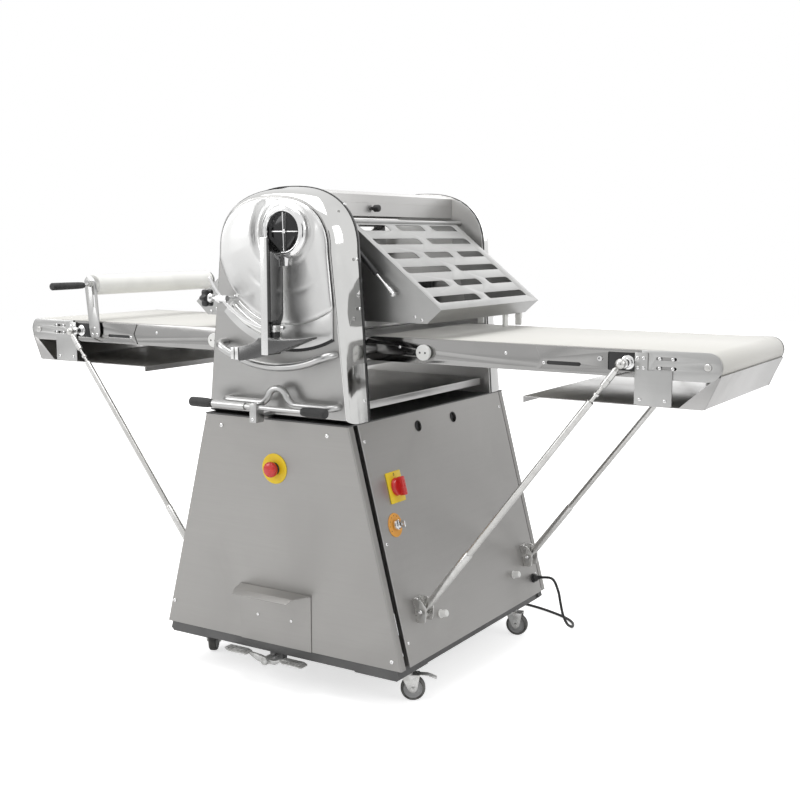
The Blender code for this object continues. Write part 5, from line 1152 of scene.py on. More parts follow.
section = [(beam["half"], beam["low"])] + beamArch(beam["half"],
                                                   beam["drop"]) + [(-beam["half"], beam["low"])]
section += [(-beam["half"] + beam["sheet"], beam["low"])]
section += beamArch(beam["half"] - beam["sheet"], beam["drop"] + beam["sheet"])[::-1]
section += [(beam["half"] - beam["sheet"], beam["low"])]
topBeam = plateY("top_beam_sheet", [section], beam["near"], beam["far"], 0.0008)
seams = [block("beam_seam", (side * (beam["half"] - 0.0004), beam["near"] + 0.004, 1.2475),
               (side * (beam["half"] + 0.0007), beam["far"] - 0.004, 1.2488), 0.0003) for side in (-1, 1)]
finishPiece(paint(joined("top_beam_sheet", [topBeam, *seams]), "beamSteel"), "top_beam_sheet", "root",
            ["top_beam"], 25)
bumperProfile = [(0.0, 0.0045), (0.006, 0.0045), (0.0075, 0.008), (0.009, 0.0094), (0.0205, 0.0094),
                 (0.0232, 0.0082), (0.0245, 0.006)]
bumpers = [turned("beam_bumper", bumperProfile, (side * beam["half"], -0.1, 1.2335), (side, 0, 0), 28)
           for side in (-1, 1)]
finishPiece(paint(joined("beam_bumpers", bumpers), "blackRubber"), "beam_bumpers", "root")

guard = {"top": (0.122, 1.198), "tip": (0.392, 0.983), "lip": (0.352, 0.948), "near": -0.247, "far": 0.297,
         "sheet": 0.0015, "slotHeight": 0.024, "rows": 6, "first": 0.0245, "pitch": 0.0567,
         "margin": (0.0245, 0.0355),
         "space": 0.0465, "corner": 0.0135, "wallX": 0.165, "springY": -0.2655, "springTop": (0.14, 1.145),
         "springFoot": (0.266, 1.019)}
slope = Vector((guard["tip"][0] - guard["top"][0], 0, guard["tip"][1] - guard["top"][1]))
slopeLength = slope.length
slope.normalize()


def guardSlots():
    low, high = guard["near"] + guard["margin"][0], guard["far"] - guard["margin"][1]
    loops = []
    for row in range(guard["rows"]):
        count = 3 if row % 2 == 0 else 2
        width = (high - low - (count - 1) * guard["space"]) / count
        middle = guard["first"] + row * guard["pitch"]
        above, below = middle - guard["slotHeight"] / 2, middle + guard["slotHeight"] / 2
        for k in range(count):
            y = low + k * (width + guard["space"])
            corners = [(above, y), (above, y + width), (below, y + width), (below, y)]
            loops.append(rounded(corners, [0.0025, guard["corner"], 0.0025, guard["corner"]], 6))
    return loops


def makeGuard(label, side):
    sheet = [(0.0, guard["near"]), (slopeLength, guard["near"]), (slopeLength, guard["far"]),
             (0.0, guard["far"])]
    along, across = Vector((side * slope.x, 0, slope.z)), Vector((0, side, 0))
    loops = [[(s, y * side) for s, y in loop] for loop in [sheet, *guardSlots()]]
    out = along.cross(across)
    origin = Vector((side * guard["top"][0], 0, guard["top"][1])) - out * guard["sheet"] * (1
            if out.z > 0 else 0)
    face = plate(f"{label}_guard_sheet", loops, guard["sheet"], 0.0003, origin, along, across)
    wall = [(guard["top"][0] - 0.002, guard["top"][1] - 0.0006),
            (guard["tip"][0] - 0.001, guard["tip"][1] - 0.0005),
            guard["lip"], (guard["wallX"], guard["lip"][1]),
            (guard["top"][0] - 0.008, guard["top"][1] - 0.055)]
    parts, walls = [paint(face, "guardSteel")], []
    for y0, y1 in ((guard["near"] + 0.0002, guard["near"] + guard["sheet"]),
                   (guard["far"] - guard["sheet"], guard["far"] - 0.0002)):
        walls.append(plateY(f"{label}_guard_wall", [mirrored(side, wall)], y0, y1, 0.0004))
    backX, backZ = guard["tip"][0] - guard["lip"][0], guard["tip"][1] - guard["lip"][1]
    reach = hypot(backX, backZ)
    across = (-backZ / reach * guard["sheet"], backX / reach * guard["sheet"])
    lip = [guard["tip"], guard["lip"], (guard["lip"][0] + across[0], guard["lip"][1] + across[1]),
           (guard["tip"][0] + across[0], guard["tip"][1] + across[1])]
    walls.append(plateY(f"{label}_guard_lip", [mirrored(side, lip)], guard["near"] + 0.0003,
                        guard["far"] - 0.0003, 0.0004))
    parts.append(turned(f"{label}_guard_rod", [(0.0, 0.005), (0.001, 0.006), (0.6448, 0.006),
                                               (0.6458, 0.005)],
                        (side * guard["top"][0], -0.3139, guard["top"][1]), back, 24))
    parts.append(turned(f"{label}_guard_pin", [(0.0, 0.004), (0.01, 0.004)],
                        (side * guard["springFoot"][0], guard["springY"] + 0.0088,
                         guard["springFoot"][1]), back, 20))
    parts += [paint(wall, "guardWall") for wall in walls]
    for rod in parts[1:3]:
        paint(rod, "satinSteel")
    finishPiece(joined(f"{label}_guard_sheet", parts), f"{label}_guard_sheet", f"{label}_guard",
                [f"{label}_guard"])
    heads = []
    for x, z in ((0.318, 0.964), (0.338, 0.957)):
        heads.append(((side * x, guard["near"] + 0.0002, z), front, "small"))
        heads.append(((side * x, guard["far"] - 0.0002, z), back, "small"))
    screws(f"{label}_guard_screws", heads, f"{label}_guard")
    tabs = []
    for x in (0.21, 0.33):  # feet that stand on the belt's far edge
        tabs.append(block(f"{label}_tab", (side * x, guard["far"] - 0.02, 0.9125),
                          (side * (x + 0.018), guard["far"] - 0.0105, 0.952), 0.0015))
    tabs.append(block(f"{label}_tab", (side * 0.333, guard["far"] - 0.105, 0.9125),
                      (side * 0.342, guard["far"] - 0.085, 0.948), 0.0015))
    finishPiece(paint(joined(f"{label}_guard_tabs", tabs), "nylon"), f"{label}_guard_tabs",
                f"{label}_guard")


def gasSpring(label, side):
    start = Vector((side * guard["springTop"][0], guard["springY"], guard["springTop"][1]))
    end = Vector((side * guard["springFoot"][0], guard["springY"], guard["springFoot"][1]))
    along = (end - start).normalized()
    reach = (end - start).length
    can = turned(f"{label}_spring_can", [(-0.0095, 0.004), (-0.008, 0.0066), (0.01, 0.007),
                                         (0.0125, 0.0074),
                                         (0.106, 0.0074), (0.1085, 0.0068), (0.11, 0.005)],
                 start, along, 28)
    finishPiece(paint(can, "blackPlasticAndShade"), f"{label}_spring_can", f"{label}_spring_cylinder",
                [f"{label}_spring_cylinder"])
    rod = turned(f"{label}_spring_steel", [(0.08, 0.003), (reach - 0.034, 0.003), (reach - 0.033, 0.0046),
                                           (reach - 0.021, 0.0046), (reach - 0.02, 0.0062),
                                           (reach - 0.008, 0.0064),
                                           (reach - 0.002, 0.0062), (reach + 0.005, 0.005)],
                 start, along, 24)
    eye = turned(f"{label}_spring_eye", [(0.0, 0.0052), (0.0008, 0.006), (0.0095, 0.006), (0.0103, 0.0052)],
                 end + Vector((0, -0.0055, 0)), back, 24)
    finishPiece(paint(joined(f"{label}_spring_steel", [rod, eye]), "chrome"), f"{label}_spring_steel",
                f"{label}_spring_rod", [f"{label}_spring_rod"])
    screws(f"{label}_spring_screw", [(end + Vector((0, -0.0056, 0)), front, "small")],
           f"{label}_spring_rod")


for label, side in sides:
    makeGuard(label, side)
    gasSpring(label, side)

mill = {"near": -0.3165, "far": 0.3345, "shoulder": 0.0315, "radius": 0.045, "journal": 0.015}


def millRoller(node, z, body):
    length = mill["far"] - mill["near"]
    face = mill["shoulder"]
    profile = [(0.0, 0.0138), (0.0012, mill["journal"]), (face, mill["journal"]),
               (face, mill["radius"] - 0.0008),
               (face + 0.0008, mill["radius"]), (length - face - 0.0008, mill["radius"]),
               (length - face, mill["radius"] - 0.0008), (length - face, mill["journal"]),
               (length - 0.0012, mill["journal"]), (length, 0.0138)]
    roller = turned(f"{node}_steel", profile, (0, mill["near"], z), back, 72)
    finishPiece(paint(roller, "chrome"), f"{node}_steel", body, [node])


millRoller("upper_roller", 0.971, "upper_roller")
millRoller("lower_roller", 0.866, "lower_roller")
for node, look in (("roller_carriage", "frameSteel"), ("scraper_bed", "satinSteel"),
                   ("drive_motor", "motorPaint"),
                   ("base_frame", "frameSteel")):
    paint(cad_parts[node], look)
tray = {"half": 0.203, "near": -0.305, "far": 0.323, "top": 0.75, "sheet": 0.002, "drop": 0.02}
trayParts = [plateZ("tray_sheet", [rounded([(-tray["half"], tray["near"]), (tray["half"], tray["near"]),
                                            (tray["half"], tray["far"]),
                                            (-tray["half"], tray["far"])], 0.004)],
                    tray["top"] - tray["sheet"], tray["top"], 0.0005)]
for side in (-1, 1):
    low, high = sorted((side * (tray["half"] - 0.0003), side * (tray["half"] - tray["sheet"])))
    trayParts.append(block("tray_lip", (low, -0.292, tray["top"] - tray["drop"]),
                           (high, 0.31, tray["top"] - 0.001), 0.0006))
finishPiece(paint(joined("flour_tray_sheet", trayParts), "panSteel"), "flour_tray_sheet", "flour_tray",
            ["flour_tray"])
print("beam, guards and rollers made")


# belt tables
table = {
    "hinge": 0.185, "end": 1.047, "axis": 0.879, "belt": 0.032, "cloth": 0.002, "near": -0.23, "far": 0.282,
    "rail": 0.003, "railLow": 0.848, "railHigh": 0.9095, "railEnd": 0.97, "noseFrom": 0.898,
    "noseLap": 0.0034,
    "bracket": (0.883, 0.97), "bracketLap": 0.0068, "panBottom": 0.787, "panInner": 0.607, "panKnee": 1.045,
    "panSheet": 0.002, "strutY": (-0.276, 0.328),
}


def beltPath(radius, steps=20):
    return (arc(table["end"], table["axis"], radius, -90, 90, steps)
            + [(table["end"] + (table["hinge"] - table["end"]) * k / 12, table["axis"] + radius)
               for k in range(1, 12)]
            + arc(table["hinge"], table["axis"], radius, 90, 270, steps)
            + [(table["hinge"] + (table["end"] - table["hinge"]) * k / 12, table["axis"] - radius)
               for k in range(1, 12)])


def makeBelt(label, side):
    near, far = table["near"] + 0.006, table["far"] - 0.006
    outer, inner = mirrored(side, beltPath(table["belt"])), mirrored(side,
            beltPath(table["belt"] - table["cloth"]))
    edge = 0.0006
    slim = mirrored(side, beltPath(table["belt"] - edge))
    rings = [atDepth(inner, near), atDepth(slim, near), atDepth(outer, near + edge),
             atDepth(outer, far - edge),
             atDepth(slim, far), atDepth(inner, far)]
    belt = ringStack(f"{label}_belt_cloth", rings, "joined")
    layer = belt.data.uv_layers.new(name="UVMap")
    straight = table["end"] - table["hinge"]
    for loop in belt.data.loops:  # run along the belt, then across it
        place = belt.data.vertices[loop.vertex_index].co
        x, z = side * place.x, place.z - table["axis"]
        if x > table["end"]:
            run = straight + table["belt"] * atan2(x - table["end"], z)
        elif x < table["hinge"]:
            run = -table["belt"] * atan2(table["hinge"] - x, z)
        else:
            run = x - table["hinge"] if z > 0 else 2 * straight + pi * table["belt"] - (x - table["hinge"])
        layer.data[loop.index].uv = (run, place.y)
    finishPiece(paint(belt, "beltCloth"), f"{label}_belt_cloth", f"{label}_table",
                [f"{label}_belt"], 60)


def tableRoller(label, side, kind, x, shaft, near, far, body):
    barrelNear, barrelFar = table["near"] + 0.0055, table["far"] - 0.0055
    radius = table["belt"] - table["cloth"] - 0.0003
    roller = turned(f"{label}_{kind}_steel", [
        (0.0, shaft * 0.92), (0.001, shaft), (barrelNear - near, shaft),
        (barrelNear - near, radius - 0.001),
        (barrelNear - near + 0.001, radius), (barrelFar - near - 0.001, radius),
        (barrelFar - near, radius - 0.001),
        (barrelFar - near, shaft), (far - near - 0.001, shaft), (far - near, shaft * 0.92)],
                    (side * x, near, table["axis"]), back, 48)
    finishPiece(paint(roller, "satinSteel"), f"{label}_{kind}_steel", body,
                [f"{label}_{kind}"])


def makeRails(label, side):
    railShape = arc(table["hinge"], table["axis"], table["railHigh"] - table["axis"], 90, 270, 20)[:-1]
    railShape += [(table["hinge"], table["railLow"]), (table["railEnd"], table["railLow"]),
                  (table["railEnd"], table["railHigh"])]
    shaftHole = circle(table["hinge"], table["axis"], 0.0108, 24)
    windows = [slotLoop(0.7095, 0.87, 0.085, 0.0085)]
    parts = []
    for edge, outward in ((table["near"], -1), (table["far"], 1)):
        y0, y1 = sorted((edge, edge - outward * table["rail"]))
        parts.append(plateY(f"{label}_rail", [mirrored(side, railShape), mirrored(side, shaftHole)],
                            y0, y1, 0.0006))
        fold = sorted((edge - outward * 0.0005, edge - outward * 0.007))
        parts.append(block(f"{label}_rail_fold", (side * 0.225, fold[0], table["railLow"] - 0.0004),
                           (side * 0.96, fold[1], table["railLow"] + 0.0016), 0.0005))
    bedHigh = table["axis"] + table["belt"] - table["cloth"] - 0.0005
    bed = block(f"{label}_bed", (side * 0.219, table["near"] + 0.002, bedHigh - 0.003),
                (side * 1.011, table["far"] - 0.002, bedHigh), 0.0006)
    bars = [block(f"{label}_bar", (side * x, table["near"] + 0.002, table["axis"] - 0.022),
                  (side * (x + 0.022), table["far"] - 0.002, table["axis"] - 0.004), 0.0008)
            for x in (0.33, 0.6, 0.86)]
    piece = paint(joined(f"{label}_rails", [*parts, bed, *bars]), "railMirror")
    finishPiece(piece, f"{label}_rails", f"{label}_table", [f"{label}_table_frame"])
    overlay = [(0.637, 0.85), (0.89, 0.85), (0.89, 0.908), (0.637, 0.908), (0.65, 0.879)]
    cutOut = rounded([(0.818, 0.862), (0.884, 0.862), (0.884, 0.903), (0.818, 0.903)], 0.003)
    nose = [(table["noseFrom"], table["axis"] - table["belt"])]
    nose += arc(table["end"], table["axis"], table["belt"] + 0.0003, -90, 90, 28)
    nose += [(table["noseFrom"], table["axis"] + table["belt"] - 0.0012)]
    endHole = circle(table["end"], table["axis"], 0.0086, 24)
    plates, dark, light = [], [], []
    for edge, outward in ((table["near"], -1), (table["far"], 1)):
        y0, y1 = sorted((edge + outward * 0.0001, edge + outward * 0.0022))
        plates.append(plateY(f"{label}_overlay", [mirrored(side, overlay), mirrored(side, windows[0]),
                                                  mirrored(side, cutOut)], y0, y1, 0.0005))
        # thin black plates behind the overlay's slot and cut-out: painted shade in place of open holes
        y0, y1 = sorted((edge + outward * 0.0001, edge + outward * 0.0006))
        dark.append(plateY(f"{label}_slot_back", [mirrored(side, slotLoop(0.7095, 0.87, 0.088, 0.0105))],
                           y0, y1, 0.0001))
        dark.append(plateY(f"{label}_cut_back", [mirrored(side, [(x, z) for x, z in cutOut])],
                           y0, y1, 0.0001))
        y0, y1 = sorted((edge - outward * 0.0006, edge + outward * table["noseLap"]))
        slots = [mirrored(side, slotLoop(0.955, z, 0.046, 0.007)) for z in (0.872, 0.893)]
        light.append(plateY(f"{label}_nose", [mirrored(side, nose), mirrored(side, endHole), *slots],
                            y0, y1, 0.0009))
        bracket = [(table["bracket"][0], table["panBottom"] + 0.001),
                   (table["bracket"][1], table["panBottom"] + 0.001),
                   (table["bracket"][1], 0.8665), (table["bracket"][0] + 0.03, 0.8665),
                   (table["bracket"][0] + 0.03, 0.905), (table["bracket"][0], 0.905)]
        y0, y1 = sorted((edge + outward * table["noseLap"], edge + outward * table["bracketLap"]))
        light.append(plateY(f"{label}_bracket", [mirrored(side, bracket)], y0, y1, 0.0008))
    finishPiece(paint(joined(f"{label}_overlays", plates), "railMirror"), f"{label}_overlays",
                f"{label}_table")
    finishPiece(paint(joined(f"{label}_nose_plates", light), "satinSteel"), f"{label}_nose_plates",
                f"{label}_table")
    finishPiece(paint(joined(f"{label}_slot_shade_plates", dark), "blackPlasticAndShade"), f"{label}_slot_shade_plates",
                f"{label}_table")
    heads, plugs = [], []
    for edge, outward, direction in ((table["near"], -1, front), (table["far"], 1, back)):
        onBracket = edge + outward * table["bracketLap"]
        onNose = edge + outward * table["noseLap"]
        for x, z in ((0.8905, 0.893), (0.8905, 0.871), (0.904, 0.893), (0.904, 0.871), (0.897, 0.8),
                     (0.955, 0.8)):
            heads.append(((side * x, onBracket - outward * 0.0002, z), direction, "small"))
        for x, z in ((0.94, 0.872), (0.97, 0.872), (0.94, 0.893), (0.97, 0.893)):
            heads.append(((side * x, onNose - outward * 0.0003, z), direction, "small"))
        heads.append(((side * 0.8, edge + outward * 0.002, 0.8865), direction, "cap"))
        heads.append(((side * 0.66, edge + outward * 0.002, 0.869), direction, "small"))
        for x in (0.262, 0.56):
            heads.append(((side * x, edge - outward * 0.0002, 0.886), direction, "small"))
        cap = [(0.0, 0.0085), (0.0015, 0.0085), (0.003, 0.007), (0.0036, 0.0035)]
        plugs.append(turned(f"{label}_axle_cap", cap, (side * table["end"], onNose - outward * 0.0002,
                                                       table["axis"]),
                            direction, 32))
    screws(f"{label}_table_screws", heads, f"{label}_table")
    finishPiece(paint(joined(f"{label}_axle_caps", plugs), "zinc"), f"{label}_axle_caps",
                f"{label}_table")


def makePan(label, side):
    tipX, tipZ = table["end"] + table["belt"] - 0.0005, 0.862
    low, sheet = table["panBottom"], table["panSheet"]
    knee = arc(table["panKnee"] - 0.008, low + 0.008, 0.008, -90, -24, 6)
    kneeUnder = arc(table["panKnee"] - 0.008, low + 0.008, 0.008 + sheet, -24, -90, 6)
    section = [(table["panInner"], low - 0.015), (table["panInner"], low), *knee, (tipX - sheet, tipZ),
               (tipX, tipZ - 0.0006), *kneeUnder, (table["panInner"] + sheet, low - sheet),
               (table["panInner"] + sheet, low - 0.015)]
    near, far = table["near"] - 0.0025, table["far"] + 0.0025
    parts = [plateY(f"{label}_pan", [mirrored(side, section)], near, far, 0.0006)]
    wall = [(0.887, low - 0.001), (0.966, low - 0.001), (0.966, low + 0.05), (0.887, low + 0.05)]
    cheek = [(0.985, low - 0.0006), (table["panKnee"], low - 0.0006), (tipX - 0.003, tipZ - 0.004),
             (tipX - 0.012, tipZ - 0.004)]
    for edge, inward in ((near, 1), (far, -1)):
        for shape in (wall, cheek):
            y0, y1 = sorted((edge, edge + inward * sheet))
            parts.append(plateY(f"{label}_pan_wall", [mirrored(side, shape)], y0, y1, 0.0004))
    finishPiece(paint(joined(f"{label}_pan_sheet", parts), "panSteel"), f"{label}_pan_sheet",
                f"{label}_table",
                [f"{label}_flour_pan"])


strut = {"foot": (0.364, 0.234), "head": (0.865, 0.881), "ball": 0.012, "tube": 0.0085, "half": 0.0195}


def makeStrut(label, side, end, y, outward):
    foot = Vector((side * strut["foot"][0], y, strut["foot"][1]))
    top = Vector((side * strut["head"][0], y, strut["head"][1]))
    reach = (top - foot).length
    profile = [(-0.0088, 0.003), (-0.0065, 0.0068), (0.015, 0.007), (0.029, 0.0104), (0.203, 0.0105),
               (0.205, 0.0098), (0.2065, strut["tube"]), (reach - 0.1125, strut["tube"]),
               (reach - 0.1115, 0.007),
               (reach - 0.111, 0.0038), (reach - 0.093, 0.0038), (reach - 0.0925, 0.0066),
               (reach - 0.087, 0.0066),
               (reach - 0.0865, 0.0038), (reach - 0.066, 0.0038), (reach - 0.0655, 0.0066),
               (reach - 0.064, 0.0078),
               (reach - 0.048, 0.0078), (reach - 0.047, 0.007), (reach - 0.045, 0.007),
               (reach - 0.044, 0.0078),
               (reach - 0.019, 0.0076), (reach - 0.0175, 0.0066), (reach - 0.012, 0.0052)]
    ball = [(reach + strut["ball"] * sin(radians(a)), strut["ball"] * cos(radians(a)))
            for a in range(-58, 84, 10)]
    bar = turned(f"{label}_{end}_bar", profile + ball, foot, top - foot, 36)
    pin = turned(f"{label}_{end}_pin", [(0.0, 0.0034), (0.0006, 0.004), (0.0424, 0.004), (0.043, 0.0034)],
                 (foot.x, y - 0.0215, foot.z), back, 20)
    finishPiece(paint(joined(f"{label}_{end}_bar", [bar, pin]), "zinc"), f"{label}_{end}_bar",
                f"{label}_{end}_strut", [f"{label}_{end}_strut"], 30)
    edge = table["near"] if outward < 0 else table["far"]
    stud = turned(f"{label}_{end}_stud", [(0.0, 0.016), (0.0016, 0.016), (0.0022, 0.015), (0.0024, 0.0105),
                                          (0.009, 0.0105),
                                          (0.01, 0.0088), (0.018, 0.0088), (0.0185, 0.0105),
                                          (0.0255, 0.0105),
                                          (0.0262, 0.007), (0.0315, 0.007), (0.0325, 0.0055)],
                  (top.x, edge + outward * 0.0008, top.z), (0, outward, 0), 36)
    finishPiece(paint(stud, "chrome"), f"{label}_{end}_stud", f"{label}_table")


for label, side in sides:
    makeBelt(label, side)
    tableRoller(label, side, "drive_roller", table["hinge"], 0.01, -0.3165, 0.3345, f"{label}_drive_roller")
    tableRoller(label, side, "end_roller", table["end"], 0.008, table["near"] - table["noseLap"],
                table["far"] + table["noseLap"], f"{label}_end_roller")
    makeRails(label, side)
    makePan(label, side)
    makeStrut(label, side, "near", table["strutY"][0], -1)
    makeStrut(label, side, "far", table["strutY"][1], 1)

# white nylon discs where the tables meet the head
nylon = {"disc": (0.337, 0.876), "discRadius": 0.0195, "hole": 0.0024}
for label, side in sides:
    parts, holes = [], []
    for edge, outward in ((table["near"], -1), (table["far"], 1)):
        x, z = side * nylon["disc"][0], nylon["disc"][1]
        rim = nylon["discRadius"]
        profile = [(0.0, 0.0125), (0.003, 0.0125), (0.0034, rim - 0.0012), (0.0046, rim), (0.013, rim),
                   (0.0145, rim - 0.0014)]
        parts.append(turned(f"{label}_disc", profile, (x, edge + outward * 0.0001, z), (0, outward, 0), 48))
        # two thin black discs on each nylon disc: painted shade standing for its holes
        for shift in (-0.0075, 0.0075):
            holes.append(turned(f"{label}_disc_hole", [(0.0, nylon["hole"]), (0.0004, nylon["hole"])],
                                (x + shift, edge + outward * 0.0146, z), (0, outward, 0), 20))
    finishPiece(paint(joined(f"{label}_nylon_discs", parts), "nylon"), f"{label}_nylon_discs",
                f"{label}_table")
    finishPiece(paint(joined(f"{label}_disc_hole_shades", holes), "blackPlasticAndShade"), f"{label}_disc_hole_shades",
                f"{label}_table")

# reeling pin and its arms over the left table
reel = {"x": -0.815, "z": 1.018, "foot": -0.8, "radius": 0.03, "grip": -0.385, "thick": 0.003}
armTop = reel["z"] + 0.026
arms, armScrews = [], []
for edge, outward, direction in ((table["near"], -1, front), (table["far"], 1, back)):
    outline = [(reel["foot"] - 0.0168, 0.863), (reel["foot"] + 0.0168, 0.863),
               (reel["foot"] + 0.021, 0.879),
               (reel["x"] + 0.025, armTop - 0.016), (reel["x"] + 0.01, armTop), (reel["x"] - 0.012, armTop),
               (reel["x"] - 0.023, armTop - 0.014), (reel["foot"] - 0.021, 0.879)]
    slotX = reel["x"] + 0.011
    hook = [(reel["x"] - 0.0055, reel["z"] - 0.0055), (reel["x"] + 0.0045, reel["z"] - 0.0055),
            (slotX - 0.0025, reel["z"] - 0.0035), (slotX + 0.0025, reel["z"] - 0.065),
            (slotX + 0.0095, reel["z"] - 0.065), (slotX + 0.0035, reel["z"] + 0.0075),
            (slotX - 0.004, reel["z"] + 0.0115), (reel["x"] - 0.0055, reel["z"] + 0.0065)]
    y0, y1 = sorted((edge + outward * 0.0065, edge + outward * (0.0065 + reel["thick"])))
    arms.append(plateY("reel_arm", [rounded(outline, 0.006, 4), rounded(hook, 0.0022, 3)], y0, y1, 0.0006))
    arms.append(turned("reel_boss", [(0.0, 0.01), (0.0068, 0.01)],
                       (reel["foot"], edge - outward * 0.0004, 0.879),
                       direction, 28))
    for x, z in ((reel["foot"] - 0.009, 0.8725), (reel["foot"] + 0.01, 0.8725), (reel["foot"], 0.8905)):
        armScrews.append(((x, edge + outward * 0.0094, z), direction, "small"))
finishPiece(paint(joined("reel_arms", arms), "satinSteel"), "reel_arms", "left_table")
screws("reel_arm_screws", armScrews, "left_table")
tubeLength = 0.278 + 0.226
pinTube = turned("reel_tube", [(0.0, 0.006), (0.0, reel["radius"] - 0.0012), (0.0012, reel["radius"]),
                               (tubeLength - 0.0012, reel["radius"]), (tubeLength, reel["radius"] - 0.0012),
                               (tubeLength, 0.006)], (reel["x"], -0.226, reel["z"]), back, 72)
finishPiece(paint(pinTube, "pinTube"), "reel_tube", "reeling_pin", ["reeling_pin"])
pinShaft = turned("reel_shaft", [(0.0, 0.004), (0.001, 0.0048), (0.035, 0.0048)],
                  (reel["x"], -0.2615, reel["z"]), back, 24)
farShaft = turned("reel_far_shaft", [(0.0, 0.0048), (0.0165, 0.0048), (0.017, 0.004)],
                  (reel["x"], 0.2778, reel["z"]), back, 24)
seamBar = block("reel_seam", (reel["x"] - 0.03, -0.222, reel["z"] - 0.0006),
                (reel["x"] - 0.029, 0.274, reel["z"] + 0.0006), 0.0003)
finishPiece(paint(joined("reel_shafts", [pinShaft, farShaft]), "chrome"), "reel_shafts",
            "reeling_pin")
finishPiece(paint(seamBar, "satinSteel"), "reel_seam", "reeling_pin")
reelGrip = turned("reel_grip", [(0.0, 0.006), (0.0008, 0.0092), (0.0032, 0.0108),
                                (0.06, 0.0106), (0.1, 0.01),
                                (0.116, 0.0092), (0.1218, 0.0078), (0.123, 0.0055)],
                  (reel["x"], reel["grip"], reel["z"]), back, 36)
finishPiece(paint(reelGrip, "blackRubber"), "reel_grip", "reeling_pin")
print("tables made")


# cabinet
cabinet = {"wrap": 0.022, "sheet": 0.002, "bend": 0.0045, "sideNear": -0.365, "sideFar": 0.383,
           "flange": 0.014,
           "vent": 0.013, "ventZ": 0.665, "vents": (-0.095, 0.092), "bumperZ": 0.197,
           "bumpers": (-0.182, 0.235),
           "switch": (-0.263, 0.535), "key": (-0.299, 0.447), "stop": 0.578, "hole": 0.011}


def wrappedPanel(node, facing, look, holes=()):
    bend, sheet, wrap = cabinet["bend"], cabinet["sheet"], cabinet["wrap"]

    def section(z, shrink=0.0):
        half, face = baseHalf(z), facing * (base["halfDepth"] - shrink)
        turnsOut = [pi / 2 * k / 6 for k in range(7)]
        right = [(half - bend + bend * cos(t), face - facing * (bend - bend * sin(t))) for t in turnsOut]
        inner = bend - sheet
        rightIn = [(half - bend + inner * cos(t), face - facing * (bend - inner * sin(t)))
                   for t in turnsOut]
        edge = face - facing * wrap
        outer = [(half, edge), *right, *[(-x, y) for x, y in right[::-1]], (-half, edge)]
        inside = [(half - sheet, edge), *rightIn, *[(-x, y) for x, y in rightIn[::-1]],
                  (-half + sheet, edge)]
        return [(x, y, z) for x, y in outer + inside[::-1]]

    panel = ringStack(node, [section(base["bottom"]), section(base["top"])])
    for x, z, radius in holes:
        panel = pierce(panel, (x, -base["halfDepth"] - 0.01, z), back, radius)
    paint(panel, look)
    return finishPiece(roundEdges(panel, 0.0004, 1, 50), f"{node}_sheet", "root", [node])


def pierce(obj, start, direction, radius):  # round hole through a sheet
    drill = turned("drill", [(0.0, radius), (0.03, radius)], start, direction, 40)
    applyModifier(obj, "BOOLEAN", object=drill, operation="DIFFERENCE", solver="EXACT")
    bpy.data.objects.remove(drill, do_unlink=True)
    return obj


wrappedPanel("front_panel", -1, "panelFront", [(0.0, cabinet["stop"], cabinet["hole"])])
wrappedPanel("rear_panel", 1, "panelFront")


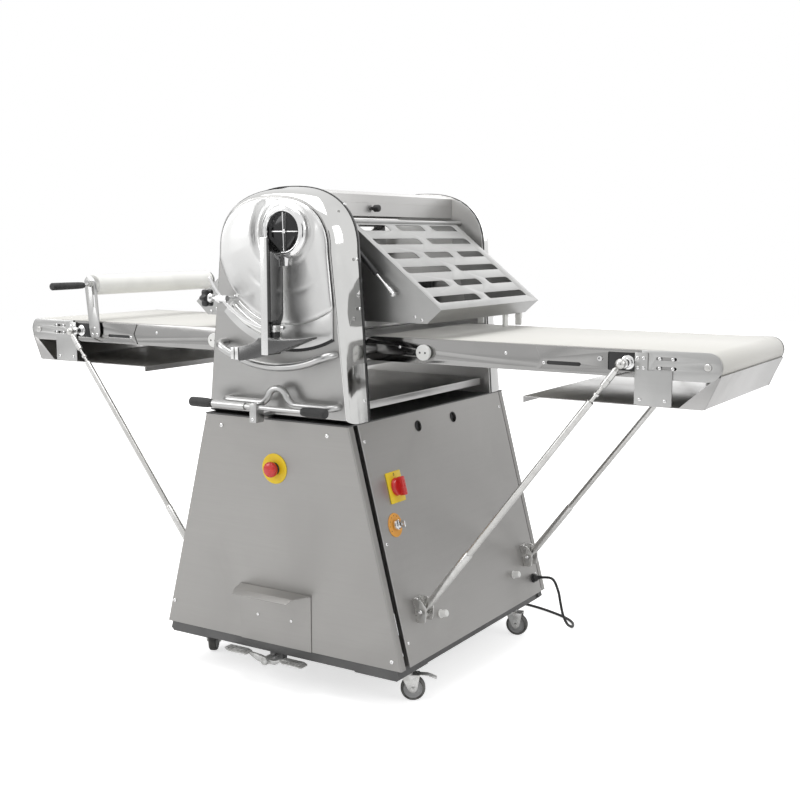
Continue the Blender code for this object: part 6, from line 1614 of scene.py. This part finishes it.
def sidePanel(label, side):
    flange, sheet = cabinet["flange"], cabinet["sheet"]
    near, far = cabinet["sideNear"], cabinet["sideFar"]

    def section(z):
        outer = baseHalf(z)
        return [(side * x, y, z) for x, y in (
            (outer, near + 0.0012), (outer, far - 0.0012), (outer - 0.0012, far), (outer - flange, far),
            (outer - flange, far - sheet), (outer - sheet, far - sheet), (outer - sheet, near + sheet),
            (outer - flange, near + sheet), (outer - flange, near), (outer - 0.0012, near))]

    panel = ringStack(f"{label}_panel", [section(base["bottom"]), section(base["top"])])
    holes = [(y, cabinet["ventZ"], cabinet["vent"]) for y in cabinet["vents"]]
    if side > 0:
        holes += [(*cabinet["switch"], cabinet["hole"]), (*cabinet["key"], cabinet["hole"])]
    outward = Vector((side * lean.x, 0, lean.z))
    for y, z, radius in holes:
        pierce(panel, onPanel(side, y, z, -0.012), outward, radius)
    paint(panel, "panelSide")
    finishPiece(panel, f"{label}_side_sheet", "root", [f"{label}_side_panel"])
    rims = [turned("vent_rim", [(0.0, 0.0128), (0.0006, 0.015), (0.0014, 0.0146), (0.0016, 0.0132),
                                (0.0004, 0.0122)],
                   onPanel(side, y, cabinet["ventZ"]), outward, 40, ring=True) for y in cabinet["vents"]]
    linings = [turned("vent_lining", [(0.0, 0.012), (0.0008, 0.012)],
                      onPanel(side, y, cabinet["ventZ"], -0.0052),
                      outward, 32) for y in cabinet["vents"]]
    finishPiece(paint(joined("vent_rims", [*rims, *linings]), "blackPlasticAndShade"), f"{label}_vent_plugs",
                "root")
    knobs = [turned("bumper", [(0.0, 0.0112), (0.002, 0.0112), (0.0026, 0.0094), (0.018, 0.0094),
                               (0.02, 0.008)],
                    onPanel(side, y, cabinet["bumperZ"]), outward, 32) for y in cabinet["bumpers"]]
    finishPiece(paint(joined("bumpers", knobs), "nylon"), f"{label}_panel_bumpers", "root")
    clevises, heads = [], []
    footX, footZ = strut["foot"]
    low, high = footZ - 0.029, footZ + 0.031
    for y in table["strutY"]:
        for ear in (-1, 1):
            outer = y + ear * strut["half"]
            y0, y1 = sorted((outer, outer - ear * 0.003))
            outline = rounded([(baseHalf(low), low), (baseHalf(low) + 0.022, low),
                               (footX + 0.016, footZ - 0.012),
                               (footX + 0.016, footZ + 0.012), (baseHalf(high) + 0.022, high),
                               (baseHalf(high), high)],
                              [0.0, 0.006, 0.008, 0.008, 0.006, 0.0], 4)
            clevises.append(plateY("ear", [mirrored(side, outline),
                                           mirrored(side, circle(footX, footZ, 0.0046, 20))],
                                   y0, y1, 0.0005))
            heads.append((Vector((side * footX, outer + ear * 0.0016, footZ)), (0, ear, 0), "button"))
        rise = Vector((-side * lean.z, 0, lean.x))
        clevises.append(plate("back_plate", [rounded([(-0.0185, -0.029), (0.0185, -0.029), (0.0185, 0.031),
                                                      (-0.0185, 0.031)], 0.003)],
                              0.0026, 0.0005, onPanel(side, y, footZ), Vector((0, side, 0)), rise))
        for shift in (-0.021, 0.023):
            heads.append((onPanel(side, y, footZ + shift, 0.0024), outward, "small"))
    finishPiece(paint(joined("clevises", clevises), "zinc"), f"{label}_clevises", "root")
    for y in (-0.352, 0.366):
        for z in (0.17, 0.41, 0.66):
            heads.append((onPanel(side, y, z, -0.0002), outward, "small"))
    screws(f"{label}_panel_screws", heads, "root")


for label, side in sides:
    sidePanel(label, side)
frontHeads = [((x, -base["halfDepth"] + 0.0002, z), front, "button")
              for x, z in ((-0.172, 0.675), (0.164, 0.676), (-0.351, 0.176), (0.351, 0.137))]
frontHeads += [((x, base["halfDepth"] - 0.0002, z), back, "button")
               for x, z in ((-0.172, 0.675), (0.172, 0.675), (-0.345, 0.15), (0.345, 0.15))]
screws("panel_screws", frontHeads, "root")
louvers = []  # pressed louvres that let the motor breathe
for row in range(7):
    z = 0.3 + 0.022 * row
    profile = [(0.0, 0.0), (0.0, 0.01), (-0.006, 0.0035), (-0.0062, 0.0)]
    louvers.append(plateX("louver", [[(base["halfDepth"] - 0.0005 - y, z + h) for y, h in profile]], -0.085,
                          0.085, 0.0003))
finishPiece(paint(joined("rear_louvers", louvers), "panelFront"), "rear_louvers", "root")

# kick cover with its visor
kick = {"left": -0.117, "right": 0.11, "top": 0.263, "reach": 0.049, "lip": 0.0175, "sheet": 0.002}
backY = -base["halfDepth"] - 0.0003
faceY = backY - kick["sheet"]
tip = faceY - kick["reach"]
profile = [(backY, base["bottom"]), (backY, kick["top"] - 0.002), (backY - 0.002, kick["top"]),
           (tip + 0.002, kick["top"]),
           (tip - 0.001, kick["top"] - 0.0007), (tip - kick["lip"], kick["top"] - 0.009),
           (tip - kick["lip"] + 0.001, kick["top"] - 0.0108), (tip + 0.0004, kick["top"] - kick["sheet"]),
           (faceY - 0.002, kick["top"] - kick["sheet"]), (faceY, kick["top"] - kick["sheet"] - 0.002),
           (faceY, base["bottom"])]
kickCover = plateX("pedal_cover_sheet", [profile], kick["left"], kick["right"], 0.0004)
for vert in kickCover.data.vertices:  # visor corners cut back towards its lip
    if vert.co.z > kick["top"] - 0.013 and vert.co.y < faceY - 0.004:
        share = (faceY - vert.co.y) / (kick["reach"] + kick["lip"])
        for edge, inward in ((kick["left"], 1), (kick["right"], -1)):
            if abs(vert.co.x - edge) < 0.002:
                vert.co.x += inward * 0.027 * share
finishPiece(paint(kickCover, "panelFront"), "pedal_cover_sheet", "root", ["pedal_cover"])
screws("pedal_cover_screws", [((x, faceY + 0.0002, 0.187), front, "small") for x in (-0.06, 0.048)], "root")

# foot pedal: cast rocker with two treads
pedal = {"x": -0.016, "z": 0.078, "y": -0.428, "front": -0.452, "back": -0.4115}
rocker = [(-0.15, 0.09), (-0.076, 0.0905), (-0.04, 0.088), (0.008, 0.08), (0.034, 0.09), (0.106, 0.087),
          (0.106, 0.084), (0.036, 0.0868), (0.012, 0.07), (-0.044, 0.07), (-0.078, 0.0875), (-0.15, 0.087)]
parts = [plateY("rocker", [rounded(rocker, 0.006, 3)], -0.4355, -0.4245, 0.002)]
for x0, x1, z in ((-0.152, -0.07, 0.0869), (0.03, 0.108, 0.0845)):
    pad = [(x0, pedal["front"] + 0.012), (x0 + 0.022, pedal["front"]), (x1, pedal["front"]),
           (x1, pedal["back"] - 0.01),
           (x1 - 0.02, pedal["back"]), (x0, pedal["back"])]
    parts.append(plateZ("tread_pad", [rounded(pad, 0.005, 3)], z, z + 0.0032, 0.0009))
    for k in range(6):
        x = x0 + 0.014 + k * (x1 - x0 - 0.028) / 5
        parts.append(block("tread_rib", (x - 0.0011, pedal["front"] + 0.008, z + 0.0028),
                           (x + 0.0011, pedal["back"] - 0.008, z + 0.0042), 0.0005))
parts.append(turned("pedal_hub", [(0.0, 0.0095), (0.0012, 0.0108), (0.0288, 0.0108), (0.03, 0.0095)],
                    (pedal["x"], -0.445, pedal["z"]), back, 32))
parts.append(turned("pedal_axle", [(0.0, 0.005), (0.05, 0.005), (0.0505, 0.0044)],
                    (pedal["x"], -0.4165, pedal["z"]), back, 24))
finishPiece(paint(joined("foot_pedal_cast", parts), "castGrey"), "foot_pedal_cast",
            "foot_pedal",
            ["foot_pedal"], 30)

# controls
stopFace = -base["halfDepth"]
stopPlate = turned("stop_plate", [(0.0, 0.0388), (0.001, 0.039), (0.0016, 0.0384), (0.0016, 0.0165),
                                  (0.0034, 0.016),
                                  (0.005, 0.015), (0.005, 0.0112)],
                   (0, stopFace - 0.0002, cabinet["stop"]), front, 64)
paint(stopPlate, "yellowPlate")
paint(stopPlate, "blackPlasticAndShade", lambda centre, normal: hypot(centre.x,
                                                              centre.z - cabinet["stop"]) < 0.0163)
finishPiece(stopPlate, "stop_plate", "root")
stopHead = turned("stop_head", [(0.0, 0.0098), (0.021, 0.0098), (0.0222, 0.015), (0.0236, 0.0186),
                                (0.0262, 0.0199),
                                (0.03, 0.02), (0.033, 0.0194), (0.0356, 0.0176), (0.0376, 0.014),
                                (0.0387, 0.008),
                                (0.039, 0.0)], (0, stopFace + 0.012, cabinet["stop"]), front, 48)
finishPiece(paint(stopHead, "redPlastic"), "stop_head", "stop_button", ["stop_button"], 60)
arrows = []  # ring of three turn marks
for k in range(3):
    loop = band(0, 0, 0.0118, 0.0138, 120 * k + 8, 120 * k + 82, 12)
    arrows.append(plate("turn_mark", [loop], 0.0004, 0.0001, (0, stopFace - 0.0249, cabinet["stop"]),
                        (1, 0, 0), (0, 0, 1)))
finishPiece(paint(joined("stop_marks", arrows), "nylon"), "stop_marks", "stop_button")

outward, rise = Vector((lean.x, 0, lean.z)), Vector((-lean.z, 0, lean.x))
switchAt, keyAt = onPanel(1, *cabinet["switch"]), onPanel(1, *cabinet["key"])
isolatorPlate = plate("isolator_plate", [rounded([(-0.033, -0.0395), (0.033, -0.0395), (0.033, 0.0395),
                                                  (-0.033, 0.0395)],
                                                 0.004, 4)], 0.0034, 0.0009, switchAt, (0, 1, 0), rise)
finishPiece(paint(isolatorPlate, "yellowPlate"), "isolator_plate", "root")
knob = turned("isolator_base", [(0.0036, 0.01), (0.004, 0.0225), (0.005, 0.0232), (0.014, 0.022),
                                (0.0158, 0.0205)],
              switchAt, outward, 48)
stem = turned("isolator_stem", [(-0.0115, 0.0098), (0.0045, 0.0098)], switchAt, outward, 24)
wing = plate("isolator_wing", [rounded([(-0.0068, -0.024), (0.0068, -0.024), (0.0068, 0.024),
                                        (-0.0068, 0.024)], 0.0045, 4)],
             0.016, 0.0014, switchAt + outward * 0.014, (0, 1, 0), rise)
finishPiece(paint(joined("isolator_knob_red", [knob, stem, wing]), "redPlastic"), "isolator_knob_red",
            "isolator_knob",
            ["isolator_knob"], 35)
figures = []
for text, y, z in (("0", 0.0, 0.0315), ("1", 0.0262, 0.0)):  # plain positions of the switch
    bpy.ops.object.text_add(location=(0, 0, 0))
    figure = bpy.context.active_object
    figure.data.body = text
    figure.data.size = 0.0105
    figure.data.extrude = 0.0002
    figure.data.align_x = "CENTER"
    figure.data.align_y = "CENTER"
    figure = cleanMesh(toMesh(figure), 0.000001)
    figures.append(applyPlace(figure, switchAt + outward * 0.0036 + Vector((0, y, 0)) + rise * z,
                              (0, 1, 0), rise))
finishPiece(paint(joined("isolator_figures", figures), "blackPlasticAndShade"), "isolator_figures", "root")
keyPlate = turned("key_plate", [(0.0, 0.03), (0.0008, 0.0304), (0.0016, 0.0298), (0.0016, 0.014)],
                  keyAt - outward * 0.0001,
                  outward, 64)
finishPiece(paint(keyPlate, "orangePlate"), "key_plate", "root")
ticks = []
for k in range(9):
    turn = radians(210 - 30 * k)
    spotOn = keyAt + outward * 0.0015 + Vector((0, 0.0235 * cos(turn), 0)) + rise * 0.0235 * sin(turn)
    ticks.append(turned("tick", [(0.0, 0.0011), (0.0003, 0.0011)], spotOn, outward, 12))
finishPiece(paint(joined("key_ticks", ticks), "blackPlasticAndShade"), "key_ticks", "root")
keyBody = turned("key_body", [(-0.0115, 0.0098), (0.0038, 0.0098), (0.004, 0.0132), (0.006, 0.0134),
                              (0.011, 0.0122),
                              (0.012, 0.0108), (0.012, 0.007), (0.0104, 0.0066), (0.0104, 0.0)],
                 keyAt, outward, 40)
bow = plate("key_bow", [rounded([(-0.01, 0.011), (0.01, 0.011), (0.0095, 0.031),
                                 (-0.0095, 0.031)], 0.006, 5),
                        circle(0, 0.024, 0.0034, 20)], 0.0022, 0.0005, keyAt + Vector((0, -0.0011, 0)) ,
            rise, outward)
finishPiece(paint(joined("key_switch_steel", [keyBody, bow]), "chrome"), "key_switch_steel",
            "key_switch",
            ["key_switch"])
print("cabinet and controls made")

# castors
caster = {"wheel": 0.0315, "width": 0.022, "trail": 0.02,
          "places": {"front_right": (0.322, -0.3, 31), "front_left": (-0.318, -0.296, 118),
                     "rear_right": (0.322, 0.29, 12), "rear_left": (-0.322, 0.29, 150)}}


def moved(parts, matrix):
    for part in parts:
        part.matrix_world = matrix
        only(part)
        bpy.ops.object.transform_apply(location=True, rotation=True, scale=True)
    return parts


def makeCaster(label, x, y, angle):
    trail, radius, half = caster["trail"], caster["wheel"], caster["width"] / 2
    place = Matrix.Translation((x, y, 0)) @ Matrix.Rotation(radians(angle), 4, "Z")
    parts = [turned("swivel", [(0.0668, 0.006), (0.068, 0.0196), (0.0705, 0.02), (0.073, 0.018),
                               (0.0745, 0.018),
                               (0.0765, 0.02), (0.085, 0.02), (0.0876, 0.0184)], (0, 0, 0), (0, 0, 1), 40),
             plateZ("crown", [rounded([(-0.012, -0.0163), (0.0375, -0.0163), (0.0375, 0.0163),
                                       (-0.012, 0.0163)], 0.006, 4)],
                    0.0668, 0.0694, 0.0008)]
    for ear in (-1, 1):
        leg = [(-0.0115, 0.069), (trail - 0.011, radius - 0.004), (trail - 0.003, radius - 0.0092),
               (trail + 0.003, radius - 0.0092), (trail + 0.011, radius - 0.001), (trail + 0.0175, 0.069)]
        y0, y1 = sorted((ear * (half + 0.0031), ear * (half + 0.0054)))
        parts.append(plateY("leg", [rounded(leg, [0, 0.005, 0.004, 0.004, 0.005, 0], 4)], y0, y1, 0.0006))
    nut = [(0.0, 0.0072), (0.003, 0.0072), (0.0036, 0.006), (0.0036, 0.004), (0.0052, 0.0036)]
    parts.append(turned("axle", [(0.0, 0.0039), (2 * half + 0.012, 0.0039)],
                        (trail, -half - 0.006, radius), back, 20))
    for ear in (-1, 1):
        parts.append(turned("axle_nut", nut, (trail, ear * (half + 0.0052), radius), (0, ear, 0), 6))
    moved(parts, place)
    fork = paint(joined("fork", parts), "zinc")
    finishPiece(fork, f"caster_fork_{label}_steel", f"caster_fork_{label}",
                [f"caster_fork_{label}"], 30)
    if label.startswith("front"):
        tread = [(0.034, 0.0676), (0.056, 0.065), (0.069, 0.0604), (0.0786, 0.056), (0.08, 0.0582),
                 (0.07, 0.063),
                 (0.057, 0.0676), (0.034, 0.0692)]
        brake = moved([plateY("brake", [tread], -0.0108, 0.0108, 0.0008)], place)[0]
        finishPiece(paint(brake, "castGrey"), f"caster_brake_{label}", f"caster_fork_{label}")
    wheel = turned("wheel", [(0.0, 0.0046), (0.0, 0.0085), (0.0014, 0.0098), (0.0032, 0.02),
                             (0.001, 0.0225), (0.0008, 0.024),
                             (2 * half - 0.0008, 0.024), (2 * half - 0.001, 0.0225),
                             (2 * half - 0.0032, 0.02),
                             (2 * half - 0.0014, 0.0098), (2 * half, 0.0085), (2 * half, 0.0046)],
                   (trail, -half, radius), back, 48, ring=True)
    tyre = turned("tyre", [(0.0003, 0.0242), (0.0008, 0.0285), (0.0034, 0.031), (0.007, 0.0315),
                           (2 * half - 0.007, 0.0315),
                           (2 * half - 0.0034, 0.031), (2 * half - 0.0008, 0.0285),
                           (2 * half - 0.0003, 0.0242)],
                  (trail, -half, radius), back, 56, ring=True)
    moved([wheel, tyre], place)
    finishPiece(paint(wheel, "wheelCore"), f"caster_core_{label}", f"caster_wheel_{label}")
    finishPiece(paint(tyre, "tread"), f"caster_tyre_{label}", f"caster_wheel_{label}",
                [f"caster_wheel_{label}"])


for label, (x, y, angle) in caster["places"].items():
    makeCaster(label, x, y, angle)
print("castors made")

# cord, strain relief, coil and plug


def smoothRoute(points, spacing):  # even points on a smooth curve through the route
    padded = [2 * points[0] - points[1], *points, 2 * points[-1] - points[-2]]
    fine = []
    for a, b, c, d in zip(padded, padded[1:], padded[2:], padded[3:]):
        for k in range(12):
            t = k / 12
            fine.append(0.5 * (2 * b + (c - a) * t + (2 * a - 5 * b + 4 * c - d) * t * t
                               + (3 * b - a - 3 * c + d) * t ** 3))
    fine.append(points[-1].copy())
    total = sum((b - a).length for a, b in zip(fine, fine[1:]))
    count = ceil(total / spacing)
    even = [fine[0]]
    walked, target = 0.0, total / count
    for a, b in zip(fine, fine[1:]):
        stretch = (b - a).length
        while walked + stretch >= target - 1e-9 and len(even) < count:
            even.append(a.lerp(b, (target - walked) / stretch))
            target += total / count
        walked += stretch
    even.append(fine[-1])
    return even


def coilPoints():  # four turns, two beside two, from the cord's end to the plug
    radius, turnsLeft = cord["radius"], cord["turns"]
    outer, inner = cord["coilRadius"] + radius + 0.0004, cord["coilRadius"] - radius - 0.0004
    points = []
    for k in range(turnsLeft * 24 + 1):
        lap = k / 24
        reach = outer + (inner - outer) * (smooth(lap, 0.86, 1.14) - smooth(lap, 1.86, 2.14)
                                           + smooth(lap, 2.86, 3.14))
        height = 0.0046 + 2 * radius * smooth(lap, 1.8, 2.2)
        turn = pi / 2 + 2 * pi * lap
        points.append(Vector((coilX + reach * cos(turn), coilY + reach * sin(turn), height)))
    return points


wound = coilPoints()
lead = smoothRoute(cordRoute[:-1], 0.01)
joinIn = [Vector((coilX + 0.03, coilY + 0.0555, 0.005))]
plugEntry = Vector((coilX - cord["coilRadius"] - cord["coilHalf"] - 0.0007, coilY - 0.006, 0.0125))
tail = [Vector((coilX - 0.018, coilY + 0.0412, 0.0126)), Vector((coilX - 0.034, coilY + 0.03, 0.0127)),
        Vector((coilX - 0.0435, coilY + 0.013, 0.0127)), plugEntry
        + Vector((0.0055, 0.0012, 0.0)), plugEntry]
allPoints = smoothRoute([*lead[:-2:4], lead[-1], *joinIn, *wound[::2], *tail], 0.006)
cordPiece = drawn("cord_line", [allPoints], False, False)
cordPiece.data.bevel_depth = cord["radius"]
cordPiece.data.bevel_resolution = 4
cordPiece.data.use_fill_caps = True
cordPiece.data.materials.append(materials["cordRubber"])
only(cordPiece)
cordPiece.location.y = middleY
bpy.ops.object.transform_apply(location=True, rotation=True, scale=True)
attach(cordPiece, "root")
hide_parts("power_cord", "cord_coil")

# strain relief and plug
glandFoot = onPanel(1, *cord["gland"])
gland = turned("gland", [(0.0, 0.0135), (0.002, 0.0138), (0.003, 0.0128), (0.003, 0.011), (0.011, 0.011),
                         (0.0118, 0.0098), (0.0134, 0.0092), (0.016, 0.007), (0.025, 0.0055)],
               glandFoot, lean, 32)
finishPiece(paint(gland, "blackPlasticAndShade"), "cord_gland", "root")
plugBody = turned("plug_body", [(0.0, 0.0048), (0.001, 0.0056), (0.02, 0.0074), (0.0215, 0.0092),
                                (0.023, 0.01),
                                (0.04, 0.0118), (0.0545, 0.012), (0.057, 0.0118), (0.058, 0.0108)],
                  plugEntry - Vector((0.0002, 0, 0)), (-1, 0, 0), 40)
ridges = [turned("plug_ridge", [(0.0, 0.0104), (0.0006, 0.0112), (0.0022, 0.0112), (0.0028, 0.0106)],
                 plugEntry + Vector((-0.0265 - 0.0042 * k, 0, 0)), (-1, 0, 0), 32) for k in range(3)]
finishPiece(paint(joined("plug_shell", [plugBody, *ridges]), "blackRubber"), "plug_shell", "root",
            ["power_plug"])
pins = [turned("plug_pin", [(0.0, 0.0022), (0.0185, 0.0022), (0.0195, 0.0014)],
               plugEntry + Vector((-0.0572, y, 0)), (-1, 0, 0), 16) for y in (-0.0055, 0.0055)]
finishPiece(paint(joined("plug_pins", pins), "chrome"), "plug_pins", "root")
print("cord made")
for master in masterScrews.values():
    bpy.data.objects.remove(master, do_unlink=True)
